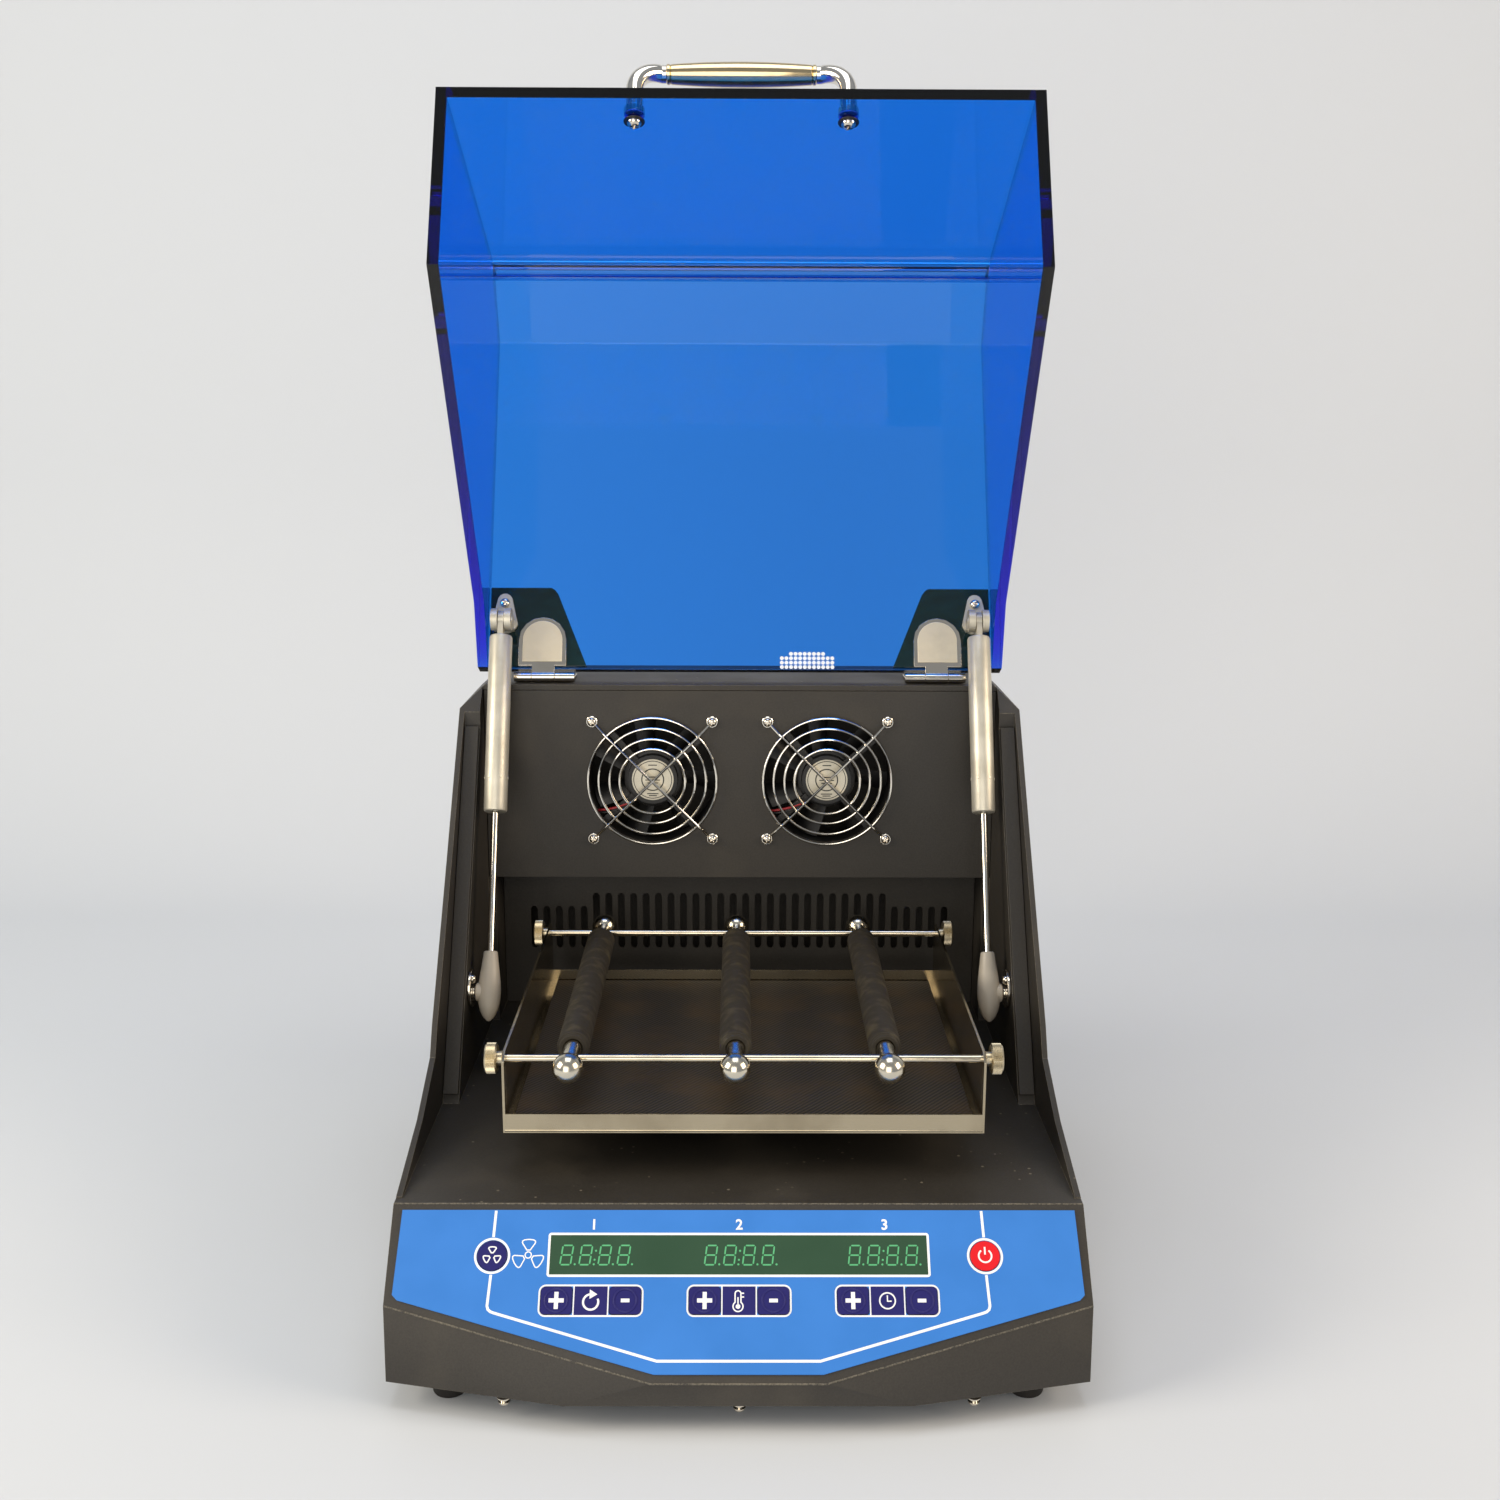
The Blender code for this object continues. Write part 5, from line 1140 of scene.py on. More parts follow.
class DotField:
    """Printed round dots in rows and columns, laid out by Geometry Nodes."""

    def __init__(self) -> None:
        """Builds the tree: a grid of points with a flat disc on each."""
        grow = GrowTree("print_dots")
        columns, rows = (grow.opened(name, "NodeSocketInt") for name in ("Columns", "Rows"))
        names = ("Across", "Up", "Radius", "Thick")
        across, up, radius, thick = (grow.opened(name, "NodeSocketFloat") for name in names)
        sizes = {"Vertices X": columns, "Vertices Y": rows, "Size X": across, "Size Y": up}
        grid = grow.node("GeometryNodeMeshGrid", links=sizes)
        disc = grow.node("GeometryNodeMeshCylinder", {"Vertices": 14}, {"Radius": radius, "Depth": thick})
        self.grow = grow.closed(grow.strewn(grid.outputs["Mesh"], disc.outputs["Mesh"]))

    def drawn(
        self, columns: int, rows: int, pitch: float, radius: float, thick: float, coat: Finish
    ) -> bmesh.types.BMesh:
        """A field of dots round the origin.

        Args:
            columns: Dots in a row.
            rows: Rows.
            pitch: From one dot to the next.
            radius: A dot's radius.
            thick: A dot's thickness.
            coat: Its finish.

        Returns:
            The dots as a mesh, in millimetres.
        """
        values = {
            "Columns": columns,
            "Rows": rows,
            "Across": pitch * (columns - 1),
            "Up": pitch * (rows - 1),
            "Radius": radius,
            "Thick": thick,
            "Coat": coat.material(),
        }
        return opened(self.grow.grown(bpy.data.meshes.new("blank"), values))


class KnurledRim:
    """Straight knurling: Geometry Nodes set sharp ridges round a turned knob."""

    def __init__(self) -> None:
        """Builds the tree: a ring of points, each with a square bar turned on its corner."""
        grow = GrowTree("knurl_rim")
        count = grow.opened("Count", "NodeSocketInt")
        radius = grow.opened("Radius", "NodeSocketFloat")
        bar = grow.opened("Ridge", "NodeSocketVector")
        ring = grow.node("GeometryNodeMeshCircle", links={"Vertices": count, "Radius": radius})
        cube = grow.node("GeometryNodeMeshCube", links={"Size": bar})
        place = grow.node("GeometryNodeInputPosition")
        outwards = {"axis": "X", "pivot_axis": "Z"}
        aim = grow.node("FunctionNodeAlignRotationToVector", outwards, {"Vector": place.outputs["Position"]})
        corner = grow.node("FunctionNodeEulerToRotation", {"Euler": (0, 0, math.pi / 4)})
        ridges = grow.strewn(ring.outputs["Mesh"], cube.outputs["Mesh"], Rotation=grow.turned(aim, corner))
        both = grow.node("GeometryNodeJoinGeometry")
        for part in (grow.start.outputs["Geometry"], ridges):
            grow.tree.links.new(part, both.inputs["Geometry"])
        self.grow = grow.closed(both.outputs["Geometry"])

    def drawn(self, count: int, radius: float, ridge: float, long: float, coat: Finish) -> bmesh.types.BMesh:
        """The ridges of one knob.

        Args:
            count: How many there are.
            radius: How far out they sit.
            ridge: The side of their square section.
            long: Their length along Z.
            coat: Their finish.

        Returns:
            The ridges round the origin as a mesh, in millimetres.
        """
        values = {"Count": count, "Radius": radius, "Ridge": (ridge, ridge, long), "Coat": coat.material()}
        return opened(self.grow.grown(bpy.data.meshes.new("blank"), values))


@dataclass
class Housing:
    """Powder-coated shell with its base pan, feet, fan wall, slotted duct panel and seals."""

    edge: float = 0.9
    sheet_edge: float = 0.35
    foot_x: float = 137.0
    foot_front_y: float = -268.0
    foot_rear_y: float = 50.0
    foot_high: float = 11.4
    pan_under: float = 11.7
    pan_screws: tuple[Pair, ...] = ((-108, -292.0), (0.4, -297.0), (108.7, -292.0), (-120, 60), (120, 60))
    shank: float = 2.2
    washer: float = 3.3
    screw: float = 2.9
    crease: float = 0.5
    crease_end: float = 163.6
    crease_middle: float = 40.0
    fold_side: Pair = (-282.3, 51.76)
    fold_middle: Pair = (-305.67, 26.25)
    fold_deck: Pair = (-250.0, 87.0)
    back_screws: tuple[Pair, ...] = ((-152, 276), (0, 284), (152, 276), (-152, 30), (152, 30), (152, 150), (-152, 150))

    def build(self, screws: Screws) -> None:
        """Builds every sheet-metal piece of the case.

        Args:
            screws: The screw setter.
        """
        # The shell's bevelled edges take the paler coat, a painted edge highlight.
        dressed("housing_shell", "case_shell", Finishes.powder, "chassis", self.edge, edge=Finishes.rubbed)
        for node, name in (
            ("base_pan", "base_pan_sheet"),
            ("fan_wall", "fan_bulkhead"),
            ("duct_panel", "duct_panel_sheet"),
            ("seal_left", "seal_left_sheet"),
            ("seal_right", "seal_right_sheet"),
        ):
            dressed(node, name, Finishes.powder, "chassis", self.sheet_edge)
        self.build_feet()
        self.build_creases()
        collars = Shape()
        wide, high = self.washer, self.shank
        ring = [(0, 0), (wide, 0), (wide, 0.6), (2.0, 0.9), (2.0, high), (0, high)]
        for x, y in self.pan_screws:
            collars.lathe(ring, (x, y, self.pan_under), (0, 0, -1), 28)
        collars.piece(Tag("pan_screw_washers", Finishes.polished, "chassis"))
        under = [((x, y, self.pan_under - high), (0, 0, -1)) for x, y in self.pan_screws]
        screws.set(Tag("pan_screws", Finishes.polished, "chassis"), under, self.screw)
        back = [((x, HOUSING_BACK_MM, z), (0, 1, 0)) for x, z in self.back_screws]
        screws.set(Tag("back_screws", Finishes.black, "chassis"), back, self.screw)

    def build_creases(self) -> None:
        """Lays a thin pale line along the folds of the fascia and the deck's front edge: a painted highlight."""
        shape = Shape()
        inset = Vector((0, self.crease / 2, -self.crease / 3))
        side, middle = self.crease_end, self.crease_middle
        chin = [(-side, *self.fold_side), (-middle, *self.fold_middle)]
        chin += [(-x, y, z) for x, y, z in reversed(chin)]
        for path in (chin, [(-side, *self.fold_deck), (side, *self.fold_deck)]):
            shape.sweep([Vector(point) + inset for point in path], self.crease, 12)
        # These pale fold lines are a painted highlight.
        shape.piece(Tag("case_fold_lines", Finishes.rubbed, "chassis"))

    def build_feet(self) -> None:
        """Moulds the four round rubber feet with a hollow under each."""
        sole = [(0, 1.4), (3.0, 1.4), (3.6, 0.3), (4.2, 0.0), (7.0, 0.0), (7.7, 0.3), (8.1, 1.1)]
        profile = sole + [(9.0, self.foot_high), (0, self.foot_high)]
        for end, y in (("front", self.foot_front_y), ("rear", self.foot_rear_y)):
            for side in Side:
                node = f"foot_{end}_{side.word}"
                shape = Shape().lathe(profile, (side.value * self.foot_x, y, 0), (0, 0, 1), 40)
                shape.piece(Tag(f"{node}_pad", Finishes.foot, "chassis", (node,)))


@dataclass
class Fan:
    """Square axial fan behind its wire guard: frame, bladed impeller, foil label, leads and screws."""

    side: Side
    x: float = 52.2
    z: float = 238.3
    bore: float = 38.4
    hole: float = 35.75
    front: float = 2.3
    base_deep: float = 4.5
    label_radius: float = 12.5
    hub_radius: float = 17.5
    hub_deep: float = 17.0
    blade_tip: float = 37.2
    blade_count: int = 7
    wire: float = 0.78
    ring_shares: tuple[float, ...] = (1.0, 0.836, 0.667, 0.511)
    stand: float = 3.2
    leg_stand: float = 4.5
    eye: float = 3.4
    eye_thick: float = 1.2
    eye_bore: float = 1.9
    label_thick: float = 0.12
    print_rings: tuple[Pair, ...] = ((11.6, 0.45), (6.9, 0.7))
    print_bars: tuple[Pair, ...] = ((8.9, 2.6), (-8.6, 3.4), (-9.8, 2.4), (1.6, 3.6), (-0.2, 4.4), (-2.0, 3.2))
    bar_half: float = 0.3
    lead_radius: float = 0.7
    screw: float = 2.7

    @property
    def middle(self) -> float:
        """The fan's place across."""
        return self.side.value * self.x

    @property
    def corners(self) -> list[Pair]:
        """The four screw places across and up."""
        ways = [(across, up) for across in (-1, 1) for up in (-1, 1)]
        return [(self.middle + across * self.hole, self.z + up * self.hole) for across, up in ways]

    def build(self, screws: Screws) -> None:
        """Builds the whole fan.

        Args:
            screws: The screw setter.
        """
        word = self.side.word
        dressed(f"fan_frame_{word}", f"fan_case_{word}", Finishes.black, "chassis", 0.4)
        self.build_impeller()
        self.build_guard()
        self.build_label()
        self.build_leads()
        heads = [((x, -0.3 - self.eye_thick, z), (0, -1, 0)) for x, z in self.corners]
        screws.set(Tag(f"fan_screws_{word}", Finishes.polished, "chassis"), heads, self.screw)

    def build_label(self) -> None:
        """Lays the round foil label on the hub's base, with plain rings and bars as its print."""
        word, middle = self.side.word, self.middle
        seat = (middle, self.front - 0.02, self.z)
        wide, thick = self.label_radius, self.label_thick
        label = Shape().lathe([(0, 0), (wide, 0), (wide, thick), (0, thick)], seat, (0, -1, 0), 48)
        label.piece(Tag(f"fan_label_{word}", Finishes.label, "chassis"))
        printed = Shape()
        for radius, width in self.print_rings:
            ring = [(radius - width, 0.1), (radius, 0.1), (radius, 0.18), (radius - width, 0.18)]
            printed.lathe(ring, seat, (0, -1, 0), 48, ring=True)
        for height, half in self.print_bars:
            low, high = self.z + height - self.bar_half, self.z + height + self.bar_half
            bar = [(middle - half, low), (middle + half, low), (middle + half, high), (middle - half, high)]
            printed.prism(bar, self.front - 0.2, self.front - 0.1, Axis.Y)
        printed.piece(Tag(f"fan_label_print_{word}", Finishes.black, "chassis"))

    def build_impeller(self) -> None:
        """Moulds the hub cup and its curved, twisted blades."""
        start = self.front + self.base_deep + 0.3
        r, d = self.hub_radius, self.hub_deep
        cup = [(0, 0.8), (r - 3.2, 0.8), (r - 2.4, 0), (r - 1.0, 0), (r - 0.25, 0.4), (r, 1.2), (r, d), (0, d)]
        shape = Shape().lathe(cup, (self.middle, start, self.z), (0, 1, 0), 56)
        for index in range(self.blade_count):
            lean = Matrix.Rotation(2 * math.pi * index / self.blade_count, 4, "Y")
            shape.take(self.blade(start + d / 2), Matrix.Translation((self.middle, 0, self.z)) @ lean)
        body = f"fan_impeller_{self.side.word}"
        shape.piece(Tag(f"fan_rotor_{self.side.word}", Finishes.black, body, (body,)))

    def blade(self, depth: float) -> bmesh.types.BMesh:
        """One blade, swept and twisted from root to tip.

        Args:
            depth: How far back the blade's middle sits.

        Returns:
            The blade along +X from the axis.
        """
        part = bmesh.new()
        spans, chords = 8, 6
        rows = []
        for i in range(spans + 1):
            t = i / spans
            radius = self.hub_radius - 1.5 + (self.blade_tip - self.hub_radius + 1.5) * t
            pitch = math.radians(46 - 14 * t)
            chord = 12.5 + 3.5 * t
            front, back = [], []
            for j in range(chords + 1):
                s = j / chords - 0.5
                camber = 1.6 * (1 - 4 * s * s)
                along = s * chord
                swing = (along * math.cos(pitch) + camber * math.sin(pitch)) / radius + 0.10 * t
                deep = depth + along * math.sin(pitch) * 0.9 - camber * math.cos(pitch)
                half = 0.7 * (1 - 1.2 * s * s)
                for row, sign in ((front, -1), (back, 1)):
                    point = (radius * math.cos(swing), deep + sign * half, -radius * math.sin(swing))
                    row.append(part.verts.new(point))
            rows.append(front + back[::-1])
        return skinned(part, rows)

    def build_guard(self) -> None:
        """Bends and welds the wire guard: rings, two crossed legs and four eyelets."""
        shape = Shape()
        for share in self.ring_shares:
            loop = arc((self.middle, self.z), share * self.bore, 0, 360, 72)[:-1]
            shape.sweep([(x, -self.stand, z) for x, z in loop], self.wire, 10, closed=True)
        low = -0.3 - self.wire
        near = self.hole - self.eye / 2
        far = self.bore / math.sqrt(2) + 1.0
        for slope in (-1, 1):
            half = [(-near, low, -near * slope), (-far, -self.leg_stand, -far * slope)]
            path = half + [(-x, y, -z) for x, y, z in reversed(half)]
            bent = [Vector((self.middle, 0, self.z)) + point for point in softened(path, 3.0)]
            shape.sweep(bent, self.wire, 10)
        bore, wide, thick = self.eye_bore, self.eye, self.eye_thick
        ring = [(bore, 0.0), (wide - 0.2, 0.0), (wide, 0.25), (wide, thick - 0.25), (wide - 0.3, thick), (bore, thick)]
        for x, z in self.corners:
            shape.lathe(ring, (x, -0.3, z), (0, -1, 0), 28, ring=True)
        word = self.side.word
        shape.piece(Tag(f"fan_guard_wire_{word}", Finishes.chrome, "chassis", (f"fan_guard_{word}",)))

    def build_leads(self) -> None:
        """Lays the fan's two fixed leads along the lower left of the frame, clipped at both ends."""
        route = ((13.0, 1.2, 14.0), (22.0, 0.9, 17.5), (30.0, 1.0, 19.0), (37.5, 4.0, 20.0))
        for name, finish, drop in (("red", Finishes.lead_red, 0.0), ("black", Finishes.lead_black, 1.7)):
            path = [(self.middle - out, self.front + deep, self.z - down - drop) for out, deep, down in route]
            lead = Shape().sweep(softened(path, 4.0), self.lead_radius, 10)
            lead.piece(Tag(f"fan_lead_{name}_{self.side.word}", finish, "chassis"))


@dataclass
class LidForm:
    """The bent lid drawn closed about its hinge axis, as (y, z) pairs from that axis, and its open turn."""

    hinge: Pair = (9.0, 299.3)
    open_turn: float = math.radians(117)
    half: float = 156.4
    thick: float = 6.0
    rear: Pair = (-6.0, 3.0)
    bend_top: Pair = (-217.8, -3.8)
    bend_front: Pair = (-249.8, -38.2)
    free: Pair = (-241.4, -211.0)
    cheek_kink: Pair = (-146.0, -211.0)
    cheek_knee: Pair = (-38.0, -24.5)
    cheek_rear: Pair = (-6.0, -0.5)

    def turn(self) -> Matrix:
        """Swings what is drawn closed to its open place."""
        return Matrix.Translation((0, *self.hinge)) @ Matrix.Rotation(-self.open_turn, 4, "X")

    def panel(self) -> Matrix:
        """Turns (across, along the long panel, inwards) into the closed lid's axes.

        Returns:
            The matrix.
        """
        start = Vector(self.rear)
        along = (Vector(self.bend_top) - start).normalized()
        inward = Vector((-along.y, along.x))
        turn = Matrix(((1, 0, 0), (0, along.x, inward.x), (0, along.y, inward.y))).to_4x4()
        return Matrix.Translation((0, start.x, start.y)) @ turn

    def line(self, off: float, inner_bend: float) -> list[Pair]:
        """The sheet's line moved outwards, its two bends rounded.

        Args:
            off: How far out from the inner face.
            inner_bend: The radius of a bend on the inner face.

        Returns:
            (y, z) pairs from the hinge edge to the free edge.
        """
        corners = [Vector(p) for p in (self.rear, self.bend_top, self.bend_front, self.free)]
        turns = [(b - a).normalized() for a, b in zip(corners, corners[1:])]
        outs = [Vector((t.y, -t.x)) for t in turns]
        points = [corners[0] + outs[0] * off]
        for here, before, after in zip(corners[1:3], outs, outs[1:]):
            middle = (before + after).normalized()
            centre = here - middle * (inner_bend / middle.dot(before))
            start = math.atan2(before.y, before.x)
            sweep = math.atan2(after.y, after.x) - start
            for index in range(9):
                angle = start + sweep * index / 8
                reach = inner_bend + off
                points.append(centre + Vector((math.cos(angle), math.sin(angle))) * reach)
        points.append(corners[3] + outs[2] * off)
        return [tuple(point) for point in points]

    def front_seat(self, from_edge: float) -> tuple[Vector, Vector, Vector]:
        """A seat on the front panel's outer face.

        Args:
            from_edge: How far back from the free edge.

        Returns:
            The seat, the way back along the panel and the way out of it, as (y, z).
        """
        outer = self.line(self.thick, 0.01)
        free, bend = Vector(outer[-1]), Vector(outer[-2])
        back = (bend - free).normalized()
        out = Vector((-back.y, back.x))
        return free + back * from_edge, back, out


@dataclass
class Lid:
    """Tinted lid with its corner plates, hinges, strut forks, vent print and bow handle."""

    form: LidForm = field(default_factory=LidForm)
    bend: float = 1.2
    edge: float = 0.45
    handle_x: float = 56.0
    handle_seat: float = 20.0
    post: float = 4.6
    foot: float = 5.6
    foot_high: float = 5.0
    stand: float = 26.0
    bow: float = 14.0
    sweep: float = 7.0
    grip_end: float = 5.2
    grip_mid: float = 6.6
    leaf_x: Pair = (103.8, 132.2)
    leaf_long: float = 30.8
    leaf_border: float = 2.4
    leaf_foot: float = 3.2
    leaf_face: float = 5.0
    dot_pitch: float = 2.75
    dot_radius: float = 1.2
    dot_x: float = 40.2
    dot_up: float = 1.6
    fork_x: float = 141.0
    fork_up: float = 39.3
    fork_face: float = 5.9
    screw: float = 4.0

    def build(self, screws: Screws, dots: DotField) -> None:
        """Builds the lid and all that swings with it.

        Args:
            screws: The screw setter.
            dots: The dot printer.
        """
        self.build_sheet()
        self.build_fittings(screws)
        self.build_handle(screws)
        self.build_dots(dots)

    def build_sheet(self) -> None:
        """Bends the sheet with its two bonded cheeks, as one clear body."""
        form = self.form
        outer, inner = form.line(form.thick, self.bend), form.line(0, self.bend)
        cheek = [form.cheek_kink, form.cheek_knee, form.cheek_rear]
        part = bmesh.new()
        columns = []
        for x in (-form.half, -form.half + form.thick, form.half - form.thick, form.half):
            columns.append([[part.verts.new((x, y, z)) for y, z in line] for line in (outer, inner, cheek)])
        for index, (first, second) in enumerate(zip(columns, columns[1:])):
            runs = [(first[0], second[0])]
            if index == 1:
                runs.append((first[1], second[1]))
            for end in (-1, 0):
                runs.append(([first[0][end], first[1][end]], [second[0][end], second[1][end]]))
            if index != 1:
                runs.append(tuple([rows[1][-1], *rows[2], rows[1][0]] for rows in (first, second)))
            for near, far in runs:
                for a in range(len(near) - 1):
                    part.faces.new((near[a], near[a + 1], far[a + 1], far[a]))
        for rows in (columns[0], columns[3]):
            part.faces.new(rows[0] + rows[1][-1:] + rows[2] + rows[1][:1])
        for rows in columns[1:3]:
            part.faces.new(rows[1] + rows[2])
        bmesh.ops.recalc_face_normals(part, faces=part.faces)
        shape = Shape().take(part, form.turn())
        tag = Tag("lid_sheet", Finishes.acrylic, "lid", ("lid_cover",))
        shape.piece(tag, ease=self.edge, segments=2, angle=math.radians(40))

    def build_fittings(self, screws: Screws) -> None:
        """Dresses the corner plates, hinge leaves and strut forks, with their screws.

        Args:
            screws: The screw setter.
        """
        for side in Side:
            word = side.word
            dressed(f"corner_plate_{word}", f"lid_corner_{word}", Finishes.corner, "lid", 0.4)
            dressed(f"hinge_lid_leaf_{word}", f"lid_leaf_{word}", Finishes.polished, "lid", 0.3)
            dressed(f"hinge_base_leaf_{word}", f"case_leaf_{word}", Finishes.polished, "chassis", 0.3)
            self.build_leaf_face(side)
            dressed(f"strut_fork_{word}", f"lid_fork_{word}", Finishes.satin, "lid", 0.6, 3)
        spot = self.form.turn() @ self.form.panel()
        inward = spot.to_3x3() @ Vector((0, 0, 1))
        for side in Side:
            place = spot @ Vector((side.value * self.fork_x, self.fork_up, self.fork_face))
            screws.set(Tag(f"fork_screw_{side.word}", Finishes.polished, "lid"), [(place, inward)], 3.0)

    def build_leaf_face(self, side: Side) -> None:
        """Presses the raised champagne field of a hinge leaf, inside its bevelled border.

        Args:
            side: The hinge's side.
        """
        low, high = self.leaf_x
        middle, half = (low + high) / 2, (high - low) / 2 - self.leaf_border
        crown = self.leaf_long - self.leaf_border - half
        x = side.value * middle
        outline = [(x - half, self.leaf_foot), *arc((x, crown), half, 180, 0, 24), (x + half, self.leaf_foot)]
        shape = Shape().prism(outline, self.leaf_face, self.leaf_face + 0.45)
        shape.moved(self.form.turn() @ self.form.panel())
        shape.piece(Tag(f"lid_leaf_face_{side.word}", Finishes.face, "lid"), ease=0.3)

    def build_handle(self, screws: Screws) -> None:
        """Bends the bow handle with its swollen grip, collars, feet, washers and screws.

        Args:
            screws: The screw setter.
        """
        form = self.form
        seat, back, out = form.front_seat(self.handle_seat)

        def spot(x: float, lift: float, slide: float) -> tuple[float, float, float]:
            """A point over the seat.

            Args:
                x: Its place across.
                lift: How far out of the panel.
                slide: How far back along it.

            Returns:
                The point in the closed lid's axes.
            """
            point = seat + out * lift + back * slide
            return (x, point.x, point.y)

        bow = Shape()
        straight = self.stand - self.bow
        path = []
        for side, order in ((-1, 1), (1, -1)):
            half = [spot(side * self.handle_x, self.foot_high / 2, 0)]
            for step in range(13):
                turn = math.pi / 2 * step / 12
                fall = 1 - math.cos(turn)
                across = side * (self.handle_x - self.bow * fall)
                half.append(spot(across, straight + self.bow * math.sin(turn), self.sweep * fall))
            path += half[::order]
        bow.sweep(path, self.post, 24)
        wide, high = self.foot, self.foot_high
        foot = [(0, 0.3), (wide - 0.4, 0.3), (wide, 0.8), (wide, high - 0.8), (wide - 0.8, high), (0, high)]
        normal = Vector((0, out.x, out.y))
        for side in (-1, 1):
            bow.lathe(foot, spot(side * self.handle_x, 0, 0), normal, 40)
        bow.moved(form.turn())
        bow.piece(Tag("handle_bow", Finishes.chrome, "lid", ("lid_handle",)))
        self.build_grip(spot(0, self.stand, self.sweep))
        self.build_seats([spot(side * self.handle_x, -form.thick, 0) for side in (-1, 1)], normal, screws)

    def build_grip(self, middle: Spot) -> None:
        """Turns the swollen grip with a collar at each end.

        Args:
            middle: Its middle in the closed lid's axes.
        """
        half = self.handle_x - self.bow - 2.0
        profile = [(0, -half), (self.grip_end - 0.9, -half), (self.grip_end, -half + 0.7), (self.grip_end, -half + 2)]
        profile.append((self.grip_end - 0.5, -half + 2.4))
        for step in range(17):
            share = 2 * step / 16 - 1
            swell = self.grip_end - 0.1 + (self.grip_mid - self.grip_end) * (1 - share * share)
            profile.append((swell, share * (half - 2.9)))
        profile += mirrored(profile[:5])
        grip = Shape().lathe(profile, middle, (1, 0, 0), 48).moved(self.form.turn())
        grip.piece(Tag("handle_grip", Finishes.grip, "lid"))

    def build_seats(self, seats: Sequence[Spot], normal: Vector, screws: Screws) -> None:
        """Sets a washer and a screw inside the lid under each end of the handle.

        Args:
            seats: Their places in the closed lid's axes.
            normal: The way out of the panel there.
            screws: The screw setter.
        """
        turn = self.form.turn()
        washers = Shape()
        ring = [(2.0, 0.05), (5.4, 0.05), (5.6, 0.3), (5.4, 0.7), (2.0, 0.7)]
        heads = []
        for below in seats:
            washers.lathe(ring, below, -normal, 40, ring=True)
            heads.append((turn @ (Vector(below) - normal * 0.7), turn.to_3x3() @ -normal))
        washers.moved(turn)
        washers.piece(Tag("handle_washers", Finishes.black, "lid"))
        screws.set(Tag("handle_screws", Finishes.polished, "lid"), heads, self.screw)

    def build_dots(self, dots: DotField) -> None:
        """Prints the white vent dots near the lid's rear edge: one short row and three long ones.

        Args:
            dots: The dot printer.
        """
        place = self.form.turn() @ self.form.panel()
        shape = Shape()
        for columns, rows, step in ((12, 3, 1), (8, 1, 3)):
            up = self.dot_up + step * self.dot_pitch
            field_of_dots = dots.drawn(columns, rows, self.dot_pitch, self.dot_radius, 0.06, Finishes.ink)
            shape.take(field_of_dots, place @ Matrix.Translation((self.dot_x, up, 0.05)))
        shape.piece(Tag("vent_dots", Finishes.ink, "lid"))


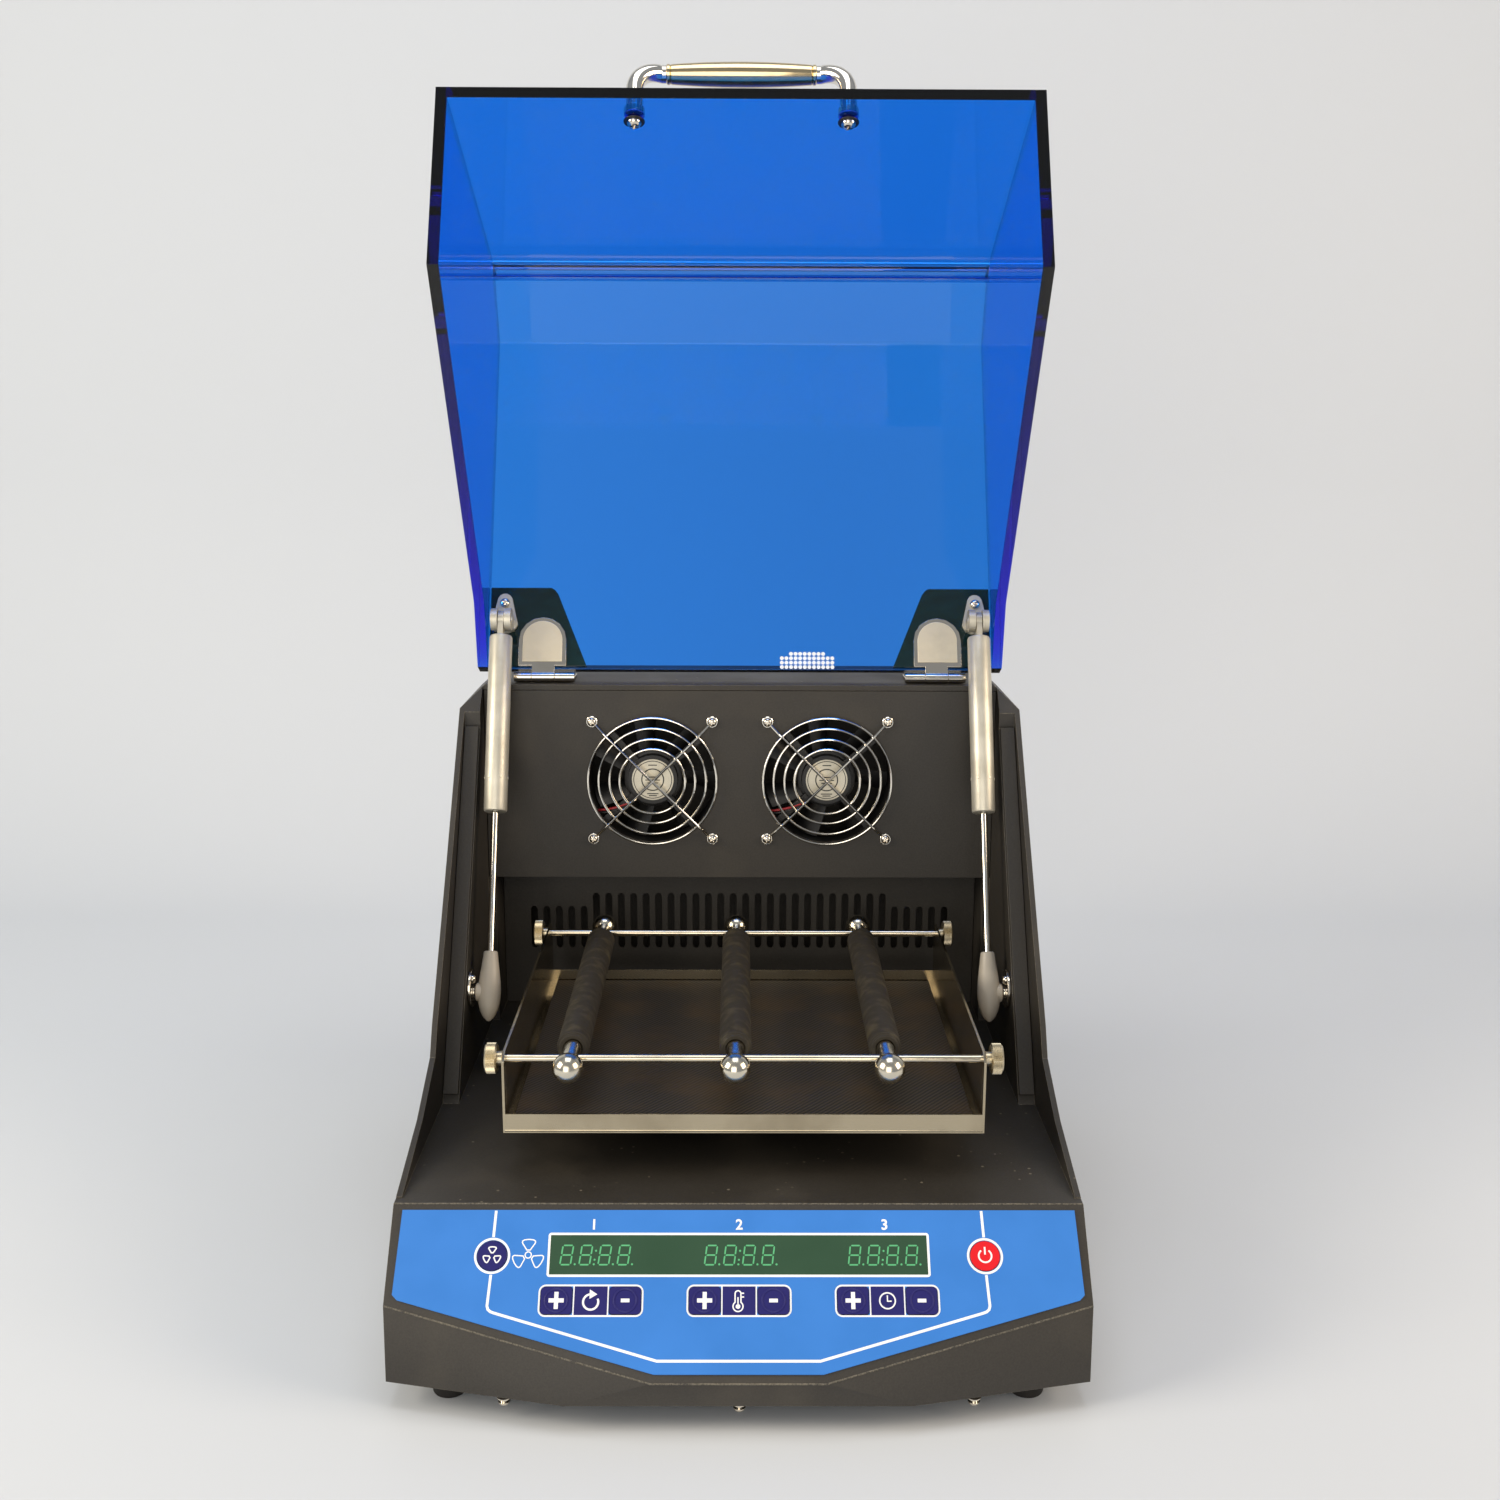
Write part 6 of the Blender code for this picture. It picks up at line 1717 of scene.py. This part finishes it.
@dataclass
class Strut:
    """Gas strut: satin tube with its flat tongue, chromed rod, grey ball socket and wall bracket."""

    side: Side
    x: float = 141.0
    upper: Pair = (8.734, 333.565)
    lower: Pair = (-83.0, 134.0)
    tube_radius: float = 6.75
    tube_start: float = 10.0
    tube_end: float = 116.0
    rod_radius: float = 1.95
    tongue_thick: float = 3.2
    tongue_radius: float = 5.0
    egg_top: float = 23.0
    boss_radius: float = 5.2
    boss_end: float = 7.4
    screw_x: float = 150.0
    screw_shift: Pair = (-1.0, 8.0)
    screw: float = 2.6
    pin_radius: float = 2.3
    pin_half: float = 6.5
    crimps: int = 6
    crimp_back: float = 20.0
    egg_end: float = 16.5
    egg: tuple[Pair, ...] = (
        (-22.4, 4.0), (-18.0, 4.5), (-12.0, 5.3), (-6.0, 6.1), (-1.0, 6.5), (3.0, 6.4),
        (7.0, 5.85), (10.5, 4.95), (13.2, 3.7), (15.2, 2.2), (16.2, 1.0),
    )

    @property
    def pivot(self) -> Vector:
        """The upper pivot."""
        return Vector((self.side.value * self.x, *self.upper))

    @property
    def way(self) -> Vector:
        """From the upper pivot to the lower one."""
        return Vector((self.side.value * self.x, *self.lower)) - self.pivot

    def build(self, screws: Screws) -> None:
        """Builds the tube, the rod with its socket, and the bracket.

        Args:
            screws: The screw setter.
        """
        word, sign = self.side.word, self.side.value
        self.build_tube()
        self.build_rod()
        dressed(f"strut_bracket_{word}", f"strut_plate_{word}", Finishes.polished, "chassis", 0.35)
        head = (sign * self.screw_x, self.lower[0] + self.screw_shift[0], self.lower[1] + self.screw_shift[1])
        screws.set(Tag(f"bracket_screw_{word}", Finishes.polished, "chassis"), [(head, (-sign, 0, 0))], self.screw)

    def build_tube(self) -> None:
        """Draws the tube with its rolled end, crimp marks, flat tongue and pin."""
        pivot, axis = self.pivot, self.way.normalized()
        r, a, b = self.tube_radius, self.tube_start, self.tube_end
        bore = self.rod_radius + 0.35
        profile = [(0, a), (r - 1.6, a), (r - 0.5, a + 0.5), (r, a + 1.6)]
        profile += [(r, b - 1.2), (r - 0.35, b - 0.35), (r - 1.1, b), (bore + 0.4, b), (bore, b - 0.6)]
        profile += [(bore, b - 8.0), (0, b - 8.0)]
        shape = Shape().lathe(profile, pivot, axis, 56)
        across = Vector((0, -axis.z, axis.y))
        side = Vector((1, 0, 0))
        for index in range(self.crimps):
            turn = 2 * math.pi * (index + 0.5) / self.crimps
            way = across * math.cos(turn) + side * math.sin(turn)
            spot = pivot + axis * (b - self.crimp_back) + way * (r - 0.25)
            shape.lathe([(0, 0), (1.15, 0), (0.95, 0.4), (0, 0.55)], spot, way, 16)
        flat = across * (self.tongue_radius * 0.9)
        end = pivot + axis * (a + 1.2)
        outline = [pivot + flat, end + flat, end - flat, pivot - flat]
        wide, thick = self.tongue_radius, self.tongue_thick
        shape.prism([(p.y, p.z) for p in outline], pivot.x - thick / 2, pivot.x + thick / 2, Axis.X)
        shape.lathe([(0, 0), (wide, 0), (wide, thick), (0, thick)], pivot - side * (thick / 2), side, 40)
        r, far = self.pin_radius, 2 * self.pin_half
        pin = [(0, 0), (r - 0.4, 0), (r, 0.4), (r, far - 0.4), (r - 0.4, far), (0, far)]
        shape.lathe(pin, pivot - side * self.pin_half, side, 28)
        body = f"strut_tube_{self.side.word}"
        shape.piece(Tag(f"strut_barrel_{self.side.word}", Finishes.satin, body, (body,)))

    def build_rod(self) -> None:
        """Draws the chromed rod and the grey egg-shaped socket with its boss."""
        pivot, axis, long = self.pivot, self.way.normalized(), self.way.length
        word, body = self.side.word, f"strut_rod_{self.side.word}"
        r = self.rod_radius
        top = self.tube_end - 10.0
        end = long - self.egg_top + 4.0
        rod = [(0, top), (r - 0.3, top), (r, top + 0.3), (r, end), (0, end)]
        Shape().lathe(rod, pivot, axis, 32).piece(Tag(f"strut_piston_{word}", Finishes.rod, body))
        egg = [(0, long - self.egg_top), (3.5, long - self.egg_top)]
        egg += [(radius, long + height) for height, radius in self.egg] + [(0, long + self.egg_end)]
        shape = Shape().lathe(egg, pivot, axis, 56)
        wide, high = self.boss_radius, self.boss_end
        boss = [(0, 0), (wide, 0), (wide, high - 0.6), (wide - 0.6, high), (0, high)]
        shape.lathe(boss, pivot + axis * long, (self.side.value, 0, 0), 40)
        shape.piece(Tag(f"strut_socket_{word}", Finishes.grey, body, (body,)))


@dataclass
class Tray:
    """Orbiting tray: folded steel, ribbed mat, rails with knurled knobs and three sleeved clamp bars."""

    x: float = 2.4
    half: float = 117.45
    front: float = -222.0
    back: float = -2.0
    floor_z: float = 110.6
    fold: float = 1.2
    rail_z: float = 145.9
    rail_radius: float = 2.0
    rail_out: float = 6.6
    knob_near: float = 2.9
    knob_thick: float = 5.9
    knob_radius: float = 7.7
    knob_ridges: int = 64
    knob_bore: float = 2.35
    ball_flat: float = 3.4
    bar_shares: tuple[float, ...] = (-0.723, -0.0366, 0.597)
    neck: float = 4.4
    ball: float = 7.5
    ball_out: float = 13.0
    sleeve: float = 8.1
    sleeve_back: float = 13.0

    @property
    def rails(self) -> tuple[tuple[str, float], ...]:
        """The two rails by name and place."""
        return (("front", self.front + 8.8), ("rear", self.back - 7.5))

    def build(self, rim: KnurledRim) -> None:
        """Builds the tray and all that rides on it.

        Args:
            rim: The knurling tree.
        """
        dressed("tray", "tray_pan", Finishes.stainless, "platform", 0.3)
        fold = Vector((0, self.front + self.fold - 0.1, self.floor_z + self.fold - 0.1))
        ends = [Vector((self.x + sign * (self.half - 0.8), 0, 0)) + fold for sign in (-1, 1)]
        Shape().sweep(ends, self.fold, 16).piece(Tag("tray_front_fold", Finishes.stainless, "platform"))
        dressed("tray_mat", "tray_liner", Finishes.mat, "platform", 0.6, 3)
        r, long = self.rail_radius, 2 * (self.half + self.rail_out)
        rail = [(0, 0), (r - 0.4, 0), (r, 0.4), (r, long - 0.4), (r - 0.4, long), (0, long)]
        for end, y in self.rails:
            shape = Shape().lathe(rail, (self.x - long / 2, y, self.rail_z), (1, 0, 0), 32)
            shape.piece(Tag(f"tray_rail_{end}", Finishes.rail, "platform", (f"rail_{end}",)))
            for side in Side:
                self.build_knob(rim, end, side, y)
        for word, share in zip(("left", "middle", "right"), self.bar_shares):
            self.build_bar(word, self.x + share * self.half)
        dressed("drive_motor", "motor_can", Finishes.alloy, "chassis", 1.5, 3)
        dressed("drive_crank", "crank_disc", Finishes.alloy, "crank", 0.5)

    def build_knob(self, rim: KnurledRim, end: str, side: Side, y: float) -> None:
        """Turns one knob with its boss, dished face and knurled rim.

        Args:
            rim: The knurling tree.
            end: The rail that it sits on.
            side: Its end of the rail.
            y: The rail's place.
        """
        r, near, far = self.knob_radius, self.knob_near, self.knob_near + self.knob_thick
        bore, seat = self.knob_bore, self.rail_out + 0.3
        profile = [(bore, 0.3), (3.4, 0.3), (3.6, 0.6), (3.6, near), (r - 1.3, near), (r - 0.5, near + 0.7)]
        profile += [(r - 0.5, far - 0.7), (r - 1.2, far), (r - 2.6, far), (r - 3.2, far - 0.6)]
        profile += [(1.0, far - 0.6), (0, far - 0.6), (0, seat), (bore, seat), (bore, 0.3)]
        shape = Shape().lathe(profile, (0, 0, 0), (0, 0, 1), 48)
        ridges = rim.drawn(self.knob_ridges, r - 0.5, 0.5, self.knob_thick - 1.5, Finishes.knurl)
        shape.take(ridges, Matrix.Translation((0, 0, near + self.knob_thick / 2)))
        edge = self.x + side.value * self.half
        turn = Vector((0, 0, 1)).rotation_difference(Vector((side.value, 0, 0))).to_matrix().to_4x4()
        shape.moved(Matrix.Translation((edge, y, self.rail_z)) @ turn)
        node = f"knob_{end}_{side.word}"
        shape.piece(Tag(f"{node}_thumb", Finishes.knurl, node, (node,)))

    def build_bar(self, word: str, x: float) -> None:
        """Turns one clamp bar with ball ends, and its rubber sleeve with rounded ends.

        Args:
            word: Which of the three bars it is.
            x: Its place across.
        """
        half = (self.rails[1][1] - self.rails[0][1]) / 2
        middle = (x, (self.rails[0][1] + self.rails[1][1]) / 2, self.rail_z)
        reach, flat = half + self.ball_out, self.ball_flat
        turns = [math.pi * step / 20 for step in range(20)]
        near = [(self.ball * math.sin(t), reach + self.ball * math.cos(t)) for t in turns]
        near = [point for point in near if point[0] > flat or point[1] > reach]
        top = near + [(flat, reach - self.ball + 0.6), (self.neck - 0.2, reach - self.ball - 0.2)]
        top += [(self.neck, reach - self.ball - 0.8)]
        body = f"bar_{word}"
        bar = Tag(f"bar_core_{word}", Finishes.scuffed, body, (f"clamp_bar_{word}",))
        Shape().lathe(top + mirrored(top), middle, (0, 1, 0), 56).piece(bar)
        end, r, bore = half - self.sleeve_back, self.sleeve, self.neck + 0.3
        ends = [(bore, end - 0.4), (bore + 0.5, end), (r - 1.6, end), (r - 1.3, end - 0.3)]
        ends += [(r - 1.2, end - 1.5), (r - 0.9, end - 1.9), (r - 0.3, end - 2.0), (r, end - 2.5)]
        shares = [1 - 2 * step / 24 for step in range(25)]
        waves = [(r - 0.06 * (1 + math.cos(share * 19.0)) / 2, share * (end - 3.2)) for share in shares]
        tag = Tag(f"bar_foam_{word}", Finishes.rubber, body, (f"bar_sleeve_{word}",))
        Shape().lathe(ends + waves + mirrored(ends), middle, (0, 1, 0), 56, ring=True).piece(tag)


@dataclass
class Keypad:
    """Membrane keypad on the sloping fascia: blue overlay, display, eight keys and white print."""

    top_y: float = -250.0
    top_z: float = 87.0
    slope: float = math.radians(47.5)
    face: float = 1.1
    key_face: float = 1.6
    ink: float = 0.07
    display_half: float = 89.0
    display_top: float = 15.0
    display_low: float = 34.0
    round_x: float = 115.2
    round_down: float = 25.0
    round_radius: float = 6.9
    group_shares: tuple[float, ...] = (-0.767, 0.002, 0.772)
    key_off: float = 15.9
    key_down: float = 45.6
    key_wide: float = 7.2
    key_high: float = 6.2
    line: float = 1.25

    @property
    def turn(self) -> Matrix:
        """Turns (across, up the slope, out) into drawing axes.

        Returns:
            The matrix.
        """
        fall, lean = math.cos(self.slope), math.sin(self.slope)
        turn = Matrix(((1, 0, 0), (0, fall, -lean), (0, lean, fall))).to_4x4()
        return Matrix.Translation((0, self.top_y, self.top_z)) @ turn

    @property
    def groups(self) -> tuple[tuple[str, float], ...]:
        """The three key groups by name and place."""
        shares = self.group_shares
        return tuple((n, s * self.display_half) for n, s in zip(("speed", "temp", "time"), shares))

    def build(self) -> None:
        """Builds the films, the keys and all print."""
        dressed("control_overlay", "overlay_film", Finishes.overlay, "chassis", 0.12, 1)
        dressed("display_window", "display_pane", Finishes.window, "chassis", 0.12, 1)
        self.build_lines()
        self.build_digits()
        self.build_round_key("key_fan", -self.round_x, Finishes.navy)
        self.build_round_key("key_start", self.round_x, Finishes.red)
        for group, x in self.groups:
            self.build_key(f"key_{group}_up", x - self.key_off, plus=True)
            self.build_key(f"key_{group}_down", x + self.key_off, plus=False)
        self.build_marks()

    def stroke(
        self, shape: Shape, path: Sequence[Pair], wide: float, base: float, closed: bool = False
    ) -> None:
        """Prints a line.

        Args:
            shape: The drawing that gets it.
            path: Its points as (across, down the slope).
            wide: Its width.
            base: The height of the face under it.
            closed: Whether it meets its own start.
        """
        flipped = [(x, -down) for x, down in path]
        ribbon(shape, flipped, wide, base + 0.01, base + self.ink, closed, self.turn)

    def patch(self, shape: Shape, path: Sequence[Pair], base: float) -> None:
        """Prints a filled shape whose points are (across, down the slope) on a face of that height."""
        shape.prism([(x, -down) for x, down in path], base + 0.01, base + self.ink, Axis.Z, self.turn)

    def build_lines(self) -> None:
        """Prints the long frame line, the display's frame, the key frames and the dividers."""
        shape = Shape()
        clear = self.round_radius + 1.9
        for side in (-1, 1):
            x = side * self.round_x
            self.stroke(shape, [(side * 114.8, 3.7), (x, self.round_down - clear)], self.line, self.face)
            ring = arc((x, self.round_down), self.round_radius + 1.0, 0, 360, 48)[:-1]
            self.stroke(shape, ring, 1.1, self.face, closed=True)
        low = [(-self.round_x, self.round_down + clear), (-115.9, 48.0)]
        low += [(-115.4, 49.6), (-114.2, 50.6), (-112.6, 51.2), (-37.2, 72.6)]
        self.stroke(shape, low + [(-x, down) for x, down in reversed(low)], self.line, self.face)
        half, top, bottom = self.display_half - 0.2, self.display_top - 0.3, self.display_low + 0.2
        frame_line = rounded(-half, top, half, bottom, 0.8)
        self.stroke(shape, frame_line, 1.1, self.face, closed=True)
        for _, x in self.groups:
            wide, high = self.key_off + self.key_wide + 0.75, self.key_high + 0.75
            loop = rounded(x - wide, self.key_down - high, x + wide, self.key_down + high, 3.0)
            self.stroke(shape, loop, 0.8, self.face, closed=True)
            for side in (-1, 1):
                across = x + side * (self.key_off - self.key_wide - 0.75)
                ends = [(across, self.key_down - high + 0.4), (across, self.key_down + high - 0.4)]
                self.stroke(shape, ends, 0.6, self.face)
        shape.piece(Tag("white_frame_print", Finishes.ink, "chassis"))
        plates = Shape()
        for _, x in self.groups:
            wide = self.key_off - self.key_wide - 1.05
            box = rounded(x - wide, self.key_down - 6.5, x + wide, self.key_down + 6.5, 0.2, 1)
            self.patch(plates, box, self.face)
        plates.piece(Tag("navy_plate_print", Finishes.navy, "chassis"))

    def build_digits(self) -> None:
        """Prints the lit segments of the three four-figure displays, all eights."""
        shape = Shape()
        lean = math.tan(math.radians(7))
        for middle in (-67.2, 0.2, 67.4):
            for index in range(4):
                x = middle - 13.2 + index * 8.9
                self.figure(shape, x, lean)
                self.patch(shape, arc((x + 3.9, 28.9), 0.5, 0, 360, 10)[:-1], self.face)
            for down in (22.6, 26.8):
                spot = (middle + 0.15 + (24.6 - down) * lean, down)
                self.patch(shape, arc(spot, 0.5, 0, 360, 10)[:-1], self.face)
        shape.piece(Tag("lit_segments", Finishes.lit, "chassis"))

    def figure(self, shape: Shape, x: float, lean: float) -> None:
        """Prints one seven-segment figure as thin slanted bars.

        Args:
            shape: The drawing that gets it.
            x: The figure's middle.
            lean: How far the top leans for each millimetre of height.
        """
        middle, tall, wide, thick, gap = 24.6, 4.5, 2.45, 0.36, 0.28

        def bar(ax: float, ay: float, bx: float, by: float) -> None:
            """Prints one segment with pointed ends.

            Args:
                ax: Its start across.
                ay: Its start down the slope.
                bx: Its end across.
                by: Its end down the slope.
            """
            start, end = Vector((ax, ay)), Vector((bx, by))
            along = (end - start).normalized()
            side = Vector((-along.y, along.x)) * thick
            start, end = start + along * gap, end - along * gap
            points = [start, start + along * thick + side, end - along * thick + side, end]
            points += [end - along * thick - side, start + along * thick - side]
            self.patch(shape, [(x + p.x + (-p.y) * lean, middle + p.y) for p in points], self.face)

        for height in (-tall, 0, tall):
            bar(-wide, height, wide, height)
        for across in (-wide, wide):
            bar(across, -tall, across, 0)
            bar(across, 0, across, tall)

    def build_round_key(self, node: str, x: float, finish: Finish) -> None:
        """Forms a round key and its white mark: a power sign for starting, or else the fan sign.

        Args:
            node: The key's node.
            x: Its place across.
            finish: Its film.
        """
        r, face = self.round_radius, self.key_face
        dome = [(0, 0.8), (r, 0.8), (r, face - 0.15), (r - 0.2, face), (0, face)]
        shape = Shape().lathe(dome, self.turn @ Vector((x, -self.round_down, 0)), self.normal, 56)
        shape.piece(Tag(f"{node}_cap", finish, node, (node,)))
        mark = Shape()
        centre = (x, self.round_down)
        if node == "key_start":
            self.stroke(mark, arc(centre, 3.0, -55, 235, 32), 0.8, face)
            self.stroke(mark, [(x, self.round_down - 4.2), (x, self.round_down - 0.6)], 0.8, face)
        else:
            for turn in (90, 210, 330):
                self.stroke(mark, self.lobe(centre, turn, 0.56), 0.6, face, closed=True)
        mark.piece(Tag(f"{node}_mark", Finishes.ink, node))

    @property
    def normal(self) -> Vector:
        """The way out of the fascia."""
        return self.turn.to_3x3() @ Vector((0, 0, 1))

    def lobe(self, centre: Pair, turn: float, scale: float) -> list[Pair]:
        """One petal outline of the fan sign.

        Args:
            centre: The sign's middle.
            turn: The petal's heading in degrees.
            scale: Its size as a share of the large sign.

        Returns:
            A closed path.
        """
        half = [(2.3, 0.8), (5.2, 2.75), (5.9, 3.1), (6.6, 2.95), (7.1, 2.0), (7.3, 0.0)]
        shape = [(a, -b) for a, b in half] + [(a, b) for a, b in reversed(half[:-1])]
        c, s = math.cos(math.radians(turn)), math.sin(math.radians(turn))
        return [(centre[0] + scale * (a * c - b * s), centre[1] - scale * (a * s + b * c)) for a, b in shape]

    def build_key(self, node: str, x: float, plus: bool) -> None:
        """Forms a square key with its round embossed rim and its plus or minus.

        Args:
            node: The key's node.
            x: Its place across.
            plus: Whether it bears a plus.
        """
        wide, high, face = self.key_wide, self.key_high, self.key_face
        corners = rounded(x - wide, self.key_down - high, x + wide, self.key_down + high, 1.6)
        shape = Shape()
        shape.prism([(a, -b) for a, b in corners], 0.8, face, Axis.Z, self.turn)
        rim = [(4.5, -0.3), (4.85, 0.26), (5.25, 0.38), (5.65, 0.26), (6.0, -0.3)]
        at = self.turn @ Vector((x, -self.key_down, face))
        shape.lathe(rim, at, self.normal, 48, ring=True)
        shape.piece(Tag(f"{node}_cap", Finishes.navy, node, (node,)))
        mark = Shape()
        sign = [(-2.0, -0.85), (2.0, -0.85)]
        if plus:
            a, b, tall = 3.5, 0.95, 3.9
            sign = [(-a, -b), (-b, -b), (-b, -tall), (b, -tall), (b, -b), (a, -b)]
        sign += [(-p, -q) for p, q in sign]
        self.patch(mark, [(x + p, self.key_down + q) for p, q in sign], face)
        mark.piece(Tag(f"{node}_mark", Finishes.ink, node))

    def build_marks(self) -> None:
        """Prints the plain signs: turning arrow, thermometer, clock, fan and the group numbers."""
        shape = Shape()
        top = self.face + self.ink
        (_, speed), (_, temp), (_, time) = self.groups
        down = self.key_down
        self.stroke(shape, arc((speed, down + 0.6), 3.5, -25, 262, 36), 0.95, top)
        head = [(speed - 0.6, down - 5.1), (speed + 2.9, down - 2.9), (speed - 0.6, down - 0.8)]
        self.patch(shape, head, top)
        bulb = (temp - 0.5, down + 2.6)
        tube = arc(bulb, 2.3, -54, 234, 28) + arc((temp - 0.5, down - 3.2), 1.35, 180, 360, 8)
        self.stroke(shape, tube, 0.6, top, True)
        self.patch(shape, arc(bulb, 1.1, 0, 360, 18)[:-1], top)
        self.stroke(shape, [(temp - 0.5, down + 2.0), (temp - 0.5, down - 1.6)], 0.6, top)
        for tick in (-3.4, -1.7):
            self.stroke(shape, [(temp + 0.9, down + tick), (temp + 2.3, down + tick)], 0.6, top)
        self.stroke(shape, arc((time, down), 3.6, 0, 360, 40)[:-1], 0.65, top, True)
        self.stroke(shape, [(time, down - 2.5), (time, down + 0.2), (time + 1.9, down + 0.2)], 0.55, top)
        fan = (-98.4, 24.6)
        for turn in (90, 210, 330):
            self.stroke(shape, self.lobe(fan, turn, 1.0), 0.55, self.face, closed=True)
        self.stroke(shape, arc(fan, 1.45, 0, 360, 24)[:-1], 0.55, self.face, closed=True)
        for text, (_, x) in zip("123", self.groups):
            shape.take(self.numeral(text, 6.8), self.turn @ Matrix.Translation((x, -12.5, self.face + 0.01)))
        shape.piece(Tag("white_sign_print", Finishes.ink, "chassis"))

    def numeral(self, text: str, size: float) -> bmesh.types.BMesh:
        """A plain number as thin print, centred across, standing on its line.

        Args:
            text: The number.
            size: Its letter size.

        Returns:
            The print as a mesh.
        """
        curve = bpy.data.curves.new("numeral", "FONT")
        curve.body = text
        curve.size = size
        curve.align_x = "CENTER"
        curve.extrude = self.ink / 2
        curve.resolution_u = 4
        curve.offset = 0.16
        holder = placed("numeral", curve)
        part = opened(evaluated(holder))
        bpy.data.objects.remove(holder)
        bmesh.ops.remove_doubles(part, verts=part.verts, dist=0.001)
        bmesh.ops.translate(part, verts=part.verts, vec=(0, 0, self.ink / 2))
        return part


@dataclass
class RearPanel:
    """Power inlet with its three pins, and the rocker beside it."""

    inlet_x: float = -70.0
    z: float = 46.0
    pin_start: float = 60.8
    pin_end: float = 71.5
    pin_wide: float = 1.0
    pin_high: float = 2.4
    pins: tuple[Pair, ...] = ((-7.0, -1.6), (7.0, -1.6), (0.0, 2.4))

    def build(self) -> None:
        """Builds the inlet, its pins and the rocker."""
        dressed("power_inlet", "inlet_body", Finishes.black, "chassis", 0.8, 3)
        pins = Shape()
        for across, up in self.pins:
            x, z = self.inlet_x + across, self.z + up
            outline = rounded(x - self.pin_wide, z - self.pin_high, x + self.pin_wide, z + self.pin_high, 0.5)
            pins.prism(outline, self.pin_start, self.pin_end, Axis.Y)
        pins.piece(Tag("inlet_pins", Finishes.brass, "chassis"), ease=0.2)
        dressed("power_rocker", "rocker_cap", Finishes.black, "rocker", 0.5)


@dataclass(frozen=True)
class Lamp:
    """One square soft lamp: its place and what it faces in millimetres, its side, watts and colour."""

    name: str
    place: tuple[float, float, float]
    aim: tuple[float, float, float]
    wide: float
    watts: float
    colour: str

    def hang(self) -> None:
        """Hangs the lamp in the room."""
        light = bpy.data.lights.new(self.name, "AREA")
        light.shape = "SQUARE"
        light.size = self.wide * MM
        light.energy = self.watts
        light.color = linear(self.colour)[:3]
        obj = placed(self.name, light)
        obj.location = TO_FRAME @ Vector(self.place)
        obj.rotation_euler = (Vector(self.aim) - Vector(self.place)).to_track_quat("-Z", "Y").to_euler()


@dataclass
class Studio:
    """Pale floor and backdrop, soft lamps, and the camera where the photograph was taken from."""

    camera: tuple[float, float, float] = (-0.43, -996.7, 456.0)
    focal_px: float = 1703.26
    picture_px: float = 1500.0
    centre_row_px: float = 793.15
    pitch: float = math.radians(12.74)
    yaw: float = math.radians(0.38)
    roll: float = math.radians(0.22)
    sensor: float = 36.0
    backdrop_y: float = 900.0
    backdrop_high: float = 4200.0
    floor_front: float = -4000.0
    floor_half: float = 4500.0
    curve: float = 400.0
    air: str = "#eef2f8"
    air_strength: float = 0.36
    lamps: tuple[Lamp, ...] = (
        Lamp("key_lamp", (-1500, -750, 1000), (0, -120, 200), 900, 23.0, "#fff1da"),
        Lamp("fill_lamp", (1500, -650, 900), (0, -80, 200), 900, 17.0, "#ffe9cc"),
        Lamp("top_lamp", (0, -260, 1900), (0, -50, 150), 1000, 8.0, "#ffffff"),
        Lamp("front_lamp", (-350, -2100, 620), (0, 0, 200), 1300, 13.0, "#fff6e8"),
    )

    def build(self) -> None:
        """Builds the stage, the lit room and the camera."""
        self.build_stage()
        world = bpy.data.worlds.new("studio_air")
        bpy.context.scene.world = world
        world.use_nodes = True
        air = world.node_tree.nodes["Background"]
        air.inputs["Color"].default_value = linear(self.air)
        air.inputs["Strength"].default_value = self.air_strength
        for lamp in self.lamps:
            lamp.hang()
        self.build_camera()
        bpy.context.scene.view_settings.view_transform = "Standard"

    def build_stage(self) -> None:
        """Lays one pale sheet that curves up from the floor into the backdrop."""
        bend = (self.backdrop_y - self.curve, self.curve)
        profile = [(self.floor_front, 0.0), *arc(bend, self.curve, -90, 0, 24), (self.backdrop_y, self.backdrop_high)]
        sides = (-self.floor_half, self.floor_half)
        bm = bmesh.new()
        rows = [[bm.verts.new(TO_FRAME @ Vector((x, y, z))) for x in sides] for y, z in profile]
        for first, second in zip(rows, rows[1:]):
            bm.faces.new((first[0], first[1], second[1], second[0]))
        mesh = bpy.data.meshes.new("pale_sweep")
        bm.to_mesh(mesh)
        bm.free()
        mesh.polygons.foreach_set("use_smooth", [True] * len(mesh.polygons))
        mesh.materials.append(Finishes.sweep.material())
        placed("pale_sweep", mesh)

    def build_camera(self) -> None:
        """Stands the camera at the solved place with the solved lens and level."""
        data = bpy.data.cameras.new("photo_camera")
        data.sensor_width = self.sensor
        data.lens = self.focal_px / self.picture_px * self.sensor
        data.shift_y = (self.centre_row_px - self.picture_px / 2) / self.picture_px
        camera = placed("photo_camera", data)
        turn = (
            Matrix.Rotation(-self.yaw, 4, "Z")
            @ Matrix.Rotation(math.pi / 2 - self.pitch, 4, "X")
            @ Matrix.Rotation(self.roll, 4, "Z")
        )
        camera.matrix_world = Matrix.Translation(TO_FRAME @ Vector(self.camera)) @ turn
        bpy.context.scene.camera = camera


def main() -> None:
    """Builds every sub-assembly in order and reports each piece."""
    logging.basicConfig(level=logging.INFO, format="%(message)s")
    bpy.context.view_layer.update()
    Studio().build()
    screws = Screws()
    Housing().build(screws)
    for side in Side:
        Fan(side).build(screws)
    Lid().build(screws, DotField())
    for side in Side:
        Strut(side).build(screws)
    Tray().build(KnurledRim())
    Keypad().build()
    RearPanel().build()
    screws.clear()


if __name__ == "__main__":
    main()
